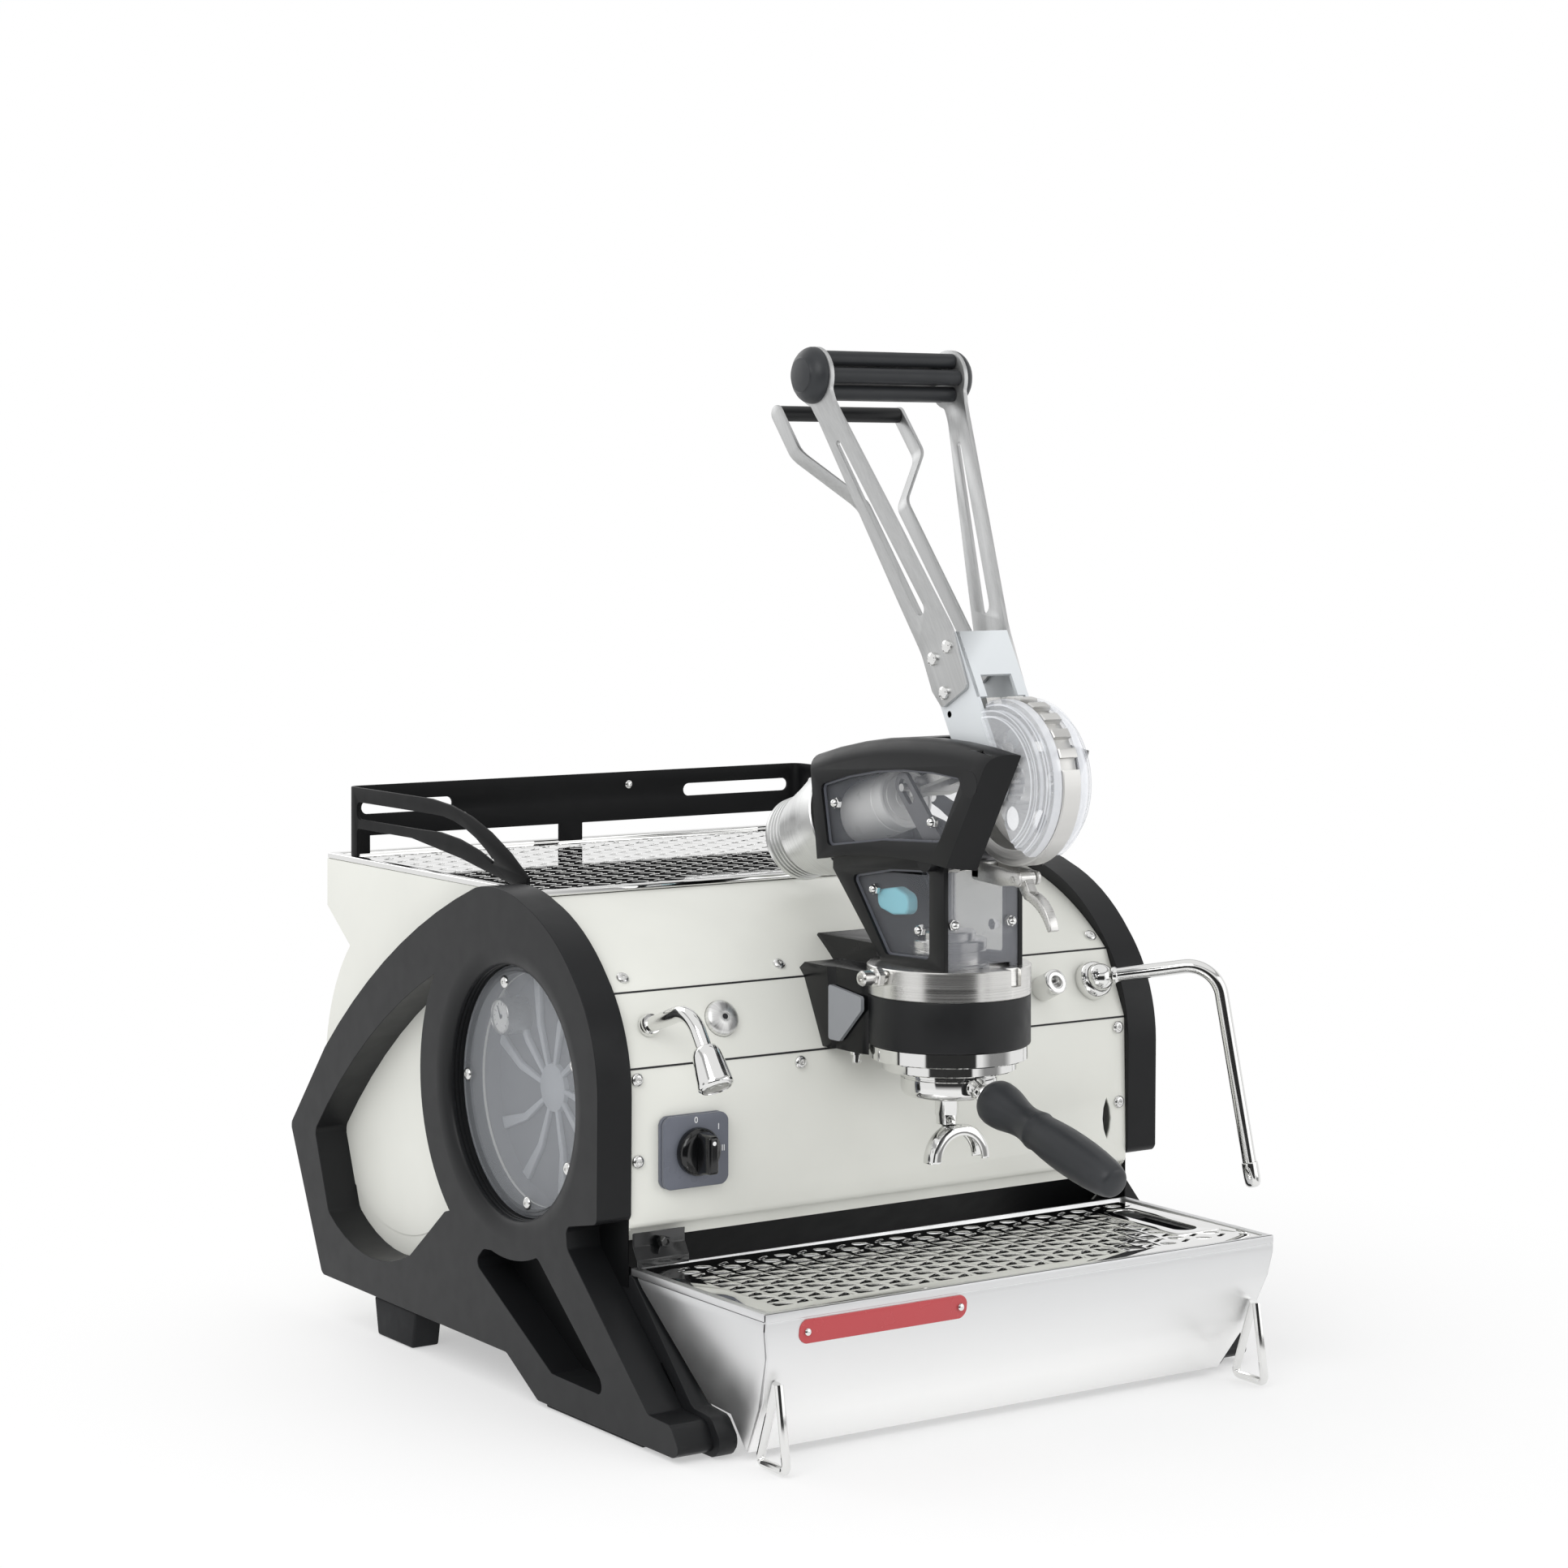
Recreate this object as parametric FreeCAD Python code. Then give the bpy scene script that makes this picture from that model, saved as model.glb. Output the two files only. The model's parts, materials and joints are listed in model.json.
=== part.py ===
"""One-group lever espresso machine, built as separate pieces.

Working frame while modelling, in millimetres: X across the machine with 0 on its middle plane,
Y back from the face of the lower front panel, Z up from the worktop. At the end every piece is
moved together so that the origin is the middle of the machine's footprint.
"""
import FreeCAD, Part
import math
import os

from FreeCAD import Matrix, Placement, Rotation, Vector

# Side frames: two thick plates that stand outside the body and carry it.
FRAME_INNER_X = 231.0
FRAME_THICK = 29.0
FRAME_OUTER_X = FRAME_INNER_X + FRAME_THICK
FRAME_EDGE_CHAMFER = 2.5
LEG_BOTTOM_Z = 3.0
FRAME_REAR_BOTTOM_Z = 29.0
FRAME_TIP = (494.0, 146.0)
FRAME_HEEL = (436.0, 31.0)
PORTHOLE_Y = 130.0
PORTHOLE_Z = 223.0
PORTHOLE_R = 95.0
PORTHOLE_LIP_R = 88.0
PORTHOLE_RING_R = 136.0
PORTHOLE_FLARE = (14.0, 5.0)
PORTHOLE_SCREW_R = 83.0
WINDOW_DEPTH = 14.0
WINDOW_THICK = 4.0
WINDOW_CLEARANCE = 0.3
FOOT_PAD_WIDTH = 24.0

# Body shell between the frames.
BODY_HALF = FRAME_INNER_X
SHEET = 2.0
PANEL_BOTTOM_Z = 139.0
SEAM_LOW = (2.0, 255.0)
SEAM_HIGH = (25.0, 307.0)
SEAM_GAP = 0.6
TOP_BOW = (75.0, 343.0)
TOP_SCREW_RISE = 9.0
TRAY_FRONT_Y = 137.0
BODY_TOP_Z = 366.0
BODY_REAR_Y = 484.0
DRUM_Y = 335.0
DRUM_Z = 190.0
DRUM_R = 152.0
BASE_Z = DRUM_Z - DRUM_R
CABLE_BORE_R = 5.0

# Cup tray and its rail.
TRAY_RIM_RISE = 3.0
TRAY_RIM_WIDTH = 8.0
TRAY_SLOT_ROWS = 8
TRAY_SLOT_COLUMNS = 10
TRAY_SLOT_LONG = 24.0
TRAY_SLOT_WIDE = 5.0
TRAY_SLOT_PITCH = 36.0
RAIL_TOP_Z = 428.0
RAIL_BACK_Y = 455.0
RAIL_THICK = 3.0
RAIL_INSET = 5.0
RAIL_SIDE_X = BODY_HALF - RAIL_INSET

# Boilers, hidden in the body.
BOILER_WALL = 3.0
STEAM_BOILER_R = 85.0
STEAM_BOILER_HALF = 165.0
STEAM_BOILER_Y = 330.0
STEAM_BOILER_Z = 185.0
COFFEE_BOILER_R = 45.0
COFFEE_BOILER_Y = (40.0, 165.0)
COFFEE_BOILER_Z = 235.0

# Drip tray, grate and the legs under it.
DRIP_SIDE_CLEARANCE = 1.0
DRIP_HALF = FRAME_INNER_X - DRIP_SIDE_CLEARANCE
DRIP_FRONT_Y = -175.0
DRIP_BACK_Y = 0.0
DRIP_TOP_Z = 112.0
DRIP_BOTTOM_Z = 6.0
DRIP_END_LEAN = 17.0
DRIP_BOTTOM_HALF = DRIP_HALF - DRIP_END_LEAN
DRIP_RIM = 5.0
GRATE_THICK = 2.0
GRATE_ROWS = 6
GRATE_COLUMNS = 15
GRATE_SLOT_LONG = 22.0
GRATE_SLOT_WIDE = 5.5
LEG_THICK = 15.0
LEG_INNER_X = FRAME_INNER_X - LEG_THICK
TRAY_FOOT_ROD_R = 3.0

# Portafilter, held by two ears in the flange.
FILTER_BODY_R = 36.0
FILTER_WALL = 5.5
FILTER_BORE_R = FILTER_BODY_R - FILTER_WALL
FILTER_BODY_Z = (226.0, 256.0)
EAR_REACH = 5.0
EAR_R = FILTER_BODY_R + EAR_REACH
EAR_Z = (249.0, 253.5)
EAR_HALF_WIDTH = 11.0
UNLOCK_TURN = 50.0
GRIP_START = (-127.0, 230.0)
GRIP_END = (-270.0, 191.0)
SPOUT_HALF_SPREAD = 21.0

# Group: everything on the vertical brewing axis.
GROUP_Y = -75.0
COLLAR_R = 61.0
COLLAR_Z = (302.0, 324.0)
FITTING_Z_ON_COLLAR = 318.0
TOWER_R = 28.0
TOWER_RISE = 18.0
JACKET_R = 60.5
JACKET_WALL = 4.0
JACKET_Z = (265.0, 302.0)
FLANGE_R = 58.5
FLANGE_Z = (254.0, 265.0)
FLANGE_LIP_R = 50.0
FLANGE_LIP_Z = 246.0
PISTON_STEP = 1.5
PISTON_R = FILTER_BORE_R - PISTON_STEP
PISTON_CLEARANCE = 0.2
CYLINDER_BORE_R = PISTON_R + PISTON_CLEARANCE
PISTON_Z = (266.5, 282.0)
ROD_R = 5.0
GASKET_GAP = 1.3
SUPPORT_HALF = 62.0
SUPPORT_FOOT_HALF = 60.0
SUPPORT_LIP = 4.0
ROOF_HALF = 28.0
ROOF_Z = 334.0
SUPPORT_Z = (257.0, 318.0)
SUPPORT_FRONT_Y = -72.0

# Hood over the mechanism.
HOOD_HALF = 46.0
HOOD_WALL = 4.0
NECK_HALF = 36.0
NECK_FRONT_Y = -117.0
HOOD_EDGE_R = 11.0
HOOD_SLOT_HALF = 29.5
HOOD_SLOT_REAR_Y = -93.0
PANE_THICK = 2.5

# Lever pivot and the lever's own frame: U runs up the lever, V runs back from it.
PIVOT_Y = -160.0
PIVOT_Z = 464.0
LEVER_LEAN = 29.0
SHAFT_R = 8.0
SHAFT_CLEARANCE = 0.1
HANDLE_U = 341.0
HANDLE_V = 5.0
HANDLE_PLATE_X = 60.5
HANDLE_DISC_R = 21.5
HANDLE_TUBE_R = 6.0
HANDLE_TUBE_CIRCLE_R = 14.6
HANDLE_TUBE_COUNT = 6
ARM_THICK = 3.5
ARM_FOOT_X = 23.5
ARM_FOOT_U = 72.0
ARM_BEND_U = 118.0
ARM_TOP_BEND_U = 318.0
CHANNEL_WALL = 3.0
CHANNEL_FRONT_V = -12.0
CHANNEL_BACK_V = 31.0
CHANNEL_TOP_U = 115.5
CHANNEL_WEB_U = 62.5

# Toothed ring, covers, pinions and rack.
RING_R = 61.0
RING_HALF = 8.0
RING_NOTCHES = 4
COVER_R = 59.5
COVER_OUTER_X = 26.6
COVER_WALL = 2.0
GEAR_MODULE = 2.0
PINION_TEETH = 16
PINION_X = (9.0, 18.5)
RACK_BACKLASH = 0.35

# Spring unit behind the hood, tilted down to the back.
BARREL_TILT = 17.0
ROD_ABOVE_PIVOT = 20.0
SLEEVE_A = (139.0, 205.0)
SLEEVE_R = 24.0
SEAT_A = 268.0
SEAT_ROOM = 20.0
BARREL_A = (204.0, SEAT_A + SEAT_ROOM)
BARREL_FRONT_R = 45.0
BARREL_REAR_R = 31.0
BARREL_RIB_COUNT = 4
BARREL_RIB_PITCH = 4.5
CROSSHEAD_A = 101.0
SPRING_WIRE = 5.2
SPRING_R = 16.5
SPRING_TURNS = 9

# Rocker between the rack's crosshead and the piston rod.
ROCKER_Y = -105.0
ROCKER_Z = 405.0
ROCKER_PLATE_X = (25.0, 28.5)
ROCKER_PIN_R = 3.0
PISTON_PIN_Z = 397.8

# Release fork behind the lever, and the pawl that it lifts.
FORK_PIN = (104.0, 23.0)
FORK_TUBE = (345.0, 69.0)
FORK_HALF = 56.0
FORK_FOOT_HALF = 17.2
PAWL_PIN = (66.0, 24.0)
TOOTH_V = 1.7

# Steam and water fittings on the sloping middle panel.
FITTING_Z = 283.0
STEAM_X = 207.0
STEAM_KNOB_X = 156.0
WATER_X = -207.0
BUTTON_X = -143.5
BALL_R = 11.0
BALL_RISE = 12.0
WAND_R = 4.8
WAND_HEADING = 45.0
BUTTON_R = 13.5
BUTTON_CLEARANCE = 0.3

# Power switch.
SWITCH_X = -179.0
SWITCH_Z = 192.5
SWITCH_SIZE = (60.0, 55.0)
SWITCH_DEPTH = 8.0
KNOB_R = 17.5

SCREW_SEAT_GAP = 0.02
SCREW_HEAD_R = 4.6
SCREW_HEAD_H = 2.6
NUT_R = 4.4
NUT_H = 3.2
NUT_CAP_H = 3.8


def box(x0, x1, y0, y1, z0, z1):
    """Block between two corners."""
    return Part.makeBox(x1 - x0, y1 - y0, z1 - z0, Vector(x0, y0, z0))


def rod(start, end, radius):
    """Round bar from one point to another."""
    start = Vector(*start)
    along = Vector(*end) - start
    return Part.makeCylinder(radius, along.Length, start, along)


def ring(start, end, outer, inner):
    """Tube from one point to another."""
    return rod(start, end, outer).cut(rod(start, end, inner))


def face(path, place):
    """Flat face from a path of points; a pair of points in the path is an arc's middle and end."""
    edges = []
    last = place(*path[0])
    first = last
    for step in list(path[1:]) + [path[0]]:
        if isinstance(step[0], tuple):
            middle, end = place(*step[0]), place(*step[1])
            edges.append(Part.Arc(last, middle, end).toShape())
        else:
            end = place(*step)
            if end.distanceToPoint(last) < 1e-6:
                continue
            edges.append(Part.LineSegment(last, end).toShape())
        last = end
    if last.distanceToPoint(first) > 1e-6:
        edges.append(Part.LineSegment(last, first).toShape())
    return Part.Face(Part.Wire(edges))


def slab_x(path, x0, x1):
    """Outline in Y and Z, pushed along X."""
    return face(path, lambda y, z: Vector(x0, y, z)).extrude(Vector(x1 - x0, 0, 0))


def slab_y(path, y0, y1):
    """Outline in X and Z, pushed along Y."""
    return face(path, lambda x, z: Vector(x, y0, z)).extrude(Vector(0, y1 - y0, 0))


def slab_z(path, z0, z1):
    """Outline in X and Y, pushed along Z."""
    return face(path, lambda x, y: Vector(x, y, z0)).extrude(Vector(0, 0, z1 - z0))


def turned(path, centre, axis):
    """Solid of revolution: path gives radius and height along the axis from the centre."""
    profile = face(path, lambda r, h: Vector(r, 0, h))
    solid = profile.revolve(Vector(0, 0, 0), Vector(0, 0, 1), 360)
    if solid.Volume < 0:
        solid.reverse()
    solid.Placement = Placement(Vector(*centre), Rotation(Vector(0, 0, 1), Vector(*axis)))
    return solid


def mirrored(shape):
    """The same piece on the other side of the middle plane."""
    return shape.mirror(Vector(0, 0, 0), Vector(1, 0, 0))


def pair(shape):
    """A piece and its mirror image as two separate solids."""
    return Part.makeCompound([shape, mirrored(shape)])


def fused(first, *others):
    """One solid from several that touch."""
    return first.fuse(list(others)).removeSplitter()


def bent_tube(points, radius, bend):
    """Round tube along straight runs joined by arcs that touch both runs."""
    nodes = [Vector(*p) for p in points]
    edges = []
    last = nodes[0]
    for before, corner, after in zip(nodes, nodes[1:], nodes[2:]):
        back = (before - corner).normalize()
        ahead = (after - corner).normalize()
        half_turn = (math.pi - back.getAngle(ahead)) / 2
        reach = bend * math.tan(half_turn)
        start = corner + back * reach
        end = corner + ahead * reach
        centre_way = (back + ahead).normalize()
        centre = corner + centre_way * (bend / math.cos(half_turn))
        middle = centre - centre_way * bend
        edges.append(Part.LineSegment(last, start).toShape())
        edges.append(Part.Arc(start, middle, end).toShape())
        last = end
    edges.append(Part.LineSegment(last, nodes[-1]).toShape())
    spine = Part.Wire(edges)
    way = nodes[1] - nodes[0]
    section = Part.Wire([Part.Circle(nodes[0], way, radius).toShape()])
    return spine.makePipeShell([section], True, False)


def lever_place(u, v, x=0.0):
    """Point in the machine's frame from the lever's own frame."""
    lean = math.radians(LEVER_LEAN)
    y = PIVOT_Y + u * math.sin(lean) + v * math.cos(lean)
    z = PIVOT_Z + u * math.cos(lean) - v * math.sin(lean)
    return Vector(x, y, z)


def lever_slab(path, x0, x1):
    """Outline in the lever's U and V, pushed along X."""
    return face(path, lambda u, v: lever_place(u, v, x0)).extrude(Vector(x1 - x0, 0, 0))


def lever_rod(u, v, x0, x1, radius):
    """Bar along X at a place on the lever."""
    return rod(lever_place(u, v, x0), lever_place(u, v, x1), radius)


def spring_place(a, n, x=0.0):
    """Point from the spring unit's frame: A runs back along its axis from above the pivot."""
    tilt = math.radians(BARREL_TILT)
    y = PIVOT_Y + a * math.cos(tilt) + n * math.sin(tilt)
    z = PIVOT_Z - a * math.sin(tilt) + n * math.cos(tilt)
    return Vector(x, y, z)


def spring_axis():
    tilt = math.radians(BARREL_TILT)
    return Vector(0, math.cos(tilt), -math.sin(tilt))


def panel_normal():
    """Outward direction of the sloping middle panel."""
    rise = SEAM_HIGH[1] - SEAM_LOW[1]
    run = SEAM_HIGH[0] - SEAM_LOW[0]
    return Vector(0, -rise, run).normalize()


def panel_point(x, z, out=0.0):
    """Point on the middle panel's outer face, or off it by a distance."""
    share = (z - SEAM_LOW[1]) / (SEAM_HIGH[1] - SEAM_LOW[1])
    y = SEAM_LOW[0] + share * (SEAM_HIGH[0] - SEAM_LOW[0])
    return Vector(x, y, z) + panel_normal() * out


def porthole_cut(radius, x0, x1):
    return rod((x0, PORTHOLE_Y, PORTHOLE_Z), (x1, PORTHOLE_Y, PORTHOLE_Z), radius)


def side_frame():
    """Cast side frame with a porthole, a rear opening and a leg opening."""
    outline = [
        FRAME_TIP,
        FRAME_HEEL,
        (130.0, FRAME_REAR_BOTTOM_Z),
        (83.0, LEG_BOTTOM_Z),
        (-104.0, LEG_BOTTOM_Z),
        (-113.0, 8.0),
        (-101.0, 25.0),
        (-72.0, 26.0),
        (40.0, 122.0),
        (42.0, 138.0),
        (5.0, 148.0),
        (-3.0, 250.0),
        ((21.0, 332.0), (92.0, 375.0)),
        ((135.0, 380.0), (178.0, 372.0)),
        ((331.0, 297.0), (431.0, 218.0)),
    ]
    body = slab_x(outline, -FRAME_OUTER_X, -FRAME_INNER_X)
    outer_edges = [e for e in body.Edges if e.BoundBox.XMax < -FRAME_OUTER_X + 0.01]
    body = body.makeChamfer(FRAME_EDGE_CHAMFER, outer_edges)
    rear_opening = slab_x(
        [
            (205.0, 315.0),
            (238.0, 301.0),
            ((352.0, 236.0), (449.0, 147.0)),
            (424.0, 84.0),
            ((345.0, 60.0), (283.0, 74.0)),
            (226.0, 118.0),
            (180.0, 130.0),
        ],
        -FRAME_OUTER_X - 1,
        -FRAME_INNER_X + 1,
    ).cut(porthole_cut(PORTHOLE_RING_R, -FRAME_OUTER_X - 1, -FRAME_INNER_X + 1))
    leg_opening = slab_x(
        [(84.0, 108.0), (-8.0, 36.0), (-8.0, 26.0), (62.0, 27.0), (178.0, 88.0), (165.0, 100.0)],
        -FRAME_OUTER_X - 1,
        -FRAME_INNER_X + 1,
    ).cut(porthole_cut(PORTHOLE_RING_R - 12, -FRAME_OUTER_X - 1, -FRAME_INNER_X + 1))
    lip_x = -FRAME_OUTER_X + WINDOW_DEPTH + WINDOW_THICK
    recess = porthole_cut(PORTHOLE_R, -FRAME_OUTER_X - 1, lip_x)
    bore = porthole_cut(PORTHOLE_LIP_R, -FRAME_OUTER_X, -FRAME_INNER_X + 1)
    flare_wide, flare_deep = PORTHOLE_FLARE
    flare = turned([(0, -1), (PORTHOLE_R + flare_wide, -1), (PORTHOLE_R + flare_wide, 0), (PORTHOLE_R, flare_deep),
                    (0, flare_deep)], (-FRAME_OUTER_X, PORTHOLE_Y, PORTHOLE_Z), (1, 0, 0))
    return body.cut([rear_opening, leg_opening, recess, bore, flare])


def inner_leg():
    """Second leg inside the frame, under the drip tray."""
    outline = [
        (32.0, DRIP_TOP_Z - DRIP_RIM),
        (-4.0, DRIP_TOP_Z - DRIP_RIM),
        (-84.0, 30.0),
        (-108.0, 28.0),
        (-122.0, 12.0),
        (-112.0, LEG_BOTTOM_Z - 2.5),
        (-60.0, LEG_BOTTOM_Z - 2.5),
        (32.0, 52.0),
    ]
    slot = slab_x([(-62.0, 36.0), (-40.0, 56.0), (-44.0, 40.0), (-60.0, 28.0)], -FRAME_INNER_X, 0)
    return slab_x(outline, -FRAME_INNER_X, -LEG_INNER_X).cut(slot)


def rubber_feet():
    """Flat pads under the front legs and blocks under the rear of the frames."""
    middle_x = -(FRAME_INNER_X + FRAME_THICK / 2)
    half = FOOT_PAD_WIDTH / 2
    front = box(middle_x - half, middle_x + half, -60, 74, 0, LEG_BOTTOM_Z)
    rear = slab_x([(284, 0), (342, 0), (348, FRAME_REAR_BOTTOM_Z + 1), (278, FRAME_REAR_BOTTOM_Z + 1)],
                  middle_x - half, middle_x + half)
    heel_share = (FRAME_HEEL[1] - FRAME_REAR_BOTTOM_Z) / (FRAME_HEEL[0] - 130.0)
    under = slab_x(
        [(100, -1), (420, -1), (420, FRAME_REAR_BOTTOM_Z + 290 * heel_share),
         (130, FRAME_REAR_BOTTOM_Z), (100, FRAME_REAR_BOTTOM_Z)],
        middle_x - half, middle_x + half)
    rear = rear.common(under)
    return Part.makeCompound([front, rear, mirrored(front), mirrored(rear)])


def porthole_window():
    x0 = -FRAME_OUTER_X + WINDOW_DEPTH
    disc = porthole_cut(PORTHOLE_R - WINDOW_CLEARANCE, x0, x0 + WINDOW_THICK)
    edges = [e for e in disc.Edges if e.BoundBox.XMax < x0 + 0.01]
    return disc.makeChamfer(0.8, edges)


def panel_sheet(path_out, thickness):
    """Bent sheet across the body from its outer profile points, thickness to the inside."""
    inner = []
    for index, point in enumerate(path_out):
        before = path_out[max(index - 1, 0)]
        after = path_out[min(index + 1, len(path_out) - 1)]
        along = Vector(after[0] - before[0], after[1] - before[1], 0).normalize()
        inner.append((point[0] + along.y * thickness, point[1] - along.x * thickness))
    return slab_x(list(path_out) + inner[::-1], -BODY_HALF, BODY_HALF)


def lower_front_panel():
    panel = panel_sheet([(0.0, PANEL_BOTTOM_Z), (SEAM_LOW[0], SEAM_LOW[1] - SEAM_GAP)], SHEET)
    slit_x, slit_z, slit_half, slit_wide = 212.0, 176.0, 16.5, 4.2
    slit = slab_y([(slit_x, slit_z - slit_half),
                   ((slit_x + slit_wide, slit_z), (slit_x, slit_z + slit_half)),
                   ((slit_x - slit_wide, slit_z), (slit_x, slit_z - slit_half))], -5, 8)
    return panel.cut(slit)


def middle_front_panel():
    panel = panel_sheet([SEAM_LOW, SEAM_HIGH], SHEET)
    panel = panel.common(box(-BODY_HALF, BODY_HALF, -10, 50, SEAM_LOW[1], SEAM_HIGH[1]))
    hole = rod(panel_point(BUTTON_X, FITTING_Z, -8), panel_point(BUTTON_X, FITTING_Z, 8),
               BUTTON_R + BUTTON_CLEARANCE)
    return panel.cut(hole)


def top_front_panel():
    """Curved panel from the upper seam to the cup tray."""
    low_y, low_z = SEAM_HIGH[0] + SEAM_GAP, SEAM_HIGH[1] + SEAM_GAP
    sheet = slab_x(
        [(low_y, low_z), (TOP_BOW, (TRAY_FRONT_Y, BODY_TOP_Z)),
         (TRAY_FRONT_Y, BODY_TOP_Z - SHEET), ((76.0, 341.0), (low_y + SHEET, low_z - 1.0))],
        -BODY_HALF, BODY_HALF)
    return sheet


def body_outline(inset):
    """Side view of the body shell behind the front panels."""
    corner = DRUM_R * math.sqrt(0.5)
    return [
        (inset, PANEL_BOTTOM_Z),
        (SEAM_LOW[0] + inset, SEAM_LOW[1]),
        (SEAM_HIGH[0] + inset, SEAM_HIGH[1] - 1),
        ((76.0 + inset, 340.0 - inset / 2), (TRAY_FRONT_Y, BODY_TOP_Z - inset)),
        (TRAY_FRONT_Y, BODY_TOP_Z),
        (BODY_REAR_Y, BODY_TOP_Z),
        (BODY_REAR_Y, 327.0),
        (DRUM_Y + corner, DRUM_Z + corner),
        ((DRUM_Y + DRUM_R, DRUM_Z), (DRUM_Y, BASE_Z)),
        (70.0, BASE_Z),
        (44.0, 100.0),
    ]


def side_cover():
    """White side of the body, with the hole behind the porthole."""
    cover = slab_x(body_outline(SHEET + 0.6), -BODY_HALF, -BODY_HALF + SHEET)
    return cover.cut(porthole_cut(PORTHOLE_LIP_R, -BODY_HALF - 1, -BODY_HALF + SHEET + 1))


def rear_cover():
    """Sheet that wraps round the back, with cooling slots and a cable inlet."""
    corner = DRUM_R * math.sqrt(0.5)
    inner_r = DRUM_R - SHEET
    fold = math.radians(45.9)
    half = BODY_HALF - SHEET
    sheet = slab_x(
        [
            (BODY_REAR_Y, BODY_TOP_Z),
            (BODY_REAR_Y, 327.0),
            (DRUM_Y + corner, DRUM_Z + corner),
            ((DRUM_Y + DRUM_R, DRUM_Z), (DRUM_Y, BASE_Z)),
            (DRUM_Y, BASE_Z + SHEET),
            ((DRUM_Y + inner_r, DRUM_Z), (DRUM_Y + inner_r * math.cos(fold), DRUM_Z + inner_r * math.sin(fold))),
            (BODY_REAR_Y - SHEET, 328.0),
            (BODY_REAR_Y - SHEET, BODY_TOP_Z),
        ],
        -half, half)
    slots = []
    slot_pitch, slot_count, slot_half = 18.0, 12, 3.0
    for index in range(slot_count):
        x = (index - (slot_count - 1) / 2) * slot_pitch
        slots.append(box(x - slot_half, x + slot_half, DRUM_Y + DRUM_R - 12, DRUM_Y + DRUM_R + 2,
                         DRUM_Z - 22, DRUM_Z + 22))
    sheet = sheet.cut(slots)
    gland_x, gland_z, gland_r = 150.0, 190.0, 12.0
    surface_y = DRUM_Y + DRUM_R
    gland = rod((gland_x, surface_y - 6, gland_z), (gland_x, surface_y + 6, gland_z), gland_r)
    bore = rod((gland_x, surface_y - 7, gland_z), (gland_x, surface_y + 7, gland_z), CABLE_BORE_R)
    return fused(sheet, gland).cut(bore)


def base_pan():
    """Black floor sheet with its bent-up front under the lower panel."""
    half = BODY_HALF - SHEET
    outer = [(DRUM_Y - 0.5, BASE_Z), (70.0, BASE_Z), (44.0, 100.0), (SHEET + 0.6, PANEL_BOTTOM_Z - 0.5)]
    inner = [(SHEET + 3.0, PANEL_BOTTOM_Z + 6), (SHEET + 4.6, PANEL_BOTTOM_Z + 6), (46.0, 101.2),
             (71.5, BASE_Z + SHEET), (DRUM_Y - 0.5, BASE_Z + SHEET)]
    return slab_x(outer + inner, -half, half)


def cup_tray():
    """Perforated top sheet with a raised rim."""
    top_z = BODY_TOP_Z + SHEET
    sheet = box(-BODY_HALF, BODY_HALF, TRAY_FRONT_Y, BODY_REAR_Y, BODY_TOP_Z, top_z + TRAY_RIM_RISE)
    well = box(-BODY_HALF + TRAY_RIM_WIDTH, BODY_HALF - TRAY_RIM_WIDTH,
               TRAY_FRONT_Y + TRAY_RIM_WIDTH, BODY_REAR_Y - TRAY_RIM_WIDTH, top_z, top_z + 10)
    slots = []
    for row in range(TRAY_SLOT_ROWS):
        for column in range(TRAY_SLOT_COLUMNS):
            x = (column - (TRAY_SLOT_COLUMNS - 1) / 2) * 1.17 * TRAY_SLOT_PITCH
            y = TRAY_FRONT_Y + 30 + row * TRAY_SLOT_PITCH
            slot = box(-TRAY_SLOT_LONG / 2, TRAY_SLOT_LONG / 2, -TRAY_SLOT_WIDE / 2, TRAY_SLOT_WIDE / 2, 0, 20)
            angle = 30 if (row + column) % 2 else -30
            slot.Placement = Placement(Vector(x, y, BODY_TOP_Z - 5), Rotation(Vector(0, 0, 1), angle))
            slots.append(slot)
    return sheet.cut(well).cut(slots)


def rounded_slot(x0, x1, z0, z1):
    """Long hole in the back rail, with round ends."""
    radius = (z1 - z0) / 2
    middle = z0 + radius
    return slab_y([(x0 + radius, z0), (x1 - radius, z0), ((x1, middle), (x1 - radius, z1)),
                   (x0 + radius, z1), ((x0, middle), (x0 + radius, z0))],
                  RAIL_BACK_Y - 1, RAIL_BACK_Y + RAIL_THICK + 1)


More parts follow.
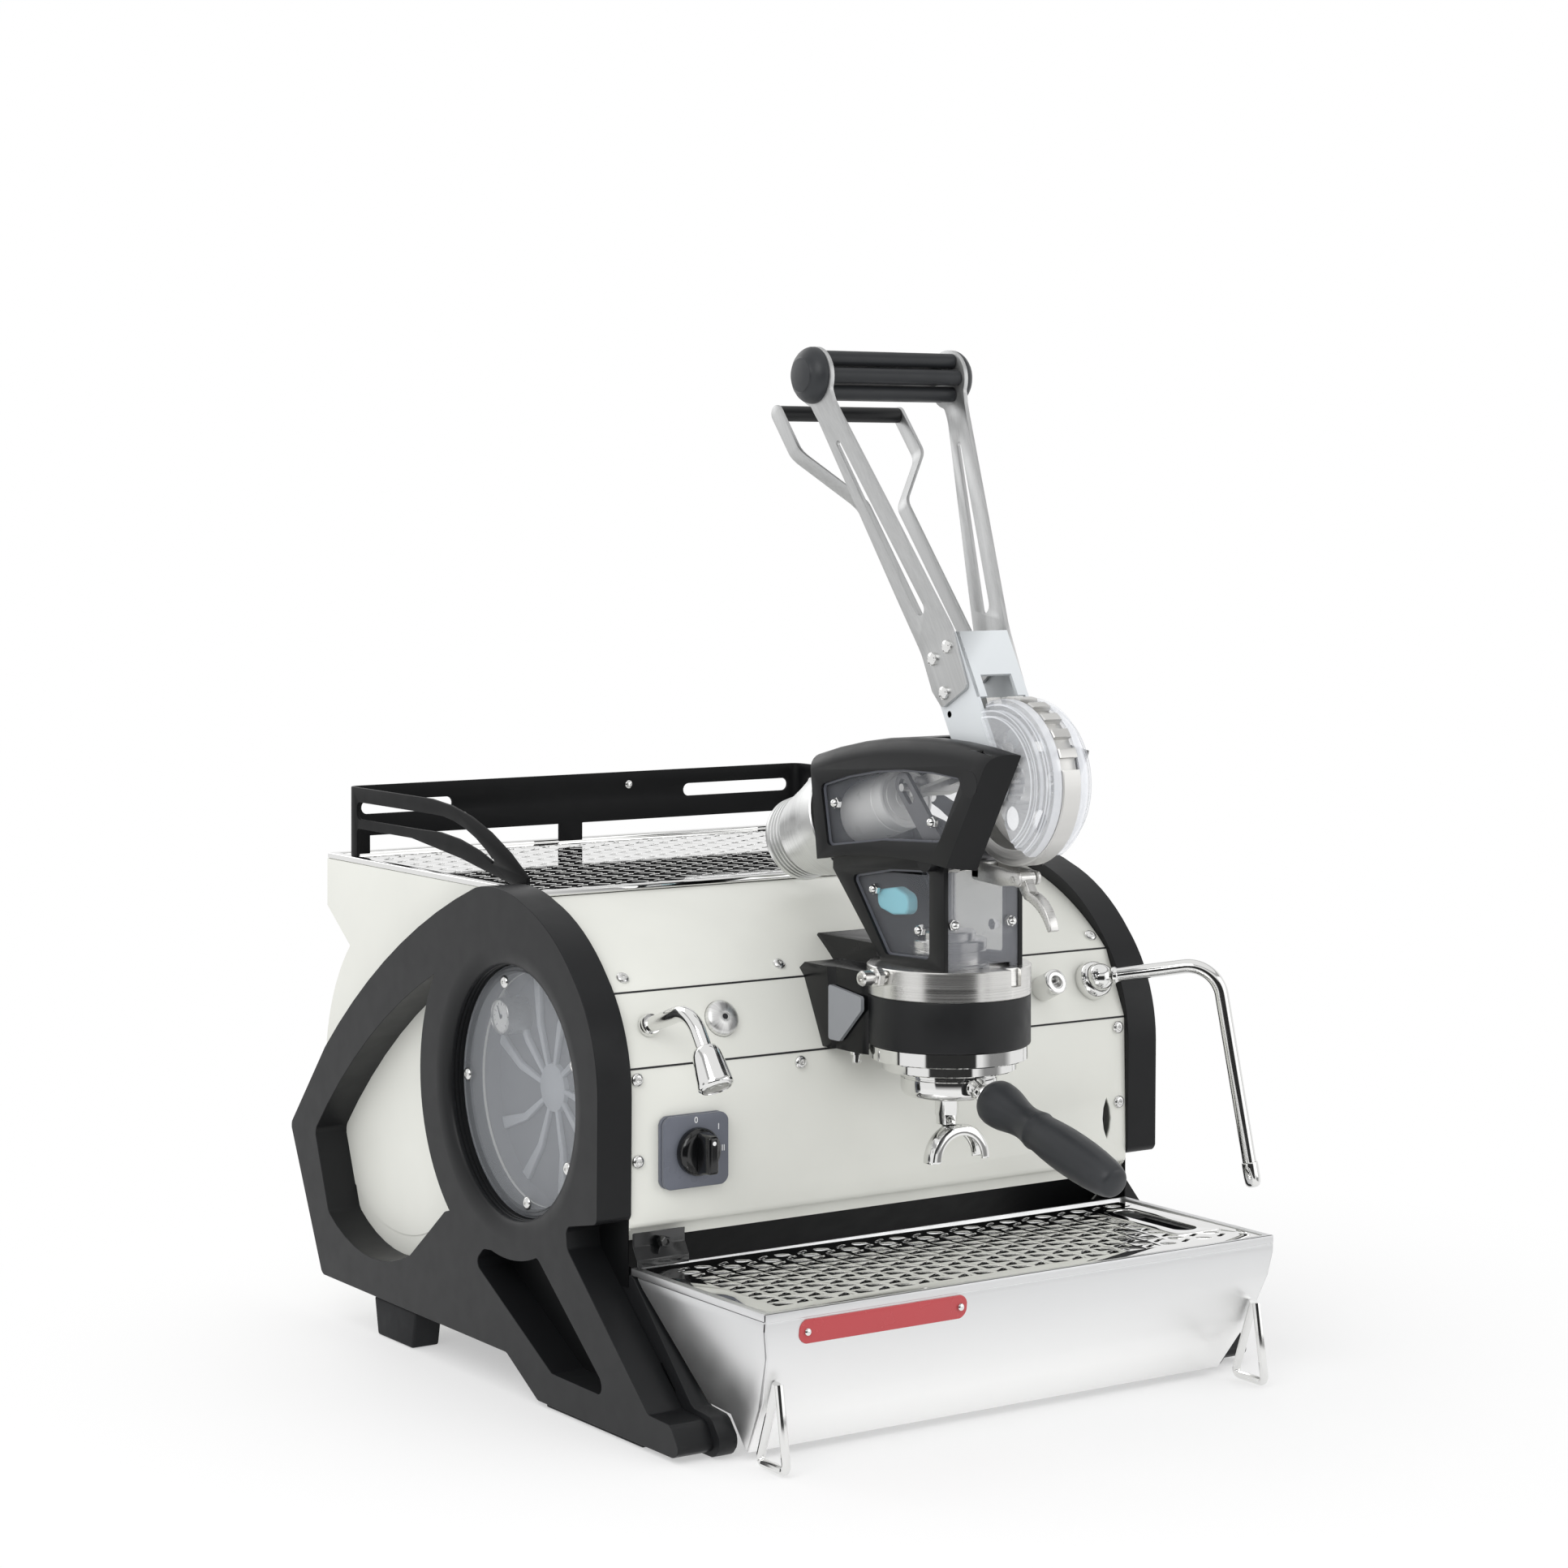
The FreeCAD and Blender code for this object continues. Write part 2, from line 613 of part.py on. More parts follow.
def cup_rail():
    """Rail round three sides of the cup tray, bent from one strip."""
    foot_z = BODY_TOP_Z + SHEET + TRAY_RIM_RISE
    back_low = 386.0
    back = box(-RAIL_SIDE_X, RAIL_SIDE_X, RAIL_BACK_Y, RAIL_BACK_Y + RAIL_THICK, back_low, RAIL_TOP_Z)
    slots = [rounded_slot(x0, x1, 404.0, 415.0)
             for x0, x1 in ((-214, -128), (-20, 20), (103, 214))]
    posts = [box(x - 11, x + 11, RAIL_BACK_Y, RAIL_BACK_Y + RAIL_THICK, foot_z, back_low + 1)
             for x in (-RAIL_SIDE_X + 11, -12.0, RAIL_SIDE_X - 11)]
    back = fused(back, *posts).cut(slots)
    side = slab_x(
        [(RAIL_BACK_Y + RAIL_THICK, foot_z), (RAIL_BACK_Y + RAIL_THICK, RAIL_TOP_Z), (312.0, RAIL_TOP_Z),
         ((225.0, 412.0), (158.0, foot_z + 8)), (158.0, foot_z), (178.0, foot_z),
         ((250.0, 383.0), (345.0, 394.0)), (440.0, 394.0), (440.0, foot_z)],
        -RAIL_SIDE_X, -RAIL_SIDE_X + RAIL_THICK)
    gap = slab_x(
        [(440.0, 402.0), (440.0, 416.0), (312.0, 416.0), ((250.0, 407.0), (205.0, 384.0)),
         ((262.0, 399.0), (330.0, 402.0))],
        -RAIL_SIDE_X - 1, -RAIL_SIDE_X + RAIL_THICK + 1)
    side = side.cut(gap)
    return fused(back, side, mirrored(side))


def boiler_vessel(radius, half, knuckle, wall):
    """Outside and inside of a vessel along X with chamfered ends, round the origin."""
    solids = []
    for shrink in (0.0, wall):
        r, h = radius - shrink, half - shrink
        solids.append(turned([(0, -h), (r - knuckle, -h), (r, -h + knuckle), (r, h - knuckle),
                              (r - knuckle, h), (0, h)], (0, 0, 0), (1, 0, 0)))
    return solids


def steam_boiler():
    """Hollow horizontal boiler on two saddles."""
    shell, inside = boiler_vessel(STEAM_BOILER_R, STEAM_BOILER_HALF, 14.0, BOILER_WALL)
    centre = Vector(0, STEAM_BOILER_Y, STEAM_BOILER_Z)
    shell.translate(centre)
    inside.translate(centre)
    saddle = slab_x([(centre.y - 60, BASE_Z + SHEET), (centre.y + 5, BASE_Z + SHEET),
                     (centre.y + 5, centre.z), (centre.y - 60, centre.z - 20)], 80, 110)
    return fused(shell, saddle, mirrored(saddle)).cut(inside)


def coffee_boiler():
    """Small hollow boiler behind the group, on a stand, with its neck to the group."""
    start_y, end_y, centre_z = COFFEE_BOILER_Y[0], COFFEE_BOILER_Y[1], COFFEE_BOILER_Z
    shell = rod((0, start_y, centre_z), (0, end_y, centre_z), COFFEE_BOILER_R)
    inside = rod((0, start_y + BOILER_WALL, centre_z), (0, end_y - BOILER_WALL, centre_z),
                 COFFEE_BOILER_R - BOILER_WALL)
    neck = rod((0, start_y - 22, 282), (0, start_y + 20, 262), 12)
    stand = box(-22, 22, 80, 140, BASE_Z + SHEET, centre_z - 20)
    return fused(shell, stand, neck).cut(inside)


def pressure_gauge():
    """Dial behind the left porthole, on a strap from the side cover."""
    gauge_y, gauge_z, radius = 180.0, 272.0, 14.0
    case = rod((-238, gauge_y, gauge_z), (-214, gauge_y, gauge_z), radius)
    face_recess = rod((-239, gauge_y, gauge_z), (-236, gauge_y, gauge_z), radius - 1.5)
    strap_start = -BODY_HALF + SHEET
    strap = slab_x([(gauge_y - 8, gauge_z), (gauge_y, gauge_z - 8), (gauge_y + 36, gauge_z + 24),
                    (gauge_y + 24, gauge_z + 36)], strap_start, strap_start + 3)
    return fused(case.cut(face_recess), strap)


def panel_screws():
    """Button-head screws of the front panels and the portholes."""
    heads = []
    for x, z in ((-224, 247), (-81, 247), (224, 247), (224, 188), (-224, 188)):
        y = SEAM_LOW[0] * (z - PANEL_BOTTOM_Z) / (SEAM_LOW[1] - PANEL_BOTTOM_Z)
        heads.append(screw_head(Vector(x, y, z), Vector(0, PANEL_BOTTOM_Z - SEAM_LOW[1], SEAM_LOW[0])))
    low_y, low_z = SEAM_HIGH[0] + SEAM_GAP, SEAM_HIGH[1] + SEAM_GAP
    for x in (-216, -78, 223):
        bow = Part.ArcOfCircle(Vector(x, low_y, low_z), Vector(x, *TOP_BOW), Vector(x, TRAY_FRONT_Y, BODY_TOP_Z))
        place = bow.value(bow.parameter(Vector(x, low_y + TOP_SCREW_RISE, low_z + TOP_SCREW_RISE)))
        out = place - bow.Center
        heads.append(screw_head(place + out.normalize() * SCREW_SEAT_GAP, out))
    for angle in (72, 1, 215, 264, 159):
        y = PORTHOLE_Y + PORTHOLE_SCREW_R * math.cos(math.radians(angle))
        z = PORTHOLE_Z + PORTHOLE_SCREW_R * math.sin(math.radians(angle))
        heads.append(screw_head(Vector(-FRAME_OUTER_X + WINDOW_DEPTH, y, z), Vector(-1, 0, 0)))
        heads.append(screw_head(Vector(FRAME_OUTER_X - WINDOW_DEPTH, y, z), Vector(1, 0, 0)))
    return Part.makeCompound(heads)


def screw_head(place, out, radius=SCREW_HEAD_R, height=SCREW_HEAD_H):
    """Low head with a chamfered rim that stands on a surface."""
    return turned([(0, 0), (radius, 0), (radius, height * 0.45), (radius * 0.7, height), (0, height)],
                  tuple(place), tuple(out))


def acorn_nut(place, out):
    """Hexagonal nut with a blunt cone on top."""
    place, out = Vector(*place), Vector(*out)
    side = out.cross(Vector(0, 0, 1)).normalize() * NUT_R
    corners = [place + Rotation(out, 60 * index).multVec(side) for index in range(7)]
    hexagon = Part.Face(Part.makePolygon(corners)).extrude(out * NUT_H)
    cap = Part.makeCone(NUT_R * 0.8, NUT_R * 0.35, NUT_CAP_H, place + out * NUT_H, out)
    return fused(hexagon, cap)


def switch_plate():
    """Grey square housing of the rotary switch."""
    half_x, half_z, corner = SWITCH_SIZE[0] / 2, SWITCH_SIZE[1] / 2, 6.0
    plate = box(SWITCH_X - half_x, SWITCH_X + half_x, -SWITCH_DEPTH, 2.0,
                SWITCH_Z - half_z, SWITCH_Z + half_z)
    edges = [e for e in plate.Edges if e.BoundBox.YLength > 5]
    plate = plate.makeFillet(corner, edges)
    lean = slab_x([(-20, 150), (0.0, PANEL_BOTTOM_Z), SEAM_LOW, (-20, SEAM_LOW[1])],
                  SWITCH_X - 60, SWITCH_X + 60)
    return plate.common(lean)


def switch_knob():
    """Round knob with a raised grip bar."""
    y0 = -SWITCH_DEPTH
    base = turned([(0, 0), (KNOB_R, 0), (KNOB_R, 5), (KNOB_R - 1, 8), (KNOB_R - 4, 9), (0, 9)],
                  (SWITCH_X, y0, SWITCH_Z), (0, -1, 0))
    bar = box(SWITCH_X - 5.5, SWITCH_X + 5.5, y0 - 24, y0 - 8, SWITCH_Z - KNOB_R + 2, SWITCH_Z + KNOB_R - 2)
    edges = [e for e in bar.Edges if e.BoundBox.ZLength < 1 and e.BoundBox.XLength < 1]
    return fused(base, bar.makeFillet(4, edges))


def hot_water_button():
    """Polished dome button that is pushed into the middle panel."""
    start = panel_point(BUTTON_X, FITTING_Z, -6)
    normal = panel_normal()
    return turned([(0, 0), (BUTTON_R, 0), (BUTTON_R, 9), (BUTTON_R * 0.85, 11.6), (BUTTON_R * 0.55, 13.2), (3, 14),
                   (3, 12), (0, 12)],
                  tuple(start), tuple(normal))


def hot_water_spout():
    """Gooseneck with an aerator that swivels on the middle panel."""
    normal = panel_normal()
    start = panel_point(WATER_X, FITTING_Z)
    corner = start + normal * 63.0
    down = Vector(0, -0.51, -0.86).normalize()
    neck_end = corner + down * 42
    tube = bent_tube([tuple(start), tuple(corner), tuple(neck_end)], 5.8, 26.0)
    flange = turned([(0, 0), (10.5, 0), (10.5, 4), (9.0, 6), (6.2, 7), (0, 7)], tuple(start), tuple(normal))
    aerator = turned([(0, 0), (8.0, 0), (10.0, 2.5), (11.0, 8), (13.2, 30), (12.2, 32), (0, 32)],
                     tuple(corner + down * 36), tuple(down))
    return fused(tube, flange, aerator)


def steam_centre():
    return panel_point(STEAM_X, FITTING_Z, BALL_RISE)


def steam_flange():
    """Socket that holds the wand's ball against the panel."""
    flange = turned([(0, 0), (15.5, 0), (15.5, 3), (14.6, 7), (11.4, 11), (0, 11)],
                    tuple(panel_point(STEAM_X, FITTING_Z)), tuple(panel_normal()))
    return flange.cut(Part.makeSphere(BALL_R + 0.1, steam_centre()))


def steam_ball():
    return Part.makeSphere(BALL_R, steam_centre())


def wand_point(out, z):
    """Point in the upright plane of the wand, at a distance out from the ball."""
    heading = math.radians(WAND_HEADING)
    centre = steam_centre()
    return Vector(centre.x + out * math.sin(heading), centre.y - out * math.cos(heading), z)


def steam_wand():
    """Bent tube with a tapered tip."""
    centre = steam_centre()
    first = wand_point(6.0, centre.z + 1.2)
    bend = wand_point(98.0, 307.0)
    knee_end = wand_point(125.0, 156.0)
    tube = bent_tube([tuple(first), tuple(bend), tuple(knee_end)], WAND_R, 22.0)
    way = (knee_end - bend).normalize()
    tip = turned([(0, 0), (6.2, 0), (6.6, 4), (6.2, 15), (5, 18.5), (2.5, 20), (0, 20)],
                 tuple(knee_end - way * 1.0), tuple(way))
    clear = Part.makeSphere(BALL_R + 0.15, centre)
    return fused(tube, tip).cut(clear)


def steam_knob():
    """Short steel cylinder with a blind hole in its end."""
    return turned([(0, 0), (9.5, 0), (10, 1), (10, 21), (9.2, 22), (4.5, 22), (4.5, 15), (0, 15)],
                  tuple(panel_point(STEAM_KNOB_X, FITTING_Z - 2)), tuple(panel_normal()))


def group_support():
    """Casting from the body to the group: a saddle behind the jacket and a roof up to the top panel."""
    low, high = SUPPORT_Z
    saddle = slab_x([(4.0, low), SEAM_HIGH, (31.0, 313.0), (24.0, high), (-50.0, high),
                     (SUPPORT_FRONT_Y, high - 26), (SUPPORT_FRONT_Y, low + 5), (SUPPORT_FRONT_Y + 6, low)],
                    -SUPPORT_HALF, SUPPORT_HALF)
    front_view = slab_y([(-SUPPORT_HALF, high), (-SUPPORT_HALF, high - 6), (-SUPPORT_FOOT_HALF, low),
                         (SUPPORT_FOOT_HALF, low), (SUPPORT_HALF, high - 6), (SUPPORT_HALF, high)], -200, 200)
    waist = SUPPORT_HALF - SUPPORT_LIP
    left = [(-SUPPORT_HALF, 60.0), (-SUPPORT_HALF, -6.0), (-waist, -12.0), (-waist, -42.0), (-46.0, SUPPORT_FRONT_Y - 2)]
    plan = slab_z(left + [(-x, y) for x, y in left[::-1]], low - 1, high + 1)
    roof = slab_x([(27.0, 308.5), (62.0, ROOF_Z), (-17.0, ROOF_Z), (-30.0, COLLAR_Z[1]), (-30.0, 316.0)],
                  -ROOF_HALF, ROOF_HALF)
    bore = rod((0, GROUP_Y, low - 10), (0, GROUP_Y, JACKET_Z[1]), JACKET_R)
    seat = rod((0, GROUP_Y, JACKET_Z[1] - 0.001), (0, GROUP_Y, high + 30), COLLAR_R)
    fitting_pocket = rod((-90, GROUP_Y, FITTING_Z_ON_COLLAR), (0, GROUP_Y, FITTING_Z_ON_COLLAR), 8.0)
    body = fused(saddle.common(front_view).common(plan), roof)
    return body.cut([bore, seat, fitting_pocket, panel_space()])


def panel_space():
    """Everything behind the outer faces of the middle and top panels."""
    return slab_x([(SEAM_LOW[0], SEAM_LOW[1] - 30), SEAM_LOW, SEAM_HIGH,
                   (SEAM_HIGH[0] + SEAM_GAP, SEAM_HIGH[1] + SEAM_GAP),
                   ((75.0, 343.0), (TRAY_FRONT_Y, BODY_TOP_Z)), (200, 366), (200, 225)], -100, 100)


def group_jacket():
    low, high = JACKET_Z
    return ring((0, GROUP_Y, low), (0, GROUP_Y, high), JACKET_R, JACKET_R - JACKET_WALL)


def group_cylinder():
    """Steel body of the group with the piston's bore."""
    low, high = FLANGE_Z[1], JACKET_Z[1]
    outer = rod((0, GROUP_Y, low), (0, GROUP_Y, high), JACKET_R - JACKET_WALL)
    return outer.cut(rod((0, GROUP_Y, low), (0, GROUP_Y, high), CYLINDER_BORE_R))


def bayonet_flange():
    """Stepped ring with a groove and two gaps for the portafilter's ears."""
    low, high = FLANGE_LIP_Z, FLANGE_Z[1]
    profile = [(FILTER_BODY_R + 0.5, low), (FLANGE_LIP_R, low), (FLANGE_LIP_R, FLANGE_Z[0]),
               (FLANGE_R, FLANGE_Z[0]), (FLANGE_R, high), (FILTER_BODY_R + 0.5, high),
               (FILTER_BODY_R + 0.5, FLANGE_Z[0] + 3), (EAR_R + 0.5, FLANGE_Z[0] + 3),
               (EAR_R + 0.5, EAR_Z[0] - 0.3), (FILTER_BODY_R + 0.5, EAR_Z[0] - 0.3)]
    body = turned(profile, (0, GROUP_Y, 0), (0, 0, 1))
    gap_half = EAR_HALF_WIDTH + 1.0
    gap = box(-EAR_R - 0.5, EAR_R + 0.5, -gap_half, gap_half, low - 1, EAR_Z[1])
    gap.Placement = Placement(Vector(0, GROUP_Y, 0), Rotation(Vector(0, 0, 1), -UNLOCK_TURN))
    return body.cut(gap)


def group_gasket():
    """Seal ring that the filter's rim presses on."""
    low = FILTER_BODY_Z[1] + GASKET_GAP
    return ring((0, GROUP_Y, low), (0, GROUP_Y, FLANGE_Z[1]), FILTER_BODY_R + 0.2, CYLINDER_BORE_R)


def group_collar():
    """Brushed steel collar with the rod's guide tower."""
    low, high = COLLAR_Z
    lid = rod((0, GROUP_Y, low), (0, GROUP_Y, high), COLLAR_R)
    tower = rod((0, GROUP_Y, high - 1), (0, GROUP_Y, high + TOWER_RISE), TOWER_R)
    cap = rod((0, GROUP_Y, high + TOWER_RISE - 1), (0, GROUP_Y, high + TOWER_RISE + 6), TOWER_R * 0.7)
    notch = box(12, 24, GROUP_Y - COLLAR_R - 2, GROUP_Y - COLLAR_R + 9, high - 13, high + 2)
    bore = rod((0, GROUP_Y, low - 1), (0, GROUP_Y, high + 40), ROD_R + 0.1)
    hollow = rod((0, GROUP_Y, low), (0, GROUP_Y, low + 14), CYLINDER_BORE_R)
    fitting = rod((-COLLAR_R + 2, GROUP_Y, FITTING_Z_ON_COLLAR), (-COLLAR_R - 22, GROUP_Y, FITTING_Z_ON_COLLAR), 5.5)
    return fused(lid, tower, cap, fitting).cut([bore, notch, hollow])


def piston():
    """Piston head, its rod and the clevis at the top."""
    low, high = PISTON_Z
    head = turned([(0, low), (PISTON_R - 1, low), (PISTON_R, low + 1), (PISTON_R, high - 5),
                   (PISTON_R - 2, high - 5), (PISTON_R - 2, high - 2), (PISTON_R, high - 2),
                   (PISTON_R, high), (0, high)],
                  (0, GROUP_Y, 0), (0, 0, 1))
    shaft = rod((0, GROUP_Y, high - 1), (0, GROUP_Y, PISTON_PIN_Z - 6), ROD_R)
    eye = rod((-5, GROUP_Y, PISTON_PIN_Z), (5, GROUP_Y, PISTON_PIN_Z), 8.5)
    pin = rod((-14.5, GROUP_Y, PISTON_PIN_Z), (14.5, GROUP_Y, PISTON_PIN_Z), ROCKER_PIN_R)
    return fused(head, shaft, eye, pin)


def rocker_slot(start, end, half_width, x0, x1):
    """Round-ended slot between two points in Y and Z."""
    first, last = Vector(0, *start), Vector(0, *end)
    way = (last - first).normalize()
    side = Vector(0, -way.z, way.y) * half_width
    body = slab_x([tuple(p)[1:] for p in (first + side, last + side, last - side, first - side)], x0, x1)
    ends = [rod((x0, p.y, p.z), (x1, p.y, p.z), half_width) for p in (first, last)]
    return fused(body, *ends)


def rocker():
    """Bell crank: side plates on the crosshead, a cross tube and two short arms on the piston rod."""
    x0, x1 = ROCKER_PLATE_X
    pivot = (ROCKER_Y, ROCKER_Z)
    top = spring_place(CROSSHEAD_A, ROD_ABOVE_PIVOT)
    reach = Vector(0, top.y - ROCKER_Y, top.z - ROCKER_Z)
    way = Vector(reach).normalize()
    far = (ROCKER_Y + way.y * (reach.Length + 3), ROCKER_Z + way.z * (reach.Length + 3))
    near = (ROCKER_Y + way.y * (reach.Length - 11), ROCKER_Z + way.z * (reach.Length - 11))
    plate = rocker_slot(pivot, far, 9.0, x0, x1)
    plate = plate.cut(rocker_slot(near, far, ROCKER_PIN_R + 1.1, x0 - 1, x1 + 1))
    tube = rod((-ROCKER_PLATE_X[1], *pivot), (ROCKER_PLATE_X[1], *pivot), 8)
    arm_end = (GROUP_Y, PISTON_PIN_Z)
    arm = rocker_slot(pivot, arm_end, 7.0, 8.0, 12.0)
    arm_way = Vector(0, arm_end[0] - pivot[0], arm_end[1] - pivot[1]).normalize()
    slot_near = (arm_end[0] - arm_way.y * 2.5, arm_end[1] - arm_way.z * 2.5)
    slot_far = (arm_end[0] + arm_way.y * 1.5, arm_end[1] + arm_way.z * 1.5)
    arm = arm.cut(rocker_slot(slot_near, slot_far, ROCKER_PIN_R + 1.1, 7.0, 13.0))
    body = fused(tube, plate, mirrored(plate), arm, mirrored(arm))
    return body.cut(rod((-40, *pivot), (40, *pivot), ROCKER_PIN_R + 1 + SHAFT_CLEARANCE))


def hood_outer(grow):
    """Upper part of the hood seen from the side; grow moves every edge outwards."""
    return [
        (31.0 + grow, 394.0 - grow),
        (41.0 + grow, 473.0 + grow * 0.8),
        ((-72.0, 492.0 + grow), (-200.0 - grow, 486.0 + grow * 0.5)),
        (-148.0 - grow, 400.0 - grow),
        ((-60.0, 404.0 - grow), (31.0 + grow, 394.0 - grow)),
    ]


def neck_outer(grow):
    """Lower part of the hood seen from the side."""
    return [
        (24.0 + grow, 398.0),
        (24.0 + grow, 387.0 - grow),
        (-39.0 + grow, COLLAR_Z[1]),
        (NECK_FRONT_Y - grow, COLLAR_Z[1]),
        (NECK_FRONT_Y - grow, 402.0),
        ((-50.0, 408.0), (24.0 + grow, 398.0)),
    ]


def hood_frame():
    """Black hood: a crowned shell with windows, and a neck that stands on the collar."""
    upper = slab_x(hood_outer(0.0), -HOOD_HALF, HOOD_HALF)
    crown = [e for e in upper.Edges
             if abs(abs(e.CenterOfMass.x) - HOOD_HALF) < 0.1 and e.CenterOfMass.z > 475]
    upper = upper.makeFillet(HOOD_EDGE_R, crown)
    neck = slab_x(neck_outer(0.0), -NECK_HALF, NECK_HALF)
    upper_hollow = slab_x(hood_outer(-HOOD_WALL), -HOOD_HALF + HOOD_WALL, HOOD_HALF - HOOD_WALL)
    neck_hollow = slab_x(
        [(20.0, 420.0), (20.0, 389.0), (-42.0, COLLAR_Z[1] - 1), (NECK_FRONT_Y - 5, COLLAR_Z[1] - 1),
         (NECK_FRONT_Y - 5, 397.0), (NECK_FRONT_Y + 4, 420.0)],
        -NECK_HALF + HOOD_WALL, NECK_HALF - HOOD_WALL)
    shell = fused(upper, neck).cut([upper_hollow, neck_hollow])
    front_mouth = slab_x([(-240, 380), (-170.0, 380.0), (-134.0, 404.5), (HOOD_SLOT_REAR_Y, 404.5),
                          (HOOD_SLOT_REAR_Y, 520), (-240, 520)], -HOOD_SLOT_HALF, HOOD_SLOT_HALF)
    upper_window = slab_x(
        [(17.0, 405.0), (26.0, 451.0), ((-70.0, 468.5), (-152.0, 467.0)), (-124.0, 419.0),
         ((-55.0, 415.0), (17.0, 405.0))], -HOOD_HALF - 5, HOOD_HALF + 5)
    lower_window = slab_x([(0.0, 384.0), (-45.0, 329.0), (-99.0, 331.0), (-99.0, 396.0), (-50.0, 393.0)],
                          -HOOD_HALF - 5, HOOD_HALF + 5)
    barrel_start = spring_place(150, ROD_ABOVE_PIVOT)
    barrel_hole = Part.makeCylinder(SLEEVE_R + 0.001, 120, barrel_start, spring_axis())
    shaft_hole = rod((-60, PIVOT_Y, PIVOT_Z), (60, PIVOT_Y, PIVOT_Z), SHAFT_R + SHAFT_CLEARANCE)
    rocker_boss = [rod((x0, ROCKER_Y, ROCKER_Z), (x1, ROCKER_Y, ROCKER_Z), 9)
                   for x0, x1 in ((-HOOD_HALF + 1, -ROCKER_PLATE_X[1] - 0.3), (ROCKER_PLATE_X[1] + 0.3, HOOD_HALF - 1))]
    rocker_pin = rod((-HOOD_HALF + 2, ROCKER_Y, ROCKER_Z), (HOOD_HALF - 2, ROCKER_Y, ROCKER_Z), ROCKER_PIN_R + 1)
    shell = shell.cut([front_mouth, upper_window, lower_window, barrel_hole, shaft_hole])
    return fused(shell, rocker_pin, *rocker_boss)


def hood_window():
    """Clear panes behind the upper and the lower window of one side, joined inside the hood."""
    x1 = -HOOD_HALF + HOOD_WALL
    upper = slab_x(
        [(22.0, 406.0), (30.0, 454.0), ((-70.0, 471.5), (-150.5, 469.0)), (-125.0, 416.0),
         ((-58.0, 411.0), (22.0, 406.0))], x1, x1 + PANE_THICK)
    return upper


def lower_pane():
    """Clear pane behind the lower window of one side."""
    x1 = -NECK_HALF + HOOD_WALL
    return slab_x([(4.0, 386.0), (-42.0, 328.0), (-103.0, 328.0), (-103.0, 392.0), (-50.0, 390.0)],
                  x1, x1 + PANE_THICK)


def front_shield():
    """Clear plate across the front of the neck, with its side returns."""
    half = NECK_HALF - HOOD_WALL
    low = COLLAR_Z[1]
    plate = box(-half, half, NECK_FRONT_Y + 0.5, NECK_FRONT_Y + 3.0, low, 396.0)
    notch = box(6, 26, NECK_FRONT_Y - 5, NECK_FRONT_Y + 5, low - 1, low + 3)
    return plate.cut(notch)


def hood_nuts():
    """Acorn nuts of the panes and the shield."""
    nuts = []
    places = [((-NECK_HALF, -28.0, 376.0), (-1, 0, 0)), ((-NECK_HALF, -85.0, 351.0), (-1, 0, 0)),
              ((-HOOD_HALF, 8.0, 438.0), (-1, 0, 0)), ((-HOOD_HALF, -114.0, 433.0), (-1, 0, 0))]
    places += [((-x, y, z), (1, 0, 0)) for (x, y, z), way in places]
    for (x, y, z), way in places:
        inner = x - (HOOD_WALL - 0.001) * way[0]
        nuts.append(acorn_nut((inner, y, z), way))
    for x in (-28.0, 24.0):
        nuts.append(acorn_nut((x, NECK_FRONT_Y + 0.5, 357.5), (0, -1, 0)))
    return Part.makeCompound(nuts)


def spring_sleeve():
    """Steel sleeve that holds the spring's front end, seen through the upper window."""
    start, end = SLEEVE_A
    wall = 3.0
    outline = [(ROD_R + 0.3, start), (SLEEVE_R - 1.5, start), (SLEEVE_R, start + 1.5), (SLEEVE_R, end),
               (SLEEVE_R - wall, end), (SLEEVE_R - wall, start + 5), (ROD_R + 0.3, start + 5)]
    origin = spring_place(0, ROD_ABOVE_PIVOT)
    return turned(outline, tuple(origin), tuple(spring_axis()))


def spring_barrel():
    """Flared aluminium barrel with a ribbed end."""
    start, end = BARREL_A
    origin = spring_place(0, ROD_ABOVE_PIVOT)
    rib_start = end - 22.0
    outline = [(SLEEVE_R, start), (BARREL_FRONT_R, start), (BARREL_FRONT_R, start + 14),
               ((BARREL_FRONT_R - 5, start + 32), (BARREL_REAR_R + 2, rib_start))]
    for index in range(BARREL_RIB_COUNT):
        z = rib_start + index * BARREL_RIB_PITCH
        outline += [(BARREL_REAR_R, z + 0.5), (BARREL_REAR_R, z + 2.5), (BARREL_REAR_R + 2, z + 3.0),
                    (BARREL_REAR_R + 2, z + BARREL_RIB_PITCH)]
    outline += [(BARREL_REAR_R + 2, end - 2), (BARREL_REAR_R, end), (8, end), (8, end - 4),
                (SLEEVE_R - 1, end - 4), (SLEEVE_R - 1, start + 6), (SLEEVE_R, start + 6)]
    barrel = turned(outline, tuple(origin), tuple(spring_axis()))
    face_cut = slab_x([(0, 300), (31.0, 380.0), (43.0, 500.0), (0, 500)], -80, 80)
    return barrel.cut(face_cut)


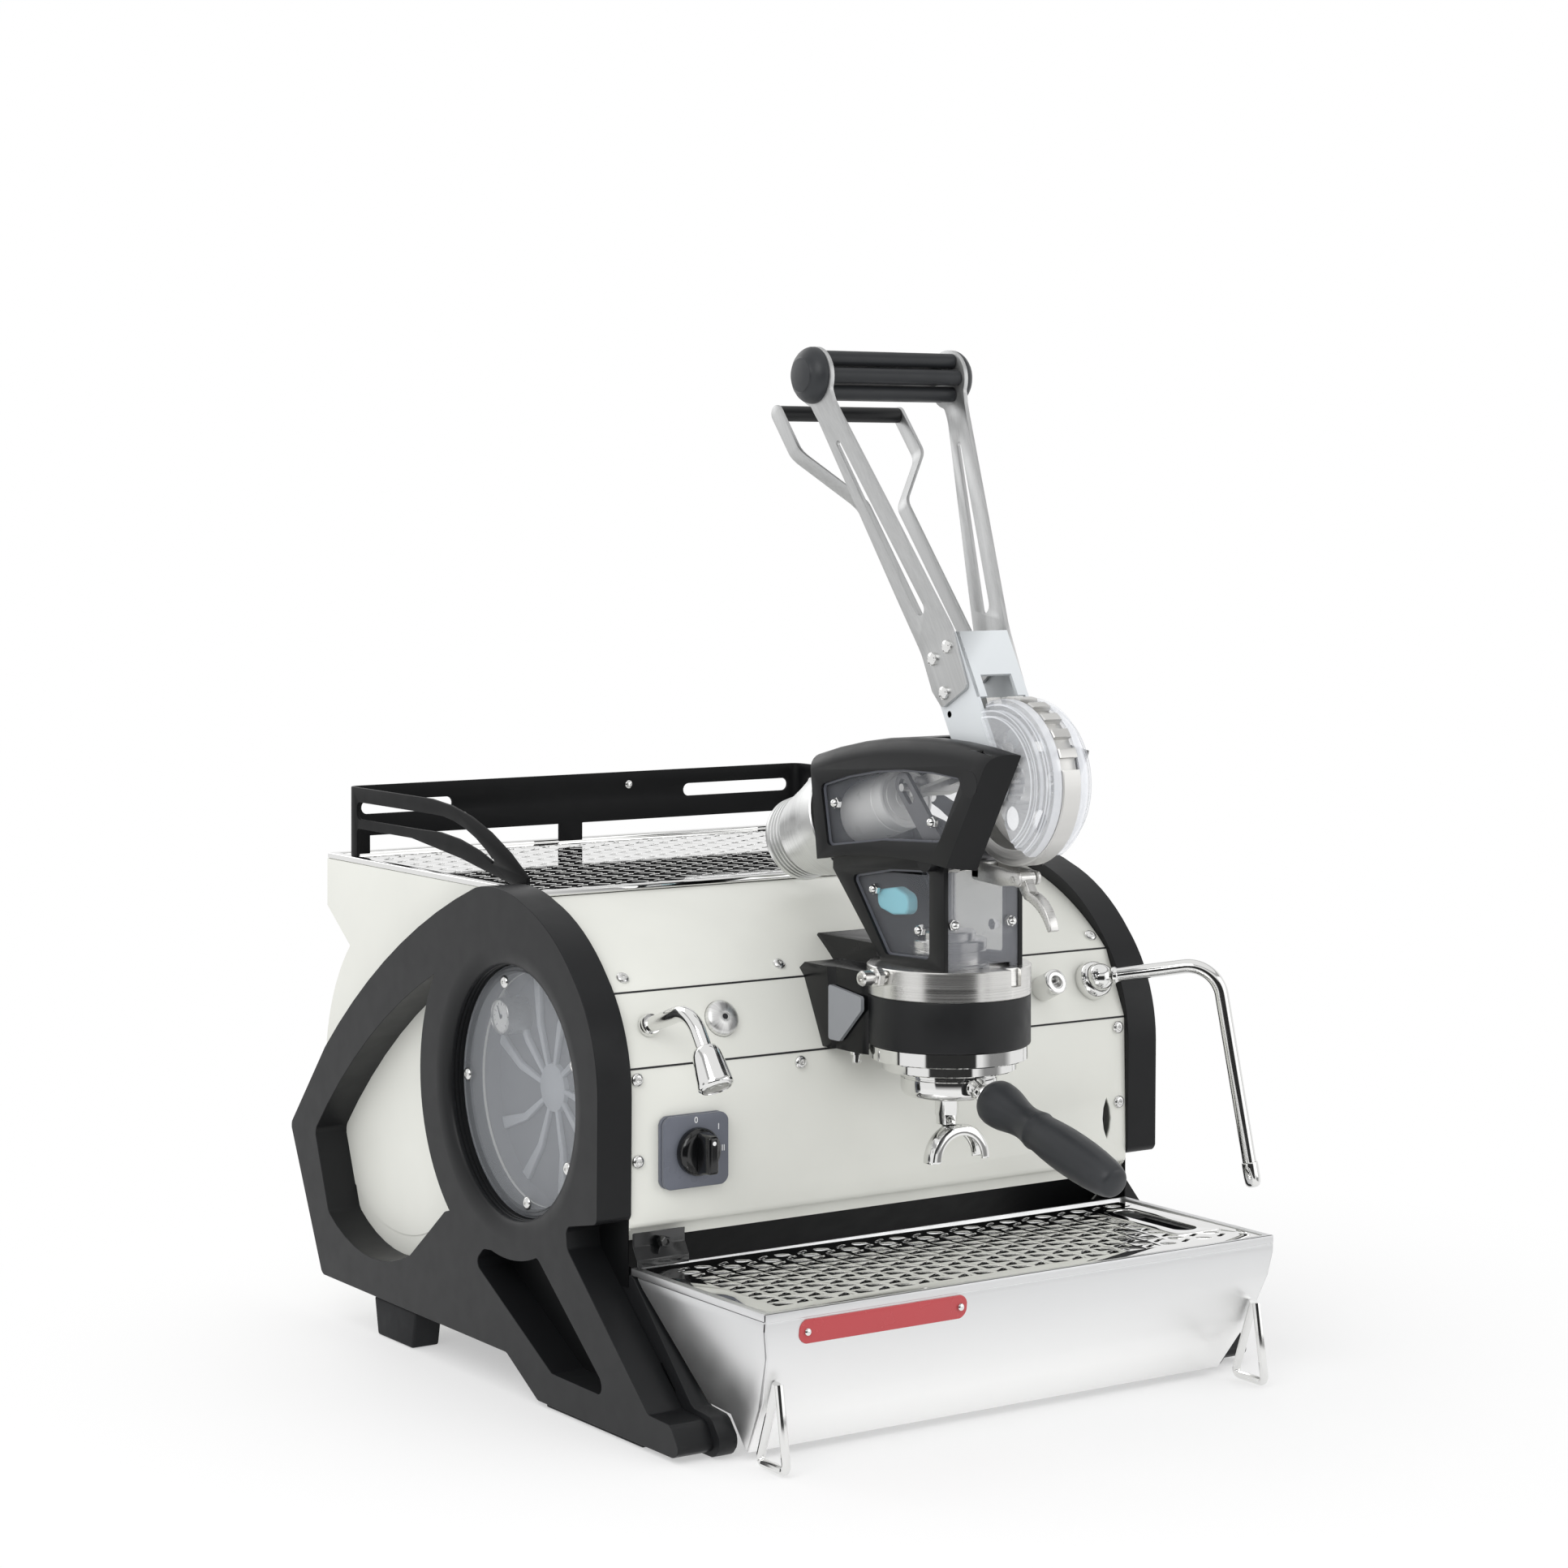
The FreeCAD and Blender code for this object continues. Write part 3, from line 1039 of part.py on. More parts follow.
def main_spring():
    """Heavy die spring of square wire between the sleeve's front wall and the rod's rear plate."""
    half = SPRING_WIRE / 2
    front = SLEEVE_A[0] + 5 + half + 0.3
    rear = SEAT_A - half - 0.3
    pitch = (rear - front) / SPRING_TURNS
    path = Part.makeHelix(pitch, rear - front, SPRING_R)
    inner, outer = SPRING_R - half, SPRING_R + half
    section = Part.makePolygon([Vector(inner, 0, -half), Vector(outer, 0, -half), Vector(outer, 0, half),
                                Vector(inner, 0, half), Vector(inner, 0, -half)])
    sweep = Part.BRepOffsetAPI.MakePipeShell(Part.Wire(path.Edges))
    sweep.setBiNormalMode(Vector(0, 0, 1))
    sweep.add(section)
    sweep.build()
    sweep.makeSolid()
    coil = sweep.shape()
    print("spring: least gap between turns %.2f mm" % (pitch - SPRING_WIRE))
    coil.Placement = Placement(spring_place(front, ROD_ABOVE_PIVOT), Rotation(Vector(0, 0, 1), spring_axis()))
    return coil


def rack_profile(front, back, pitch_line):
    """Bar with straight-sided teeth on its lower edge, in A and N."""
    pitch = math.pi * GEAR_MODULE
    crest, root = pitch_line - GEAR_MODULE, pitch_line + 1.25 * GEAR_MODULE
    outline = [(front, pitch_line + 10), (front, root)]
    first = math.ceil((front + 2) / pitch)
    last = math.floor(46 / pitch)
    for index in range(first, last + 1):
        centre = (index + 0.5) * pitch
        half_root = pitch * 0.40 - RACK_BACKLASH / 2
        half_crest = pitch * 0.16 - RACK_BACKLASH / 2
        outline += [(centre - half_root, root), (centre - half_crest, crest),
                    (centre + half_crest, crest), (centre + half_root, root)]
    outline += [(back, root), (back, pitch_line + 10)]
    return outline


def pull_rod():
    """Twin racks, crosshead, rod and rear plate of the spring, in one piece."""
    pitch_line = GEAR_MODULE * PINION_TEETH / 2
    x0, x1 = PINION_X[0] + 0.2, PINION_X[1] - 0.2
    bar = face(rack_profile(-11.0, CROSSHEAD_A + 6, pitch_line),
               lambda a, n: spring_place(a, n, x0)).extrude(Vector(x1 - x0, 0, 0))
    head = face([(CROSSHEAD_A - 6, 14), (CROSSHEAD_A + 8, 14), (CROSSHEAD_A + 8, 27), (CROSSHEAD_A - 6, 27)],
                lambda a, n: spring_place(a, n, -x1)).extrude(Vector(2 * x1, 0, 0))
    pin = rod(spring_place(CROSSHEAD_A, ROD_ABOVE_PIVOT, -31), spring_place(CROSSHEAD_A, ROD_ABOVE_PIVOT, 31),
              ROCKER_PIN_R)
    shaft = rod(spring_place(CROSSHEAD_A, ROD_ABOVE_PIVOT), spring_place(SEAT_A + 10, ROD_ABOVE_PIVOT), ROD_R)
    seat = rod(spring_place(SEAT_A, ROD_ABOVE_PIVOT), spring_place(SEAT_A + 6, ROD_ABOVE_PIVOT), SLEEVE_R - 4)
    return fused(head, bar, mirrored(bar), pin, shaft, seat)


def gear_outline(teeth, module):
    """Spur gear outline with tapered teeth."""
    pitch_r = module * teeth / 2
    outer, root = pitch_r + module * 0.9, pitch_r - 1.2 * module
    step = 2 * math.pi / teeth
    points = []
    for index in range(teeth):
        middle = index * step
        for share, radius in ((-0.30, root), (-0.12, outer), (0.12, outer), (0.30, root)):
            angle = middle + share * step
            points.append((radius * math.cos(angle), radius * math.sin(angle)))
    return points


def hub_gear():
    """Lever shaft with the two pinions that drive the racks."""
    reach = HOOD_HALF
    shaft = rod((-reach, PIVOT_Y, PIVOT_Z), (reach, PIVOT_Y, PIVOT_Z), SHAFT_R)
    contact = math.radians(90 + BARREL_TILT * -1)
    x0, x1 = PINION_X
    gears = []
    for side in (-1, 1):
        start = x0 if side > 0 else -x1
        gear = face(gear_outline(PINION_TEETH, GEAR_MODULE), lambda y, z: Vector(start, y, z))
        gear = gear.extrude(Vector(x1 - x0, 0, 0))
        gear.rotate(Vector(0, 0, 0), Vector(1, 0, 0), math.degrees(contact))
        gear.translate(Vector(0, PIVOT_Y, PIVOT_Z))
        gears.append(gear)
    return fused(shaft, *gears)


def index_ring():
    """Steel wheel with a few locking notches in its rim near the pawl."""
    start = Vector(-RING_HALF, PIVOT_Y, PIVOT_Z)
    rim = Part.makeCylinder(RING_R, 2 * RING_HALF, start, Vector(1, 0, 0))
    rim = rim.cut(Part.makeCylinder(RING_R - 12, 2 * RING_HALF, start, Vector(1, 0, 0)))
    web = Part.makeCylinder(RING_R - 11, 6, start + Vector(RING_HALF - 3, 0, 0), Vector(1, 0, 0))
    hub = Part.makeCylinder(17, 2 * RING_HALF + 1.6, start - Vector(0.8, 0, 0), Vector(1, 0, 0))
    wheel = fused(rim, web, hub)
    wheel = wheel.cut(Part.makeCylinder(SHAFT_R, 60, start - Vector(10, 0, 0), Vector(1, 0, 0)))
    notches = []
    notch_step, notch_half, notch_deep = 15.0, 4.5, 5.0
    for index in range(RING_NOTCHES):
        angle = LEVER_LEAN + math.degrees(TOOTH_V / RING_R) - index * notch_step
        notch = box(-RING_HALF - 1, RING_HALF + 1, -notch_half, notch_half, RING_R - notch_deep, RING_R + 5)
        notch.rotate(Vector(0, 0, 0), Vector(1, 0, 0), -angle)
        notch.translate(Vector(0, PIVOT_Y, PIVOT_Z))
        notches.append(notch)
    holes = []
    for angle in range(0, 360, 60):
        y = PIVOT_Y + 33 * math.cos(math.radians(angle))
        z = PIVOT_Z + 33 * math.sin(math.radians(angle))
        holes.append(rod((-20, y, z), (20, y, z), 9))
    return wheel.cut(notches + holes)


def gear_cover():
    """Clear dished half cover beside the toothed wheel, with a stepped rim."""
    inner_x, outer_x = RING_HALF + 0.3, COVER_OUTER_X
    outline = [(0, outer_x), (COVER_R - 12, outer_x), (COVER_R - 11, outer_x - 1.5), (COVER_R - 7, outer_x - 2),
               (COVER_R - 5, outer_x - 7), (COVER_R - 2, outer_x - 8), (COVER_R, outer_x - 12),
               (COVER_R, inner_x), (COVER_R - COVER_WALL, inner_x), (COVER_R - COVER_WALL, outer_x - 13),
               (COVER_R - 4, outer_x - 10), (COVER_R - 7, outer_x - 9.5), (COVER_R - 9, outer_x - 4.5),
               (COVER_R - 14, outer_x - COVER_WALL - 1), (0, outer_x - COVER_WALL - 1)]
    dish = turned(outline, (0, PIVOT_Y, PIVOT_Z), (1, 0, 0))
    keep = lever_slab([(80, CHANNEL_FRONT_V - 0.3), (-16, CHANNEL_FRONT_V - 0.3), (-16, -1.0), (-80, -1.0),
                       (-80, -80), (80, -80)], 0, 60)
    shaft_hole = rod((0, PIVOT_Y, PIVOT_Z), (60, PIVOT_Y, PIVOT_Z), 15)
    return dish.common(keep).cut(shaft_hole)


def lever_channel():
    """Silver U channel that joins the arms to the shaft, with the pawl's window."""
    outer = ARM_FOOT_X
    web = lever_slab([(CHANNEL_WEB_U, CHANNEL_FRONT_V), (CHANNEL_TOP_U, CHANNEL_FRONT_V),
                      (CHANNEL_TOP_U, CHANNEL_FRONT_V + CHANNEL_WALL),
                      (CHANNEL_WEB_U, CHANNEL_FRONT_V + CHANNEL_WALL)], -outer, outer)
    side_path = [(CHANNEL_TOP_U, CHANNEL_FRONT_V), (CHANNEL_TOP_U, 12.0), (100.0, CHANNEL_BACK_V),
                 (46.0, CHANNEL_BACK_V), (12.0, 15.0), ((-15.5, 0.0), (10.0, CHANNEL_FRONT_V))]
    side = lever_slab(side_path, outer - CHANNEL_WALL, outer)
    window = lever_slab([(CHANNEL_WEB_U - 1, -30), (80.0, -30), (80.0, 0), (CHANNEL_WEB_U - 1, 0)], -14, 14)
    pins = [lever_rod(u, v, -outer, outer, 2.5) for u, v in (PAWL_PIN, FORK_PIN)]
    body = fused(web.cut(window), side, mirrored(side), *pins)
    bore = lever_rod(0, 0, -60, 60, SHAFT_R)
    return body.cut(bore)


def lever_arm():
    """Flat plate with a long slot, bent outwards to the handle."""
    disc_top = (HANDLE_U + HANDLE_DISC_R, HANDLE_V)
    outline = [
        (ARM_FOOT_U, -8.0), (ARM_BEND_U, -11.5), (210.0, -9.5), (308.0, -6.0), (322.0, -9.0),
        (disc_top, (322.0, 19.0)), (308.0, 18.0), (165.0, 27.0), (88.0, 31.0), (ARM_FOOT_U, 26.0),
    ]
    thick_band = [(ARM_FOOT_X, 60.0), (ARM_FOOT_X, ARM_BEND_U), (HANDLE_PLATE_X, ARM_TOP_BEND_U),
                  (HANDLE_PLATE_X, 380.0), (HANDLE_PLATE_X + ARM_THICK, 380.0),
                  (HANDLE_PLATE_X + ARM_THICK, ARM_TOP_BEND_U - 0.6), (ARM_FOOT_X + ARM_THICK, ARM_BEND_U - 0.6),
                  (ARM_FOOT_X + ARM_THICK, 60.0)]
    band = face(thick_band, lambda x, u: lever_place(u, -60.0, x)).extrude(lever_place(0, 120) - lever_place(0, 0))
    plate = lever_slab(outline, 0, 90).common(band)
    slot = lever_slab([(146.0, 4.0), (146.0, 15.0), (284.0, 11.5), ((287.0, 9.0), (284.0, 6.5))], 0, 90)
    slot_end = lever_rod(146.0, 9.5, 0, 90, 5.5)
    tubes = [lever_rod(*handle_tube_place(index), 0, 90, HANDLE_TUBE_R - 3) for index in range(HANDLE_TUBE_COUNT)]
    return plate.cut([slot, slot_end] + tubes)


def handle_tube_place(index):
    """U and V of one grip tube."""
    angle = math.radians(LEVER_LEAN + 180 + index * 360 / HANDLE_TUBE_COUNT)
    up = HANDLE_TUBE_CIRCLE_R * math.sin(angle)
    back = HANDLE_TUBE_CIRCLE_R * math.cos(angle)
    return HANDLE_U + up, HANDLE_V + back


def handle_tubes():
    """Six black tubes of the main grip, with spigots into the arms."""
    tubes = []
    for index in range(HANDLE_TUBE_COUNT):
        u, v = handle_tube_place(index)
        tube = lever_rod(u, v, -HANDLE_PLATE_X, HANDLE_PLATE_X, HANDLE_TUBE_R)
        spigot = lever_rod(u, v, -HANDLE_PLATE_X - ARM_THICK, HANDLE_PLATE_X + ARM_THICK, HANDLE_TUBE_R - 3)
        tubes.append(fused(tube, spigot))
    return Part.makeCompound(tubes)


def handle_caps():
    """Domed black end caps."""
    x0 = HANDLE_PLATE_X + ARM_THICK
    centre = lever_place(HANDLE_U, HANDLE_V, x0)
    cap = turned([(0, 0), (HANDLE_DISC_R, 0), (HANDLE_DISC_R, 2.5), (HANDLE_DISC_R - 3, 7.5), (HANDLE_DISC_R - 8, 11.3),
                  (8, 13), (0, 13)],
                 tuple(centre), (1, 0, 0))
    return pair(cap)


def lever_screws():
    """Slotted screws that hold the arms to the channel."""
    heads = []
    x0 = ARM_FOOT_X + ARM_THICK
    for u, v in ((108.0, -2.5), (108.0, 17.5), (80.0, 17.0)):
        place = lever_place(u, v, x0)
        head = screw_head(place, (1, 0, 0), 4.8)
        groove = box(x0 + 1.4, x0 + 4, -6, 6, -0.6, 0.6)
        groove.translate(Vector(0, place.y, place.z))
        head = head.cut(groove)
        heads += [head, mirrored(head)]
    return Part.makeCompound(heads)


def pawl():
    """Steel catch on its pin: a tooth forward into the wheel's notch and an arm up to the fork's tail."""
    tip = RING_R - 3.2
    outline = [(tip, TOOTH_V - 2.0), (tip, TOOTH_V + 2.0), (RING_R + 1.2, TOOTH_V + 3.0), (RING_R + 1.2, 18.0),
               (PAWL_PIN[0] - 5, PAWL_PIN[1]), (PAWL_PIN[0], PAWL_PIN[1] + 5), (72.0, 29.0), (83.0, 27.0),
               (83.0, 21.6), (73.0, 18.5), (70.5, 10.0), (66.5, TOOTH_V - 3.0)]
    body = lever_slab(outline, -6.5, 6.5)
    boss = lever_rod(*PAWL_PIN, -20.2, 20.2, 5.5)
    return fused(body, boss).cut(lever_rod(*PAWL_PIN, -30, 30, 2.5 + SHAFT_CLEARANCE))


def fork_strip():
    """One bent strip of the release fork."""
    wide = 13.0
    thick = 3.0
    path = [(FORK_FOOT_HALF, 92.0), (FORK_FOOT_HALF, 256.0), (FORK_HALF, 304.0), (FORK_HALF, 352.0)]
    back = [(x + thick, u) for x, u in path[::-1]]
    angle = math.atan2(FORK_TUBE[1] - FORK_PIN[1], FORK_TUBE[0] - FORK_PIN[0])
    band = face(path + back, lambda x, u: lever_place(u, -20.0, x)).extrude(lever_place(0, 140) - lever_place(0, 0))
    slope = math.tan(angle)
    start_v, end_v = FORK_PIN[1] - 14 * slope, FORK_PIN[1] + (354 - FORK_PIN[0]) * slope
    side = lever_slab([(90.0, start_v - wide / 2), (354.0, end_v - wide / 2), (354.0, end_v + wide / 2),
                       (90.0, start_v + wide / 2)], 0, 80)
    return band.common(side)


def release_fork():
    """Y-shaped release lever: two bent strips joined by a cross web at the pin."""
    strip = fork_strip()
    tube_place = FORK_TUBE
    ears = [lever_rod(*tube_place, x0, x0 + 3.0, 8.0) for x0 in (FORK_HALF, -FORK_HALF - 3.0)]
    boss = lever_rod(*FORK_PIN, -FORK_FOOT_HALF - 2.7, FORK_FOOT_HALF + 2.7, 5.5)
    tail = lever_slab([(107.0, 18.5), (80.0, 13.5), (78.5, 19.0), (103.0, 28.0)], -5, 5)
    body = fused(strip, mirrored(strip), boss, tail, *ears)
    return body.cut(lever_rod(*FORK_PIN, -40, 40, 2.5 + SHAFT_CLEARANCE))


def fork_tube():
    """Black tube that the fingers pull."""
    return lever_rod(*FORK_TUBE, -FORK_HALF, FORK_HALF, HANDLE_TUBE_R)


def trigger():
    """Curved catch lever under the wheel, on its own bracket."""
    blade = slab_x([(-168.0, 399.0), (-176.0, 386.0), ((-190.0, 379.0), (-201.0, 360.0)), (-197.0, 359.0),
                    ((-184.0, 374.0), (-170.0, 380.0)), (-160.0, 391.0), (-160.0, 399.0)], -4, 4)
    hub = rod((-7, -165.0, 394.0), (7, -165.0, 394.0), 6)
    return fused(blade, hub).cut(rod((-20, -165.0, 394.0), (20, -165.0, 394.0), 2.6))


def trigger_bracket():
    """Fork from the neck's front that carries the catch lever's pin."""
    cheek = slab_x([(NECK_FRONT_Y - 1, 390.0), (NECK_FRONT_Y - 1, 403.0), (-138.0, 402.5), (-172.0, 399.0),
                    (-172.0, 390.0), (-150.0, 388.0)], 7.4, 10.4)
    bridge = box(-10.4, 10.4, NECK_FRONT_Y - 8, NECK_FRONT_Y - 1, 391.0, 403.0)
    pin = rod((-10.4, -165.0, 394.0), (10.4, -165.0, 394.0), 2.4)
    return fused(bridge, cheek, mirrored(cheek), pin)


def portafilter_body():
    """Chromed holder with two ears and the socket of the grip."""
    low, high = FILTER_BODY_Z
    cup = turned([(0, low), (FILTER_BODY_R - 5, low), (FILTER_BODY_R - 2, low + 2.5), (FILTER_BODY_R, low + 4),
                  (FILTER_BODY_R, high), (FILTER_BORE_R, high), (FILTER_BORE_R, low + 6), (0, low + 6)],
                 (0, GROUP_Y, 0), (0, 0, 1))
    ears = box(-EAR_R, EAR_R, -EAR_HALF_WIDTH, EAR_HALF_WIDTH, EAR_Z[0], EAR_Z[1])
    ears = ears.common(Part.makeCylinder(EAR_R, 400)).cut(Part.makeCylinder(FILTER_BORE_R + 2, 400))
    ears.translate(Vector(0, GROUP_Y, 0))
    end = Vector(0, *GRIP_START)
    start = end + (end - Vector(0, *GRIP_END)).normalize() * 22.0
    neck = Part.makeCone(8.5, 7.0, (end - start).Length, start, end - start)
    outlet = Part.makeCylinder(9.5, 24, Vector(0, GROUP_Y + 3, low - 22), Vector(0, 0, 1))
    inside = Part.makeCylinder(FILTER_BORE_R, 60, Vector(0, GROUP_Y, low + 6), Vector(0, 0, 1))
    return fused(cup, ears, neck, outlet).cut(inside)


def portafilter_grip():
    """Black grip with a swollen front, a waist and a round end."""
    start = Vector(0, *GRIP_START)
    end = Vector(0, *GRIP_END)
    length = (end - start).Length
    outline = [(0, 0), (14.0, 0), (16.8, 4.0), (17.2, 12.0), ((16.0, 22.0), (13.6, 34.0)),
               ((13.4, 44.0), (14.6, 56.0)), ((16.6, 84.0), (16.6, 110.0)),
               (15.4, length - 12), (12.0, length - 4), (6.0, length), (0, length)]
    return turned(outline, tuple(start), tuple(end - start))


def filter_basket():
    """Thin cup inside the portafilter."""
    top = FILTER_BODY_Z[1]
    wall = 0.8
    outer_r = FILTER_BORE_R - 0.2
    low = FILTER_BODY_Z[0] + 6
    outline = [(0, low), (outer_r, low), (outer_r, top), (FILTER_BODY_R - 1.5, top),
               (FILTER_BODY_R - 1.5, top + wall), (outer_r - wall, top + wall), (outer_r - wall, low + wall),
               (0, low + wall)]
    return turned(outline, (0, GROUP_Y, 0), (0, 0, 1))


def portafilter_spout():
    """Double spout: an open half-round channel below the outlet, with its socket."""
    crest_z, y = FILTER_BODY_Z[0] - 20, GROUP_Y - 9
    arch_r = SPOUT_HALF_SPREAD
    centre_z = crest_z - arch_r - 4
    floor, lip, wall = arch_r + 6.5, arch_r - 2.0, 2.0
    channel = [(floor - 3, -7), (floor, -4.5), (floor, 4.5), (floor - 3, 7), (lip, 7), (lip, 7 - wall),
               (floor - 4, 7 - wall), (floor - wall, 3.8), (floor - wall, -3.8), (floor - 4, wall - 7),
               (lip, wall - 7), (lip, -7)]
    section = face(channel, lambda r, h: Vector(-r, y + h, centre_z - 2))
    arch = section.revolve(Vector(0, y, centre_z - 2), Vector(0, 1, 0), 180)
    socket = Part.makeCylinder(7.5, 16, Vector(0, GROUP_Y - 3, FILTER_BODY_Z[0] - 34.0), Vector(0, 0, 1))
    socket = socket.cut(Part.makeCylinder(arch_r + 4, 40, Vector(0, y - 20, centre_z - 2), Vector(0, 1, 0)))
    top_cut = box(-60, 60, y - 30, y + 30, FILTER_BODY_Z[0] - 22, FILTER_BODY_Z[0] + 40)
    return fused(arch, socket).cut(top_cut)


def drip_tray():
    """Bright sheet tray: leaning front, sloping ends in front of the legs and a narrower pan behind."""
    top, low = DRIP_TOP_Z, DRIP_BOTTOM_Z
    front = [(DRIP_FRONT_Y, top), (DRIP_FRONT_Y + 3, top - 30), (DRIP_FRONT_Y + 17, 47.0), (-130.0, low),
             (-127.0, low), (-150.0, 42.0), (DRIP_FRONT_Y + 6, top - 32), (DRIP_FRONT_Y + 2, top - 4),
             (DRIP_FRONT_Y + 2, top)]
    full = slab_x(front, -DRIP_HALF, DRIP_HALF)
    taper = slab_y([(-DRIP_HALF, top), (-DRIP_HALF, top - 12), (-DRIP_BOTTOM_HALF, 0), (DRIP_BOTTOM_HALF, 0),
                    (DRIP_HALF, top - 12), (DRIP_HALF, top)], -400, 400)
    front_sheet = full.common(taper)
    end_plan = slab_x([(DRIP_FRONT_Y, top), (DRIP_FRONT_Y + 3, top - 30), (DRIP_FRONT_Y + 17, 47.0),
                       (-130.0, low), (-126.0, low), (-126.0, top)], -DRIP_HALF, DRIP_HALF)
    inner_taper = slab_y([(-DRIP_HALF + 1.5, top + 1), (-DRIP_HALF + 1.5, top - 12), (-DRIP_BOTTOM_HALF + 1.5, -1),
                          (DRIP_BOTTOM_HALF - 1.5, -1), (DRIP_HALF - 1.5, top - 12), (DRIP_HALF - 1.5, top + 1)],
                         -400, 400)
    ends = end_plan.common(taper).cut(inner_taper)
    rim_low = top - DRIP_RIM
    rim = box(-DRIP_HALF, DRIP_HALF, DRIP_FRONT_Y, DRIP_BACK_Y, rim_low, top)
    opening = box(-DRIP_HALF + 12, DRIP_HALF - 12, DRIP_FRONT_Y + 10, DRIP_BACK_Y - 6, rim_low - 1, top + 1)
    seat = box(-DRIP_HALF + 6, DRIP_HALF - 6, DRIP_FRONT_Y + 5, DRIP_BACK_Y - 2, top - GRATE_THICK - 0.5, top + 1)
    pan_half = LEG_INNER_X - 1.0
    pan = box(-pan_half, pan_half, -153, DRIP_BACK_Y - 4, 44, rim_low)
    pan_inside = box(-pan_half + SHEET, pan_half - SHEET, -151, DRIP_BACK_Y - 6, 46, rim_low + 1)
    rim = rim.cut([opening, seat])
    return fused(front_sheet, ends, rim, pan.cut(pan_inside))


def drip_grate():
    """Flat perforated plate that lifts out, with staggered slanting slots."""
    top = DRIP_TOP_Z
    half = DRIP_HALF - 6.3
    front, back = DRIP_FRONT_Y + 5.3, DRIP_BACK_Y - 2.3
    plate = box(-half, half, front, back, top - GRATE_THICK - 0.5, top - 0.5)
    slots = []
    for row in range(GRATE_ROWS):
        for column in range(GRATE_COLUMNS):
            x = -half + 22 + column * (2 * half - 44) / (GRATE_COLUMNS - 1)
            y = front + 17 + row * (back - front - 34) / (GRATE_ROWS - 1)
            slot = box(-GRATE_SLOT_LONG / 2, GRATE_SLOT_LONG / 2, -GRATE_SLOT_WIDE / 2, GRATE_SLOT_WIDE / 2,
                       top - 10, top + 5)
            angle = 35 if (row + column) % 2 else -35
            slot.Placement = Placement(Vector(x, y, 0), Rotation(Vector(0, 0, 1), angle))
            slots.append(slot)
    return plate.cut(slots)


def tray_feet():
    """Triangular bent rods under the tray's front corners."""
    x = -DRIP_BOTTOM_HALF - 3.4
    low = TRAY_FOOT_ROD_R
    path = [(x, -168.0, 62.0), (x, -146.0, low + 6), (x, -150.0, low), (x, -178.0, low), (x, -182.0, low + 8),
            (x, -171.0, 62.0)]
    runs = [rod(a, b, TRAY_FOOT_ROD_R) for a, b in zip(path, path[1:])]
    knuckles = [Part.makeSphere(TRAY_FOOT_ROD_R, Vector(*p)) for p in path]
    foot = fused(runs[0], *(runs[1:] + knuckles))
    return pair(foot)


def build():
    """All pieces by node name, in the working frame."""
    frame = side_frame()
    window = porthole_window()
    return {
        "side_frame_left": frame,
        "side_frame_right": mirrored(frame),
        "inner_legs": pair(inner_leg()),
        "rubber_feet": rubber_feet(),
        "porthole_windows": pair(window),
        "base_pan": base_pan(),
        "lower_front_panel": lower_front_panel(),
        "middle_front_panel": middle_front_panel(),
        "top_front_panel": top_front_panel(),
        "side_covers": pair(side_cover()),
        "rear_cover": rear_cover(),
        "cup_tray": cup_tray(),
        "cup_rail": cup_rail(),
        "panel_screws": panel_screws(),
        "steam_boiler": steam_boiler(),
        "coffee_boiler": coffee_boiler(),
        "pressure_gauge": pressure_gauge(),
        "switch_plate": switch_plate(),
        "switch_knob": switch_knob(),
        "hot_water_button": hot_water_button(),
        "hot_water_spout": hot_water_spout(),
        "steam_flange": steam_flange(),
        "steam_ball": steam_ball(),
        "steam_wand": steam_wand(),
        "steam_knob": steam_knob(),
        "group_support": group_support(),
        "group_jacket": group_jacket(),
        "group_cylinder": group_cylinder(),
        "bayonet_flange": bayonet_flange(),
        "group_gasket": group_gasket(),
        "group_collar": group_collar(),
        "piston": piston(),
        "rocker": rocker(),
        "hood_frame": fused(hood_frame(), trigger_bracket()),
        "hood_windows": Part.makeCompound([hood_window(), mirrored(hood_window()),
                                           lower_pane(), mirrored(lower_pane())]),
        "front_shield": front_shield(),
        "hood_nuts": hood_nuts(),
        "spring_sleeve": spring_sleeve(),
        "spring_barrel": spring_barrel(),
        "main_spring": main_spring(),
        "pull_rod": pull_rod(),
        "hub_gear": hub_gear(),
        "index_ring": index_ring(),
        "gear_covers": pair(gear_cover()),
        "lever_channel": lever_channel(),
        "lever_arms": pair(lever_arm()),
        "handle_tubes": handle_tubes(),
        "handle_caps": handle_caps(),
        "lever_screws": lever_screws(),
        "pawl": pawl(),
        "release_fork": release_fork(),
        "fork_tube": fork_tube(),
        "trigger": trigger(),
        "portafilter_body": portafilter_body(),
        "portafilter_grip": portafilter_grip(),
        "filter_basket": filter_basket(),
        "portafilter_spout": portafilter_spout(),
        "drip_tray": drip_tray(),
        "drip_grate": drip_grate(),
        "tray_feet": tray_feet(),
    }


def main():
    os.makedirs("parts", exist_ok=True)
    pieces = build()
    whole = FreeCAD.BoundBox()
    for shape in pieces.values():
        whole.add(shape.BoundBox)
    shift = Vector(-whole.Center.x, -whole.Center.y, -whole.ZMin)
    for name, shape in pieces.items():
        moved = shape.copy()
        moved.translate(shift)
        moved.exportStep("parts/%s.step" % name)
    print("shift %.4f %.4f %.4f" % tuple(shift))
    print("size %.1f %.1f %.1f" % (whole.XLength, whole.YLength, whole.ZLength))


main()
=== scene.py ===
"""Looks of a one-group lever espresso machine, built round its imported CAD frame.

Pieces are drawn in the machine's own millimetres: X across with 0 in the middle, Y back from
the lower front panel, Z up from the worktop. at() turns them into scene positions.
"""
import bpy
import json
import math
from mathutils import Matrix, Vector

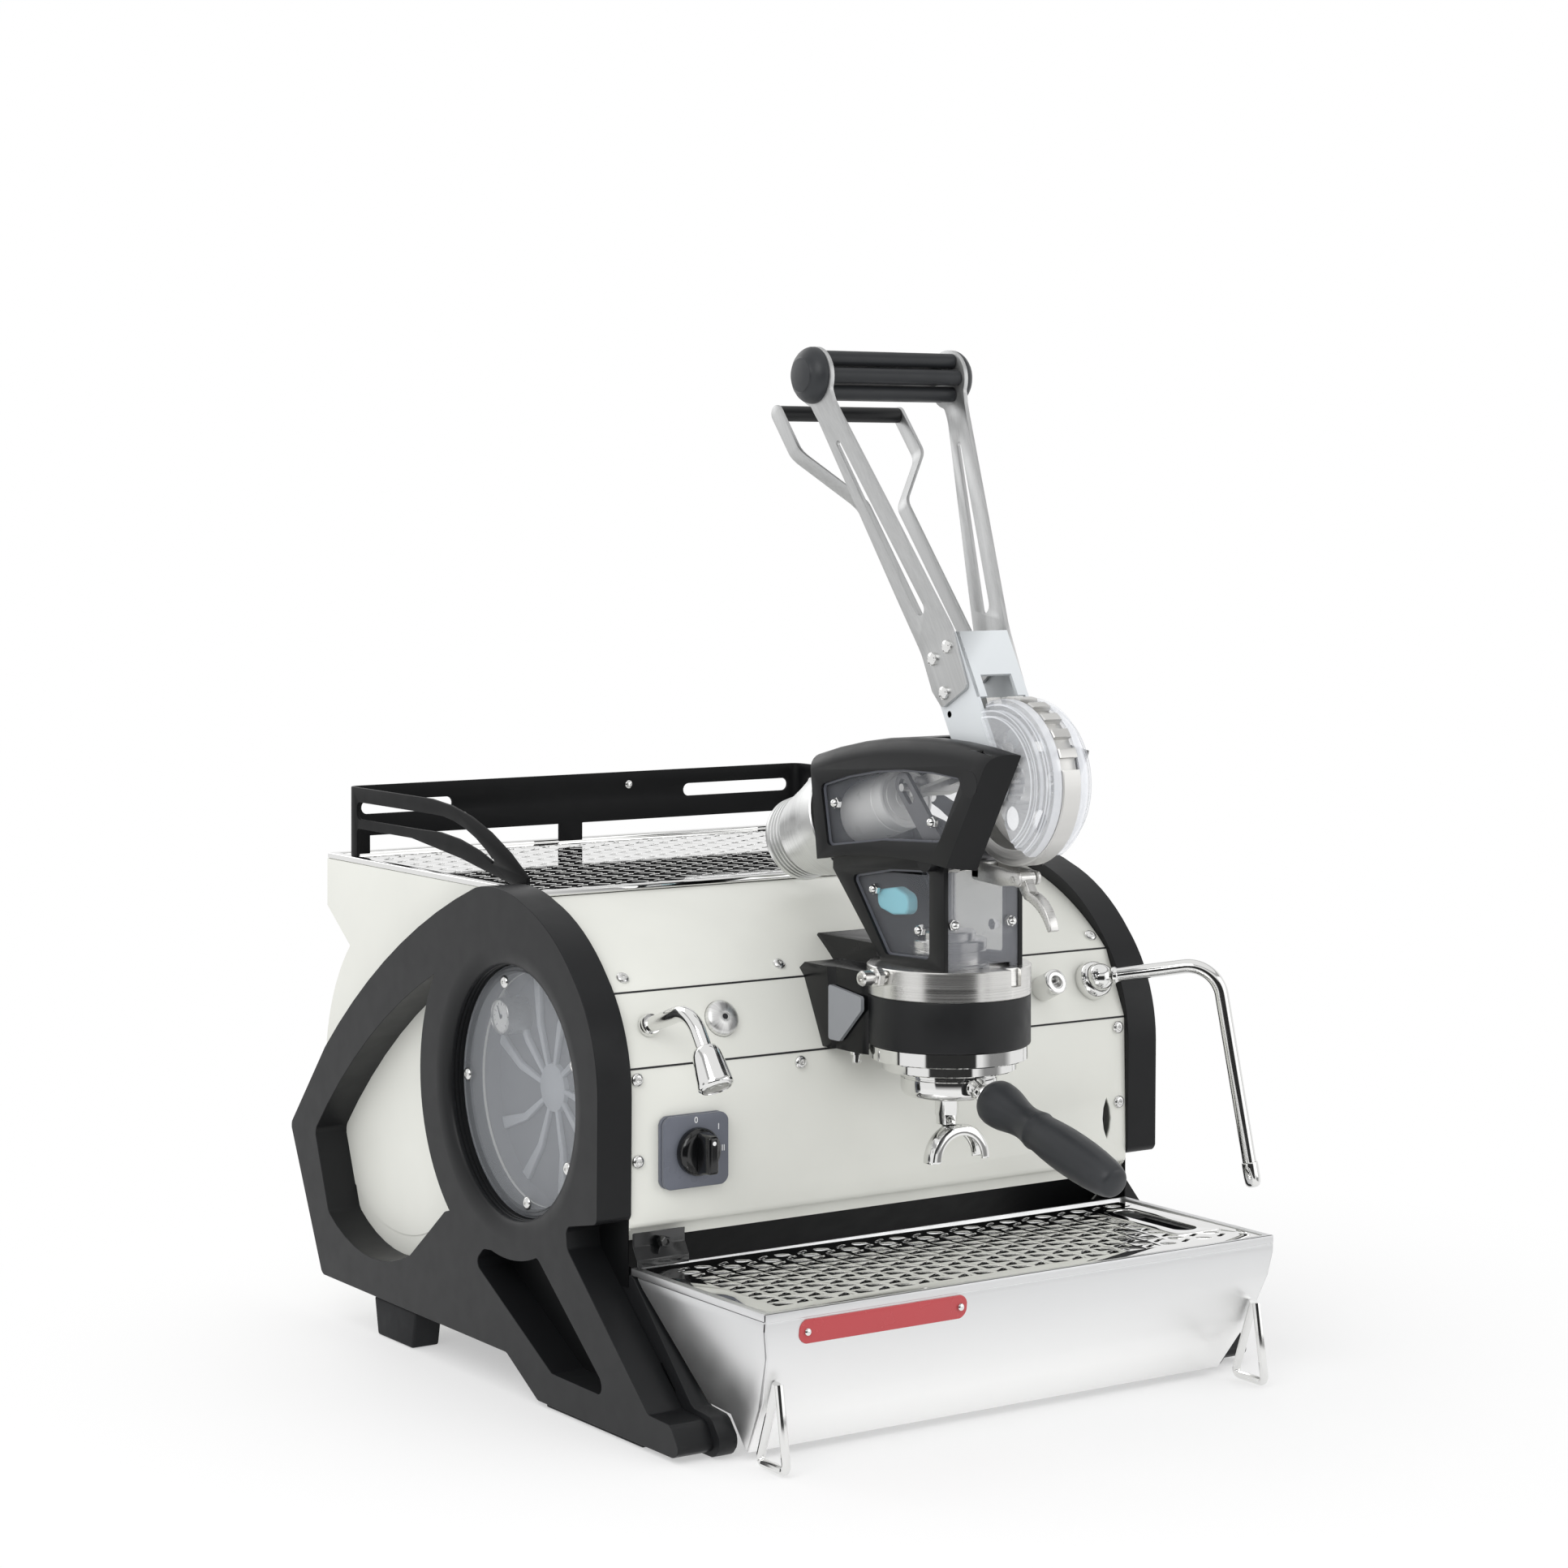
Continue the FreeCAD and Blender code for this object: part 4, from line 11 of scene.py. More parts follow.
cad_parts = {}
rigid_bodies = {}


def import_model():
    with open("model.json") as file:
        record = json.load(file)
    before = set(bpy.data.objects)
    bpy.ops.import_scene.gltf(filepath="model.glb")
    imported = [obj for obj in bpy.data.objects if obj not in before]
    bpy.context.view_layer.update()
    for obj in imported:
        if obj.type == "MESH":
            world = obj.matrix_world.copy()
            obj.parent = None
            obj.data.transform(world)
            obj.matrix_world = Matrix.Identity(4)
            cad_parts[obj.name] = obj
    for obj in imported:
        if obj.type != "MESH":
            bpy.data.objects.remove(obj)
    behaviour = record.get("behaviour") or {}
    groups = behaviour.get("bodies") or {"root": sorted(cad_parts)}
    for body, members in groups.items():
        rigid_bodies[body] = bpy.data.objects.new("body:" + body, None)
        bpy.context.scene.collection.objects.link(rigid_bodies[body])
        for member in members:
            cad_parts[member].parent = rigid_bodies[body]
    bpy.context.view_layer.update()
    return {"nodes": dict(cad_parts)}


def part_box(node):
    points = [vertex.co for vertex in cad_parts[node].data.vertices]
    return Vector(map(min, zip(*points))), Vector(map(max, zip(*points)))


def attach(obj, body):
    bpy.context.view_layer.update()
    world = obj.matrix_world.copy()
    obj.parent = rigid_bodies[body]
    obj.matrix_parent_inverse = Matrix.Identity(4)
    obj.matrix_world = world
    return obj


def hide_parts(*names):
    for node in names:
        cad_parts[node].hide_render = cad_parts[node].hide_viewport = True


bl_info = {
    "name": "Lever espresso machine",
    "version": (1, 0, 0),
    "blender": (4, 5, 0),
    "location": "View3D > Sidebar > Espresso",
    "description": "Builds the visible pieces and finishes of a lever espresso machine",
    "category": "Object",
}

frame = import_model()
MM = 0.001
FRAME_OUTER_X = 260.0
HOME = Vector((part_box("side_frame_left")[0][0] + FRAME_OUTER_X * MM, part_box("lower_front_panel")[0][1], 0.0))

PIVOT = (-160.0, 464.0)
LEVER_LEAN = 29.0
GROUP_Y = -75.0



def at(x, y, z):
    """Scene position of a point given in the machine's millimetres."""
    return HOME + Vector((x, y, z)) * MM


def side_view(x):
    """Places outline points, given as Y and Z, in the upright plane at X."""
    return lambda y, z: at(x, y, z)


def front_view(y):
    """Places outline points, given as X and Z, in the plane facing the user at Y."""
    return lambda x, z: at(x, y, z)


def plan_view(z):
    """Places outline points, given as X and Y, in the level plane at Z."""
    return lambda x, y: at(x, y, z)


def lever_view(x):
    """Places outline points, given up and back along the lever, in the upright plane at X."""
    lean = math.radians(LEVER_LEAN)

    def place(u, v):
        return at(x, PIVOT[0] + u * math.sin(lean) + v * math.cos(lean),
                  PIVOT[1] + u * math.cos(lean) - v * math.sin(lean))
    return place


def circle_centre(a, b, c):
    """Centre of the circle through three flat points."""
    ax, ay = a
    bx, by = b
    cx, cy = c
    d = 2 * (ax * (by - cy) + bx * (cy - ay) + cx * (ay - by))
    aa, bb, cc = ax * ax + ay * ay, bx * bx + by * by, cx * cx + cy * cy
    return ((aa * (by - cy) + bb * (cy - ay) + cc * (ay - by)) / d,
            (aa * (cx - bx) + bb * (ax - cx) + cc * (bx - ax)) / d)


def arc(a, middle, b, step=6.0):
    """Points from a to b on the circle through middle, without a itself, one every few degrees."""
    cx, cy = circle_centre(a, middle, b)
    radius = math.hypot(a[0] - cx, a[1] - cy)
    start = math.atan2(a[1] - cy, a[0] - cx)
    through = (math.atan2(middle[1] - cy, middle[0] - cx) - start) % (2 * math.pi)
    end = (math.atan2(b[1] - cy, b[0] - cx) - start) % (2 * math.pi)
    if through > end:
        end -= 2 * math.pi
    count = max(2, int(abs(math.degrees(end)) / step))
    return [(cx + radius * math.cos(start + end * i / count), cy + radius * math.sin(start + end * i / count))
            for i in range(1, count + 1)]


def round_outline(centre, radius, count=72):
    """Circle as outline points."""
    return [(centre[0] + radius * math.cos(2 * math.pi * i / count),
             centre[1] + radius * math.sin(2 * math.pi * i / count)) for i in range(count)]


def softened(points, radius, step=15.0):
    """Outline with every corner replaced by an arc of about the given radius."""
    result = []
    count = len(points)
    for index in range(count):
        before, corner, after = (Vector(points[(index + k) % count]) for k in (-1, 0, 1))
        back, ahead = before - corner, after - corner
        turn = math.pi - back.angle(ahead)
        if turn < math.radians(step):
            result.append(tuple(corner))
            continue
        reach = min(radius * math.tan(turn / 2), back.length * 0.45, ahead.length * 0.45)
        first = corner + back.normalized() * reach
        last = corner + ahead.normalized() * reach
        bow = corner + (first + last - corner * 2) * (0.5 * (1 - 0.42 * math.sin(turn / 2)))
        result.append(tuple(first))
        result += arc(tuple(first), tuple(bow), tuple(last), step)
    return result



def clear_selection():
    if bpy.context.object and bpy.context.object.mode != "OBJECT":
        bpy.ops.object.mode_set(mode="OBJECT")
    bpy.ops.object.select_all(action="DESELECT")


def take(piece):
    """Makes one piece the only one selected."""
    clear_selection()
    piece.select_set(True)
    bpy.context.view_layer.objects.active = piece
    return piece


def loop_piece(name, points):
    """Closed loop of vertices: a circle whose points are moved to the outline."""
    clear_selection()
    bpy.ops.mesh.primitive_circle_add(vertices=len(points), radius=0.01, location=(0, 0, 0))
    piece = bpy.context.object
    piece.name = name
    for vertex, point in zip(piece.data.vertices, points):
        vertex.co = point
    return piece


def tidy_mesh(piece, gap=1e-6):
    """Merges doubled points and turns every face outwards."""
    take(piece)
    bpy.ops.object.mode_set(mode="EDIT")
    bpy.ops.mesh.select_all(action="SELECT")
    bpy.ops.mesh.remove_doubles(threshold=gap)
    bpy.ops.mesh.normals_make_consistent(inside=False)
    bpy.ops.object.mode_set(mode="OBJECT")
    return piece


def slab(name, outline, place, depth):
    """Plate: an outline placed in a view and extruded by a depth given in millimetres."""
    piece = loop_piece(name, [place(*p) for p in outline])
    bpy.ops.object.mode_set(mode="EDIT")
    bpy.ops.mesh.select_all(action="SELECT")
    bpy.ops.mesh.edge_face_add()
    bpy.ops.mesh.extrude_region_move(TRANSFORM_OT_translate={"value": Vector(depth) * MM})
    bpy.ops.object.mode_set(mode="OBJECT")
    return tidy_mesh(piece)


def turned(name, profile, centre, axis, steps=64, side=None, angle=360.0):
    """Piece spun round an axis: the profile gives radius and height along it in millimetres."""
    axis = Vector(axis).normalized()
    side = Vector(side).normalized() if side else axis.orthogonal().normalized()
    base = at(*centre)
    piece = loop_piece(name, [base + (side * r + axis * h) * MM for r, h in profile])
    bpy.ops.object.mode_set(mode="EDIT")
    bpy.ops.mesh.select_all(action="SELECT")
    if angle < 360.0:
        bpy.ops.mesh.edge_face_add()
    bpy.ops.mesh.spin(steps=steps, angle=math.radians(angle), center=base, axis=axis)
    bpy.ops.object.mode_set(mode="OBJECT")
    return tidy_mesh(piece)


def tube(name, points, radius, bend=0.0, sides=24, steps=10):
    """Round tube along points, its corners bent on arcs."""
    route = [Vector(p) for p in points]
    if bend:
        smooth = [route[0]]
        for before, corner, after in zip(route, route[1:], route[2:]):
            back, ahead = (before - corner).normalized(), (after - corner).normalized()
            half = (math.pi - back.angle(ahead)) / 2
            reach = bend * math.tan(half)
            middle = (back + ahead).normalized()
            centre = corner + middle * (bend / math.cos(half))
            start, end = corner + back * reach - centre, corner + ahead * reach - centre
            smooth += [centre + start.slerp(end, i / steps).normalized() * start.length for i in range(steps + 1)]
        smooth.append(route[-1])
        route = smooth
    clear_selection()
    bpy.ops.curve.primitive_nurbs_path_add(location=(0, 0, 0))
    piece = bpy.context.object
    piece.name = name
    line = piece.data.splines
    line.remove(line[0])
    spline = line.new("POLY")
    spline.points.add(len(route) - 1)
    for point, place in zip(spline.points, route):
        point.co = (*at(*place), 1)
    piece.data.dimensions = "3D"
    piece.data.bevel_depth = radius * MM
    piece.data.bevel_resolution = max(2, sides // 4 - 1)
    piece.data.use_fill_caps = True
    bpy.ops.object.convert(target="MESH")
    return tidy_mesh(bpy.context.object)


def block(name, low, high):
    """Box between two corners in millimetres."""
    clear_selection()
    low, high = Vector(low), Vector(high)
    bpy.ops.mesh.primitive_cube_add(size=1.0, location=at(*((low + high) / 2)), scale=(high - low) * MM)
    piece = bpy.context.object
    piece.name = name
    bpy.ops.object.transform_apply(location=True, rotation=True, scale=True)
    return piece


def shape_with(piece, kind, **settings):
    """Adds a modifier with settings and applies it."""
    take(piece)
    modifier = piece.modifiers.new(kind.title(), kind)
    for key, value in settings.items():
        setattr(modifier, key, value)
    bpy.ops.object.modifier_apply(modifier=modifier.name)
    return piece


def cut(piece, *tools, operation="DIFFERENCE"):
    """Cuts pieces away from one, or adds them to it, and deletes them."""
    for tool in tools:
        shape_with(piece, "BOOLEAN", operation=operation, object=tool, solver="EXACT")
        bpy.data.objects.remove(tool)
    return piece


def bevel(piece, width, segments=3, angle=28.0):
    """Rounds the edges that are sharper than an angle."""
    return shape_with(piece, "BEVEL", width=width * MM, segments=segments, limit_method="ANGLE",
                      angle_limit=math.radians(angle), harden_normals=False, use_clamp_overlap=True)


def bevel_where(piece, test, width, segments=4):
    """Rounds the edges whose two ends both pass a test, given in the machine's millimetres."""
    take(piece)
    bpy.ops.object.mode_set(mode="EDIT")
    bpy.ops.mesh.select_mode(type="EDGE")
    bpy.ops.mesh.select_all(action="DESELECT")
    bpy.ops.object.mode_set(mode="OBJECT")
    places = [(v.co - HOME) / MM for v in piece.data.vertices]
    for edge in piece.data.edges:
        first, last = (places[i] for i in edge.vertices)
        edge.select = test(first, last)
    bpy.ops.object.mode_set(mode="EDIT")
    bpy.ops.mesh.bevel(offset=width * MM, segments=segments, affect="EDGES", clamp_overlap=False)
    bpy.ops.mesh.select_mode(type="VERT")
    bpy.ops.object.mode_set(mode="OBJECT")
    return tidy_mesh(piece)


def sliced(piece, places, way):
    """Cuts new edges through a piece, without parting it, at each place across a direction."""
    take(piece)
    bpy.ops.object.mode_set(mode="EDIT")
    for place in places:
        bpy.ops.mesh.select_all(action="SELECT")
        bpy.ops.mesh.bisect(plane_co=place, plane_no=way)
    bpy.ops.object.mode_set(mode="OBJECT")
    return piece


def filled_between(name, outer, inner, place):
    """Flat sheet between an outer and one or more inner outlines."""
    loops = [loop_piece(name, [place(*p) for p in outline]) for outline in (outer, *inner)]
    piece = joined(name, loops)
    bpy.ops.object.mode_set(mode="EDIT")
    bpy.ops.mesh.select_all(action="SELECT")
    bpy.ops.mesh.fill(use_beauty=True)
    bpy.ops.object.mode_set(mode="OBJECT")
    return piece


def smooth(piece, angle=35.0):
    """Shades smooth where faces meet at less than an angle."""
    take(piece)
    bpy.ops.object.shade_smooth_by_angle(angle=math.radians(angle))
    return piece


def joined(name, pieces):
    """One object from several."""
    clear_selection()
    for piece in pieces:
        piece.select_set(True)
    bpy.context.view_layer.objects.active = pieces[0]
    bpy.ops.object.join()
    piece = bpy.context.object
    piece.name = name
    return piece


def copied(piece, move=(0, 0, 0)):
    """Copy with its own mesh, moved by millimetres."""
    twin = piece.copy()
    twin.data = piece.data.copy()
    bpy.context.collection.objects.link(twin)
    twin.data.transform(Matrix.Translation(Vector(move) * MM))
    return twin


def mirrored(piece, name=None):
    """Copy on the other side of the machine's middle plane."""
    twin = copied(piece)
    flip = Matrix.Translation((HOME.x, 0, 0)) @ Matrix.Scale(-1, 4, (1, 0, 0)) @ Matrix.Translation((-HOME.x, 0, 0))
    twin.data.transform(flip)
    if name:
        twin.name = name
    take(twin)
    bpy.ops.object.mode_set(mode="EDIT")
    bpy.ops.mesh.select_all(action="SELECT")
    bpy.ops.mesh.flip_normals()
    bpy.ops.object.mode_set(mode="OBJECT")
    return twin


def paint(piece, material):
    """Gives a piece one material."""
    piece.data.materials.clear()
    piece.data.materials.append(material)
    return piece


def finish_piece(piece, body, nodes, material, angle=35.0):
    """Smooths, paints and mounts a finished piece, which stands for CAD nodes."""
    smooth(piece, angle)
    if material:
        paint(piece, material)
    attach(piece, body)
    if nodes:
        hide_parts(*nodes)
    return piece



class Signal:
    """A shader socket that can be used in sums."""

    def __init__(self, build, socket):
        self.build = build
        self.socket = socket

    def _math(self, operation, other, swap=False):
        values = (other, self) if swap else (self, other)
        return self.build.node("ShaderNodeMath", {"operation": operation}, {0: values[0], 1: values[1]})

    def __add__(self, other):
        return self._math("ADD", other)

    __radd__ = __add__

    def __sub__(self, other):
        return self._math("SUBTRACT", other)

    def __rsub__(self, other):
        return self._math("SUBTRACT", other, swap=True)

    def __mul__(self, other):
        return self._math("MULTIPLY", other)

    __rmul__ = __mul__

    def __pow__(self, other):
        return self._math("POWER", other)

    def above(self, level):
        return self._math("GREATER_THAN", level)

    def spread(self, low, high, to_low=0.0, to_high=1.0):
        """Stretches a range of values, held at its ends."""
        return self.build.node("ShaderNodeMapRange", {}, {"Value": self, "From Min": low, "From Max": high,
                                                          "To Min": to_low, "To Max": to_high})


class Finish:
    """One material and the nodes in it."""

    def __init__(self, name, **shader):
        self.material = bpy.data.materials.new(name)
        self.material.use_nodes = True
        self.tree = self.material.node_tree
        self.shader = self.tree.nodes["Principled BSDF"]
        for key, value in shader.items():
            self.shader.inputs[key.replace("_", " ")].default_value = value

    @classmethod
    def of_tree(cls, tree):
        """Builder for a node tree that is no material."""
        build = cls.__new__(cls)
        build.tree = tree
        return build

    def node(self, kind, settings, inputs, output=0):
        node = self.tree.nodes.new(kind)
        for key, value in settings.items():
            if key == "stops":
                ramp = node.color_ramp
                for place, shade in value[2:]:
                    ramp.elements.new(place).color = shade
                for element, (place, shade) in zip((ramp.elements[0], ramp.elements[-1]), (value[0], value[1])):
                    element.position = place
                    element.color = shade
            else:
                setattr(node, key, value)
        for key, value in inputs.items():
            if isinstance(value, Signal):
                self.tree.links.new(value.socket, node.inputs[key])
            else:
                node.inputs[key].default_value = value
        return Signal(self, node.outputs[output])

    def place(self, scale=(1, 1, 1), turn=(0, 0, 0)):
        """Object coordinates, turned and then stretched."""
        coords = self.node("ShaderNodeTexCoord", {}, {}, "Object")
        turned_coords = self.node("ShaderNodeMapping", {}, {"Vector": coords, "Rotation": turn})
        return self.node("ShaderNodeMapping", {}, {"Vector": turned_coords, "Scale": scale})

    def around(self, centre, axis):
        """Angle and radius round an axis through a point given in millimetres."""
        coords = self.node("ShaderNodeTexCoord", {}, {}, "Object")
        centred = self.node("ShaderNodeMapping", {}, {"Vector": coords, "Location": -at(*centre)})
        turn = Vector(axis).rotation_difference(Vector((0, 0, 1))).to_euler()
        flat = self.node("ShaderNodeMapping", {}, {"Vector": centred, "Rotation": turn})
        parts = self.tree.nodes.new("ShaderNodeSeparateXYZ")
        self.tree.links.new(flat.socket, parts.inputs[0])
        x, y = Signal(self, parts.outputs["X"]), Signal(self, parts.outputs["Y"])
        angle = self.node("ShaderNodeMath", {"operation": "ARCTAN2"}, {0: y, 1: x})
        radius = (x * x + y * y) ** 0.5
        return angle, radius

    def streaks(self, u, v, detail=3.0):
        """Noise over two signals."""
        place = self.node("ShaderNodeCombineXYZ", {}, {"X": u, "Y": v})
        return self.node("ShaderNodeTexNoise", {}, {"Vector": place, "Scale": 1.0, "Detail": detail})

    def noise(self, scale=(1, 1, 1), detail=3.0, turn=(0, 0, 0), roughness=0.5):
        return self.node("ShaderNodeTexNoise", {}, {"Vector": self.place(scale, turn), "Scale": 1.0,
                                                    "Detail": detail, "Roughness": roughness})

    def blend(self, mask, first, second):
        """Colour between two colours by a mask."""
        return self.node("ShaderNodeMix", {"data_type": "RGBA"}, {0: mask, 6: first, 7: second}, 2)

    def colour(self, value):
        self.tree.links.new(value.socket, self.shader.inputs["Base Color"])
        return self

    def rough(self, value):
        self.tree.links.new(value.socket, self.shader.inputs["Roughness"])
        return self

    def alpha(self, value):
        self.tree.links.new(value.socket, self.shader.inputs["Alpha"])
        return self

    def bump(self, height, strength=0.2, distance=0.0002):
        normal = self.node("ShaderNodeBump", {}, {"Height": height, "Strength": strength, "Distance": distance})
        self.tree.links.new(normal.socket, self.shader.inputs["Normal"])
        return self


def tint(colour, factor):
    """Colour made lighter or darker, with full opacity."""
    return (*(min(1.0, c * factor) for c in colour[:3]), 1.0)


def painted(name, colour, rough=0.4, peel=0.06, grain=900.0, sheen=0.5):
    """Sprayed paint with a faint orange-peel surface and slight cloudiness."""
    f = Finish(name, Base_Color=tint(colour, 1), Specular_IOR_Level=sheen)
    cloud = f.noise((9, 9, 9), 4)
    f.colour(f.blend(cloud.spread(0.3, 0.7), tint(colour, 0.965), tint(colour, 1.03)))
    f.rough(f.noise((60, 60, 60), 3).spread(0.3, 0.7, rough - 0.03, rough + 0.04))
    f.bump(f.noise((grain, grain, grain), 2), peel, 0.0001)
    return f.material


def brushed(name, colour, stretch, turn=(0, 0, 0), rough=0.3, depth=0.1):
    """Metal with fine straight grain; stretch is large across the grain and small along it."""
    f = Finish(name, Base_Color=tint(colour, 1), Metallic=1.0)
    fine = f.noise(stretch, 4, turn, 0.65)
    coarse = f.noise(tuple(s * 0.22 for s in stretch), 2, turn)
    f.colour(f.blend(fine.spread(0.3, 0.7), tint(colour, 0.9), tint(colour, 1.06)))
    f.rough((fine * 0.6 + coarse * 0.4).spread(0.3, 0.7, rough - 0.06, rough + 0.09))
    f.bump(fine, depth, 0.00005)
    return f.material


def spun(name, colour, centre, axis, rough=0.25, radial=False, rings=2600.0):
    """Metal with a grain that runs round an axis, or outwards from it."""
    f = Finish(name, Base_Color=tint(colour, 1), Metallic=1.0)
    angle, radius = f.around(centre, axis)
    grain = f.streaks(angle * 9.0, radius * 30.0, 4) if radial else f.streaks(angle * 1.2, radius * rings, 4)
    f.colour(f.blend(grain.spread(0.3, 0.7), tint(colour, 0.82), tint(colour, 1.1)))
    f.rough(grain.spread(0.3, 0.7, rough - 0.06, rough + 0.1))
    if not radial:
        f.bump(grain, 0.12, 0.00005)
    return f.material


def polished(name, colour, rough=0.08, smear=0.06):
    """Plated or polished metal with faint smears."""
    f = Finish(name, Base_Color=tint(colour, 1), Metallic=1.0)
    f.rough(f.noise((45, 45, 45), 4).spread(0.35, 0.75, rough, rough + smear))
    return f.material


def painted_height_shade(name, low_colour, high_colour, low, high, rough):
    """Metal whose colour darkens with height between two heights in metres: a painted reflection, lighter low down and
    darker higher up.
    """
    f = Finish(name, Base_Color=tint(low_colour, 1), Metallic=1.0)
    coords = f.node("ShaderNodeTexCoord", {}, {}, "Object")
    height = f.node("ShaderNodeSeparateXYZ", {}, {"Vector": coords}, "Z")
    f.colour(f.blend(height.spread(low, high), tint(low_colour, 1), tint(high_colour, 1)))
    f.rough(f.noise((45, 45, 45), 4).spread(0.35, 0.75, rough, rough + 0.05))
    return f.material


def moulded(name, colour, rough=0.35, grain=1500.0, strength=0.08, sheen=0.3):
    """Moulded plastic or rubber with a fine texture."""
    f = Finish(name, Base_Color=tint(colour, 1), Specular_IOR_Level=sheen)
    f.colour(f.blend(f.noise((25, 25, 25), 3).spread(0.3, 0.7), tint(colour, 0.9), tint(colour, 1.12)))
    f.rough(f.noise((80, 80, 80), 3).spread(0.3, 0.7, rough - 0.04, rough + 0.06))
    f.bump(f.noise((grain, grain, grain), 2), strength, 0.00008)
    return f.material


def clear(name, colour, opacity=0.2, rough=0.04, rings=False):
    """Clear plastic, thin enough not to bend the light, with faint wipe marks, and, if it was turned, rings of denser
    film on its outer band: painted light and shade of its ridges.
    """
    f = Finish(name, Base_Color=tint(colour, 1), IOR=1.49)
    smear = f.noise((40, 40, 40), 4)
    f.rough(smear.spread(0.5, 0.8, rough, rough + 0.06))
    film = smear.spread(0.3, 0.8, opacity, opacity + 0.02)
    if rings:
        # Rings of denser film on the outer band: painted light and shade that show the cover's ridges.
        radius = f.around((0, *PIVOT), (1, 0, 0))[1]
        wave = f.node("ShaderNodeMath", {"operation": "SINE"}, {0: radius * 1500.0})
        film = film + wave.spread(0.5, 0.9) * radius.spread(0.0435, 0.044) * 0.35
    f.alpha(film)
    return f.material


class MachineColours(bpy.types.PropertyGroup):
    """Colours of the machine's finishes."""

    charcoal: bpy.props.FloatVectorProperty(
        name="Charcoal", description="Paint of the side frames and castings", subtype="COLOR",
        size=3, min=0, max=1, default=(0.010, 0.0105, 0.0115))
    ivory: bpy.props.FloatVectorProperty(
        name="Ivory", description="Paint of the body panels", subtype="COLOR",
        size=3, min=0, max=1, default=(0.76, 0.765, 0.715))
    steel: bpy.props.FloatVectorProperty(
        name="Steel", description="Bare brushed steel", subtype="COLOR",
        size=3, min=0, max=1, default=(0.62, 0.615, 0.60))
    chrome: bpy.props.FloatVectorProperty(
        name="Chrome", description="Plated and polished pieces", subtype="COLOR",
        size=3, min=0, max=1, default=(0.80, 0.80, 0.79))
    aluminium: bpy.props.FloatVectorProperty(
        name="Aluminium", description="Spring barrel", subtype="COLOR",
        size=3, min=0, max=1, default=(0.70, 0.705, 0.70))
    silver: bpy.props.FloatVectorProperty(
        name="Silver paint", description="Channel of the lever", subtype="COLOR",
        size=3, min=0, max=1, default=(0.66, 0.69, 0.71))
    black: bpy.props.FloatVectorProperty(
        name="Black", description="Grips and knobs", subtype="COLOR",
        size=3, min=0, max=1, default=(0.009, 0.0095, 0.0105))
    link_blue: bpy.props.FloatVectorProperty(
        name="Link blue", description="Painted link behind the lower window", subtype="COLOR",
        size=3, min=0, max=1, default=(0.25, 0.57, 0.66))
    badge: bpy.props.FloatVectorProperty(
        name="Badge plate", description="Bare plate on the drip tray", subtype="COLOR",
        size=3, min=0, max=1, default=(0.45, 0.055, 0.062))


class MachineSizes(bpy.types.PropertyGroup):
    """Sizes that a user would change, in the scene's unit."""

    frame_edge: bpy.props.FloatProperty(
        name="Frame edge", description="Rounding of the side frames' edges", unit="LENGTH",
        default=0.003, min=0.0005, max=0.008)
    floor_size: bpy.props.FloatProperty(
        name="Floor size", description="Width of the studio floor", unit="LENGTH", default=14.0, min=4.0)


FINISHES = {}


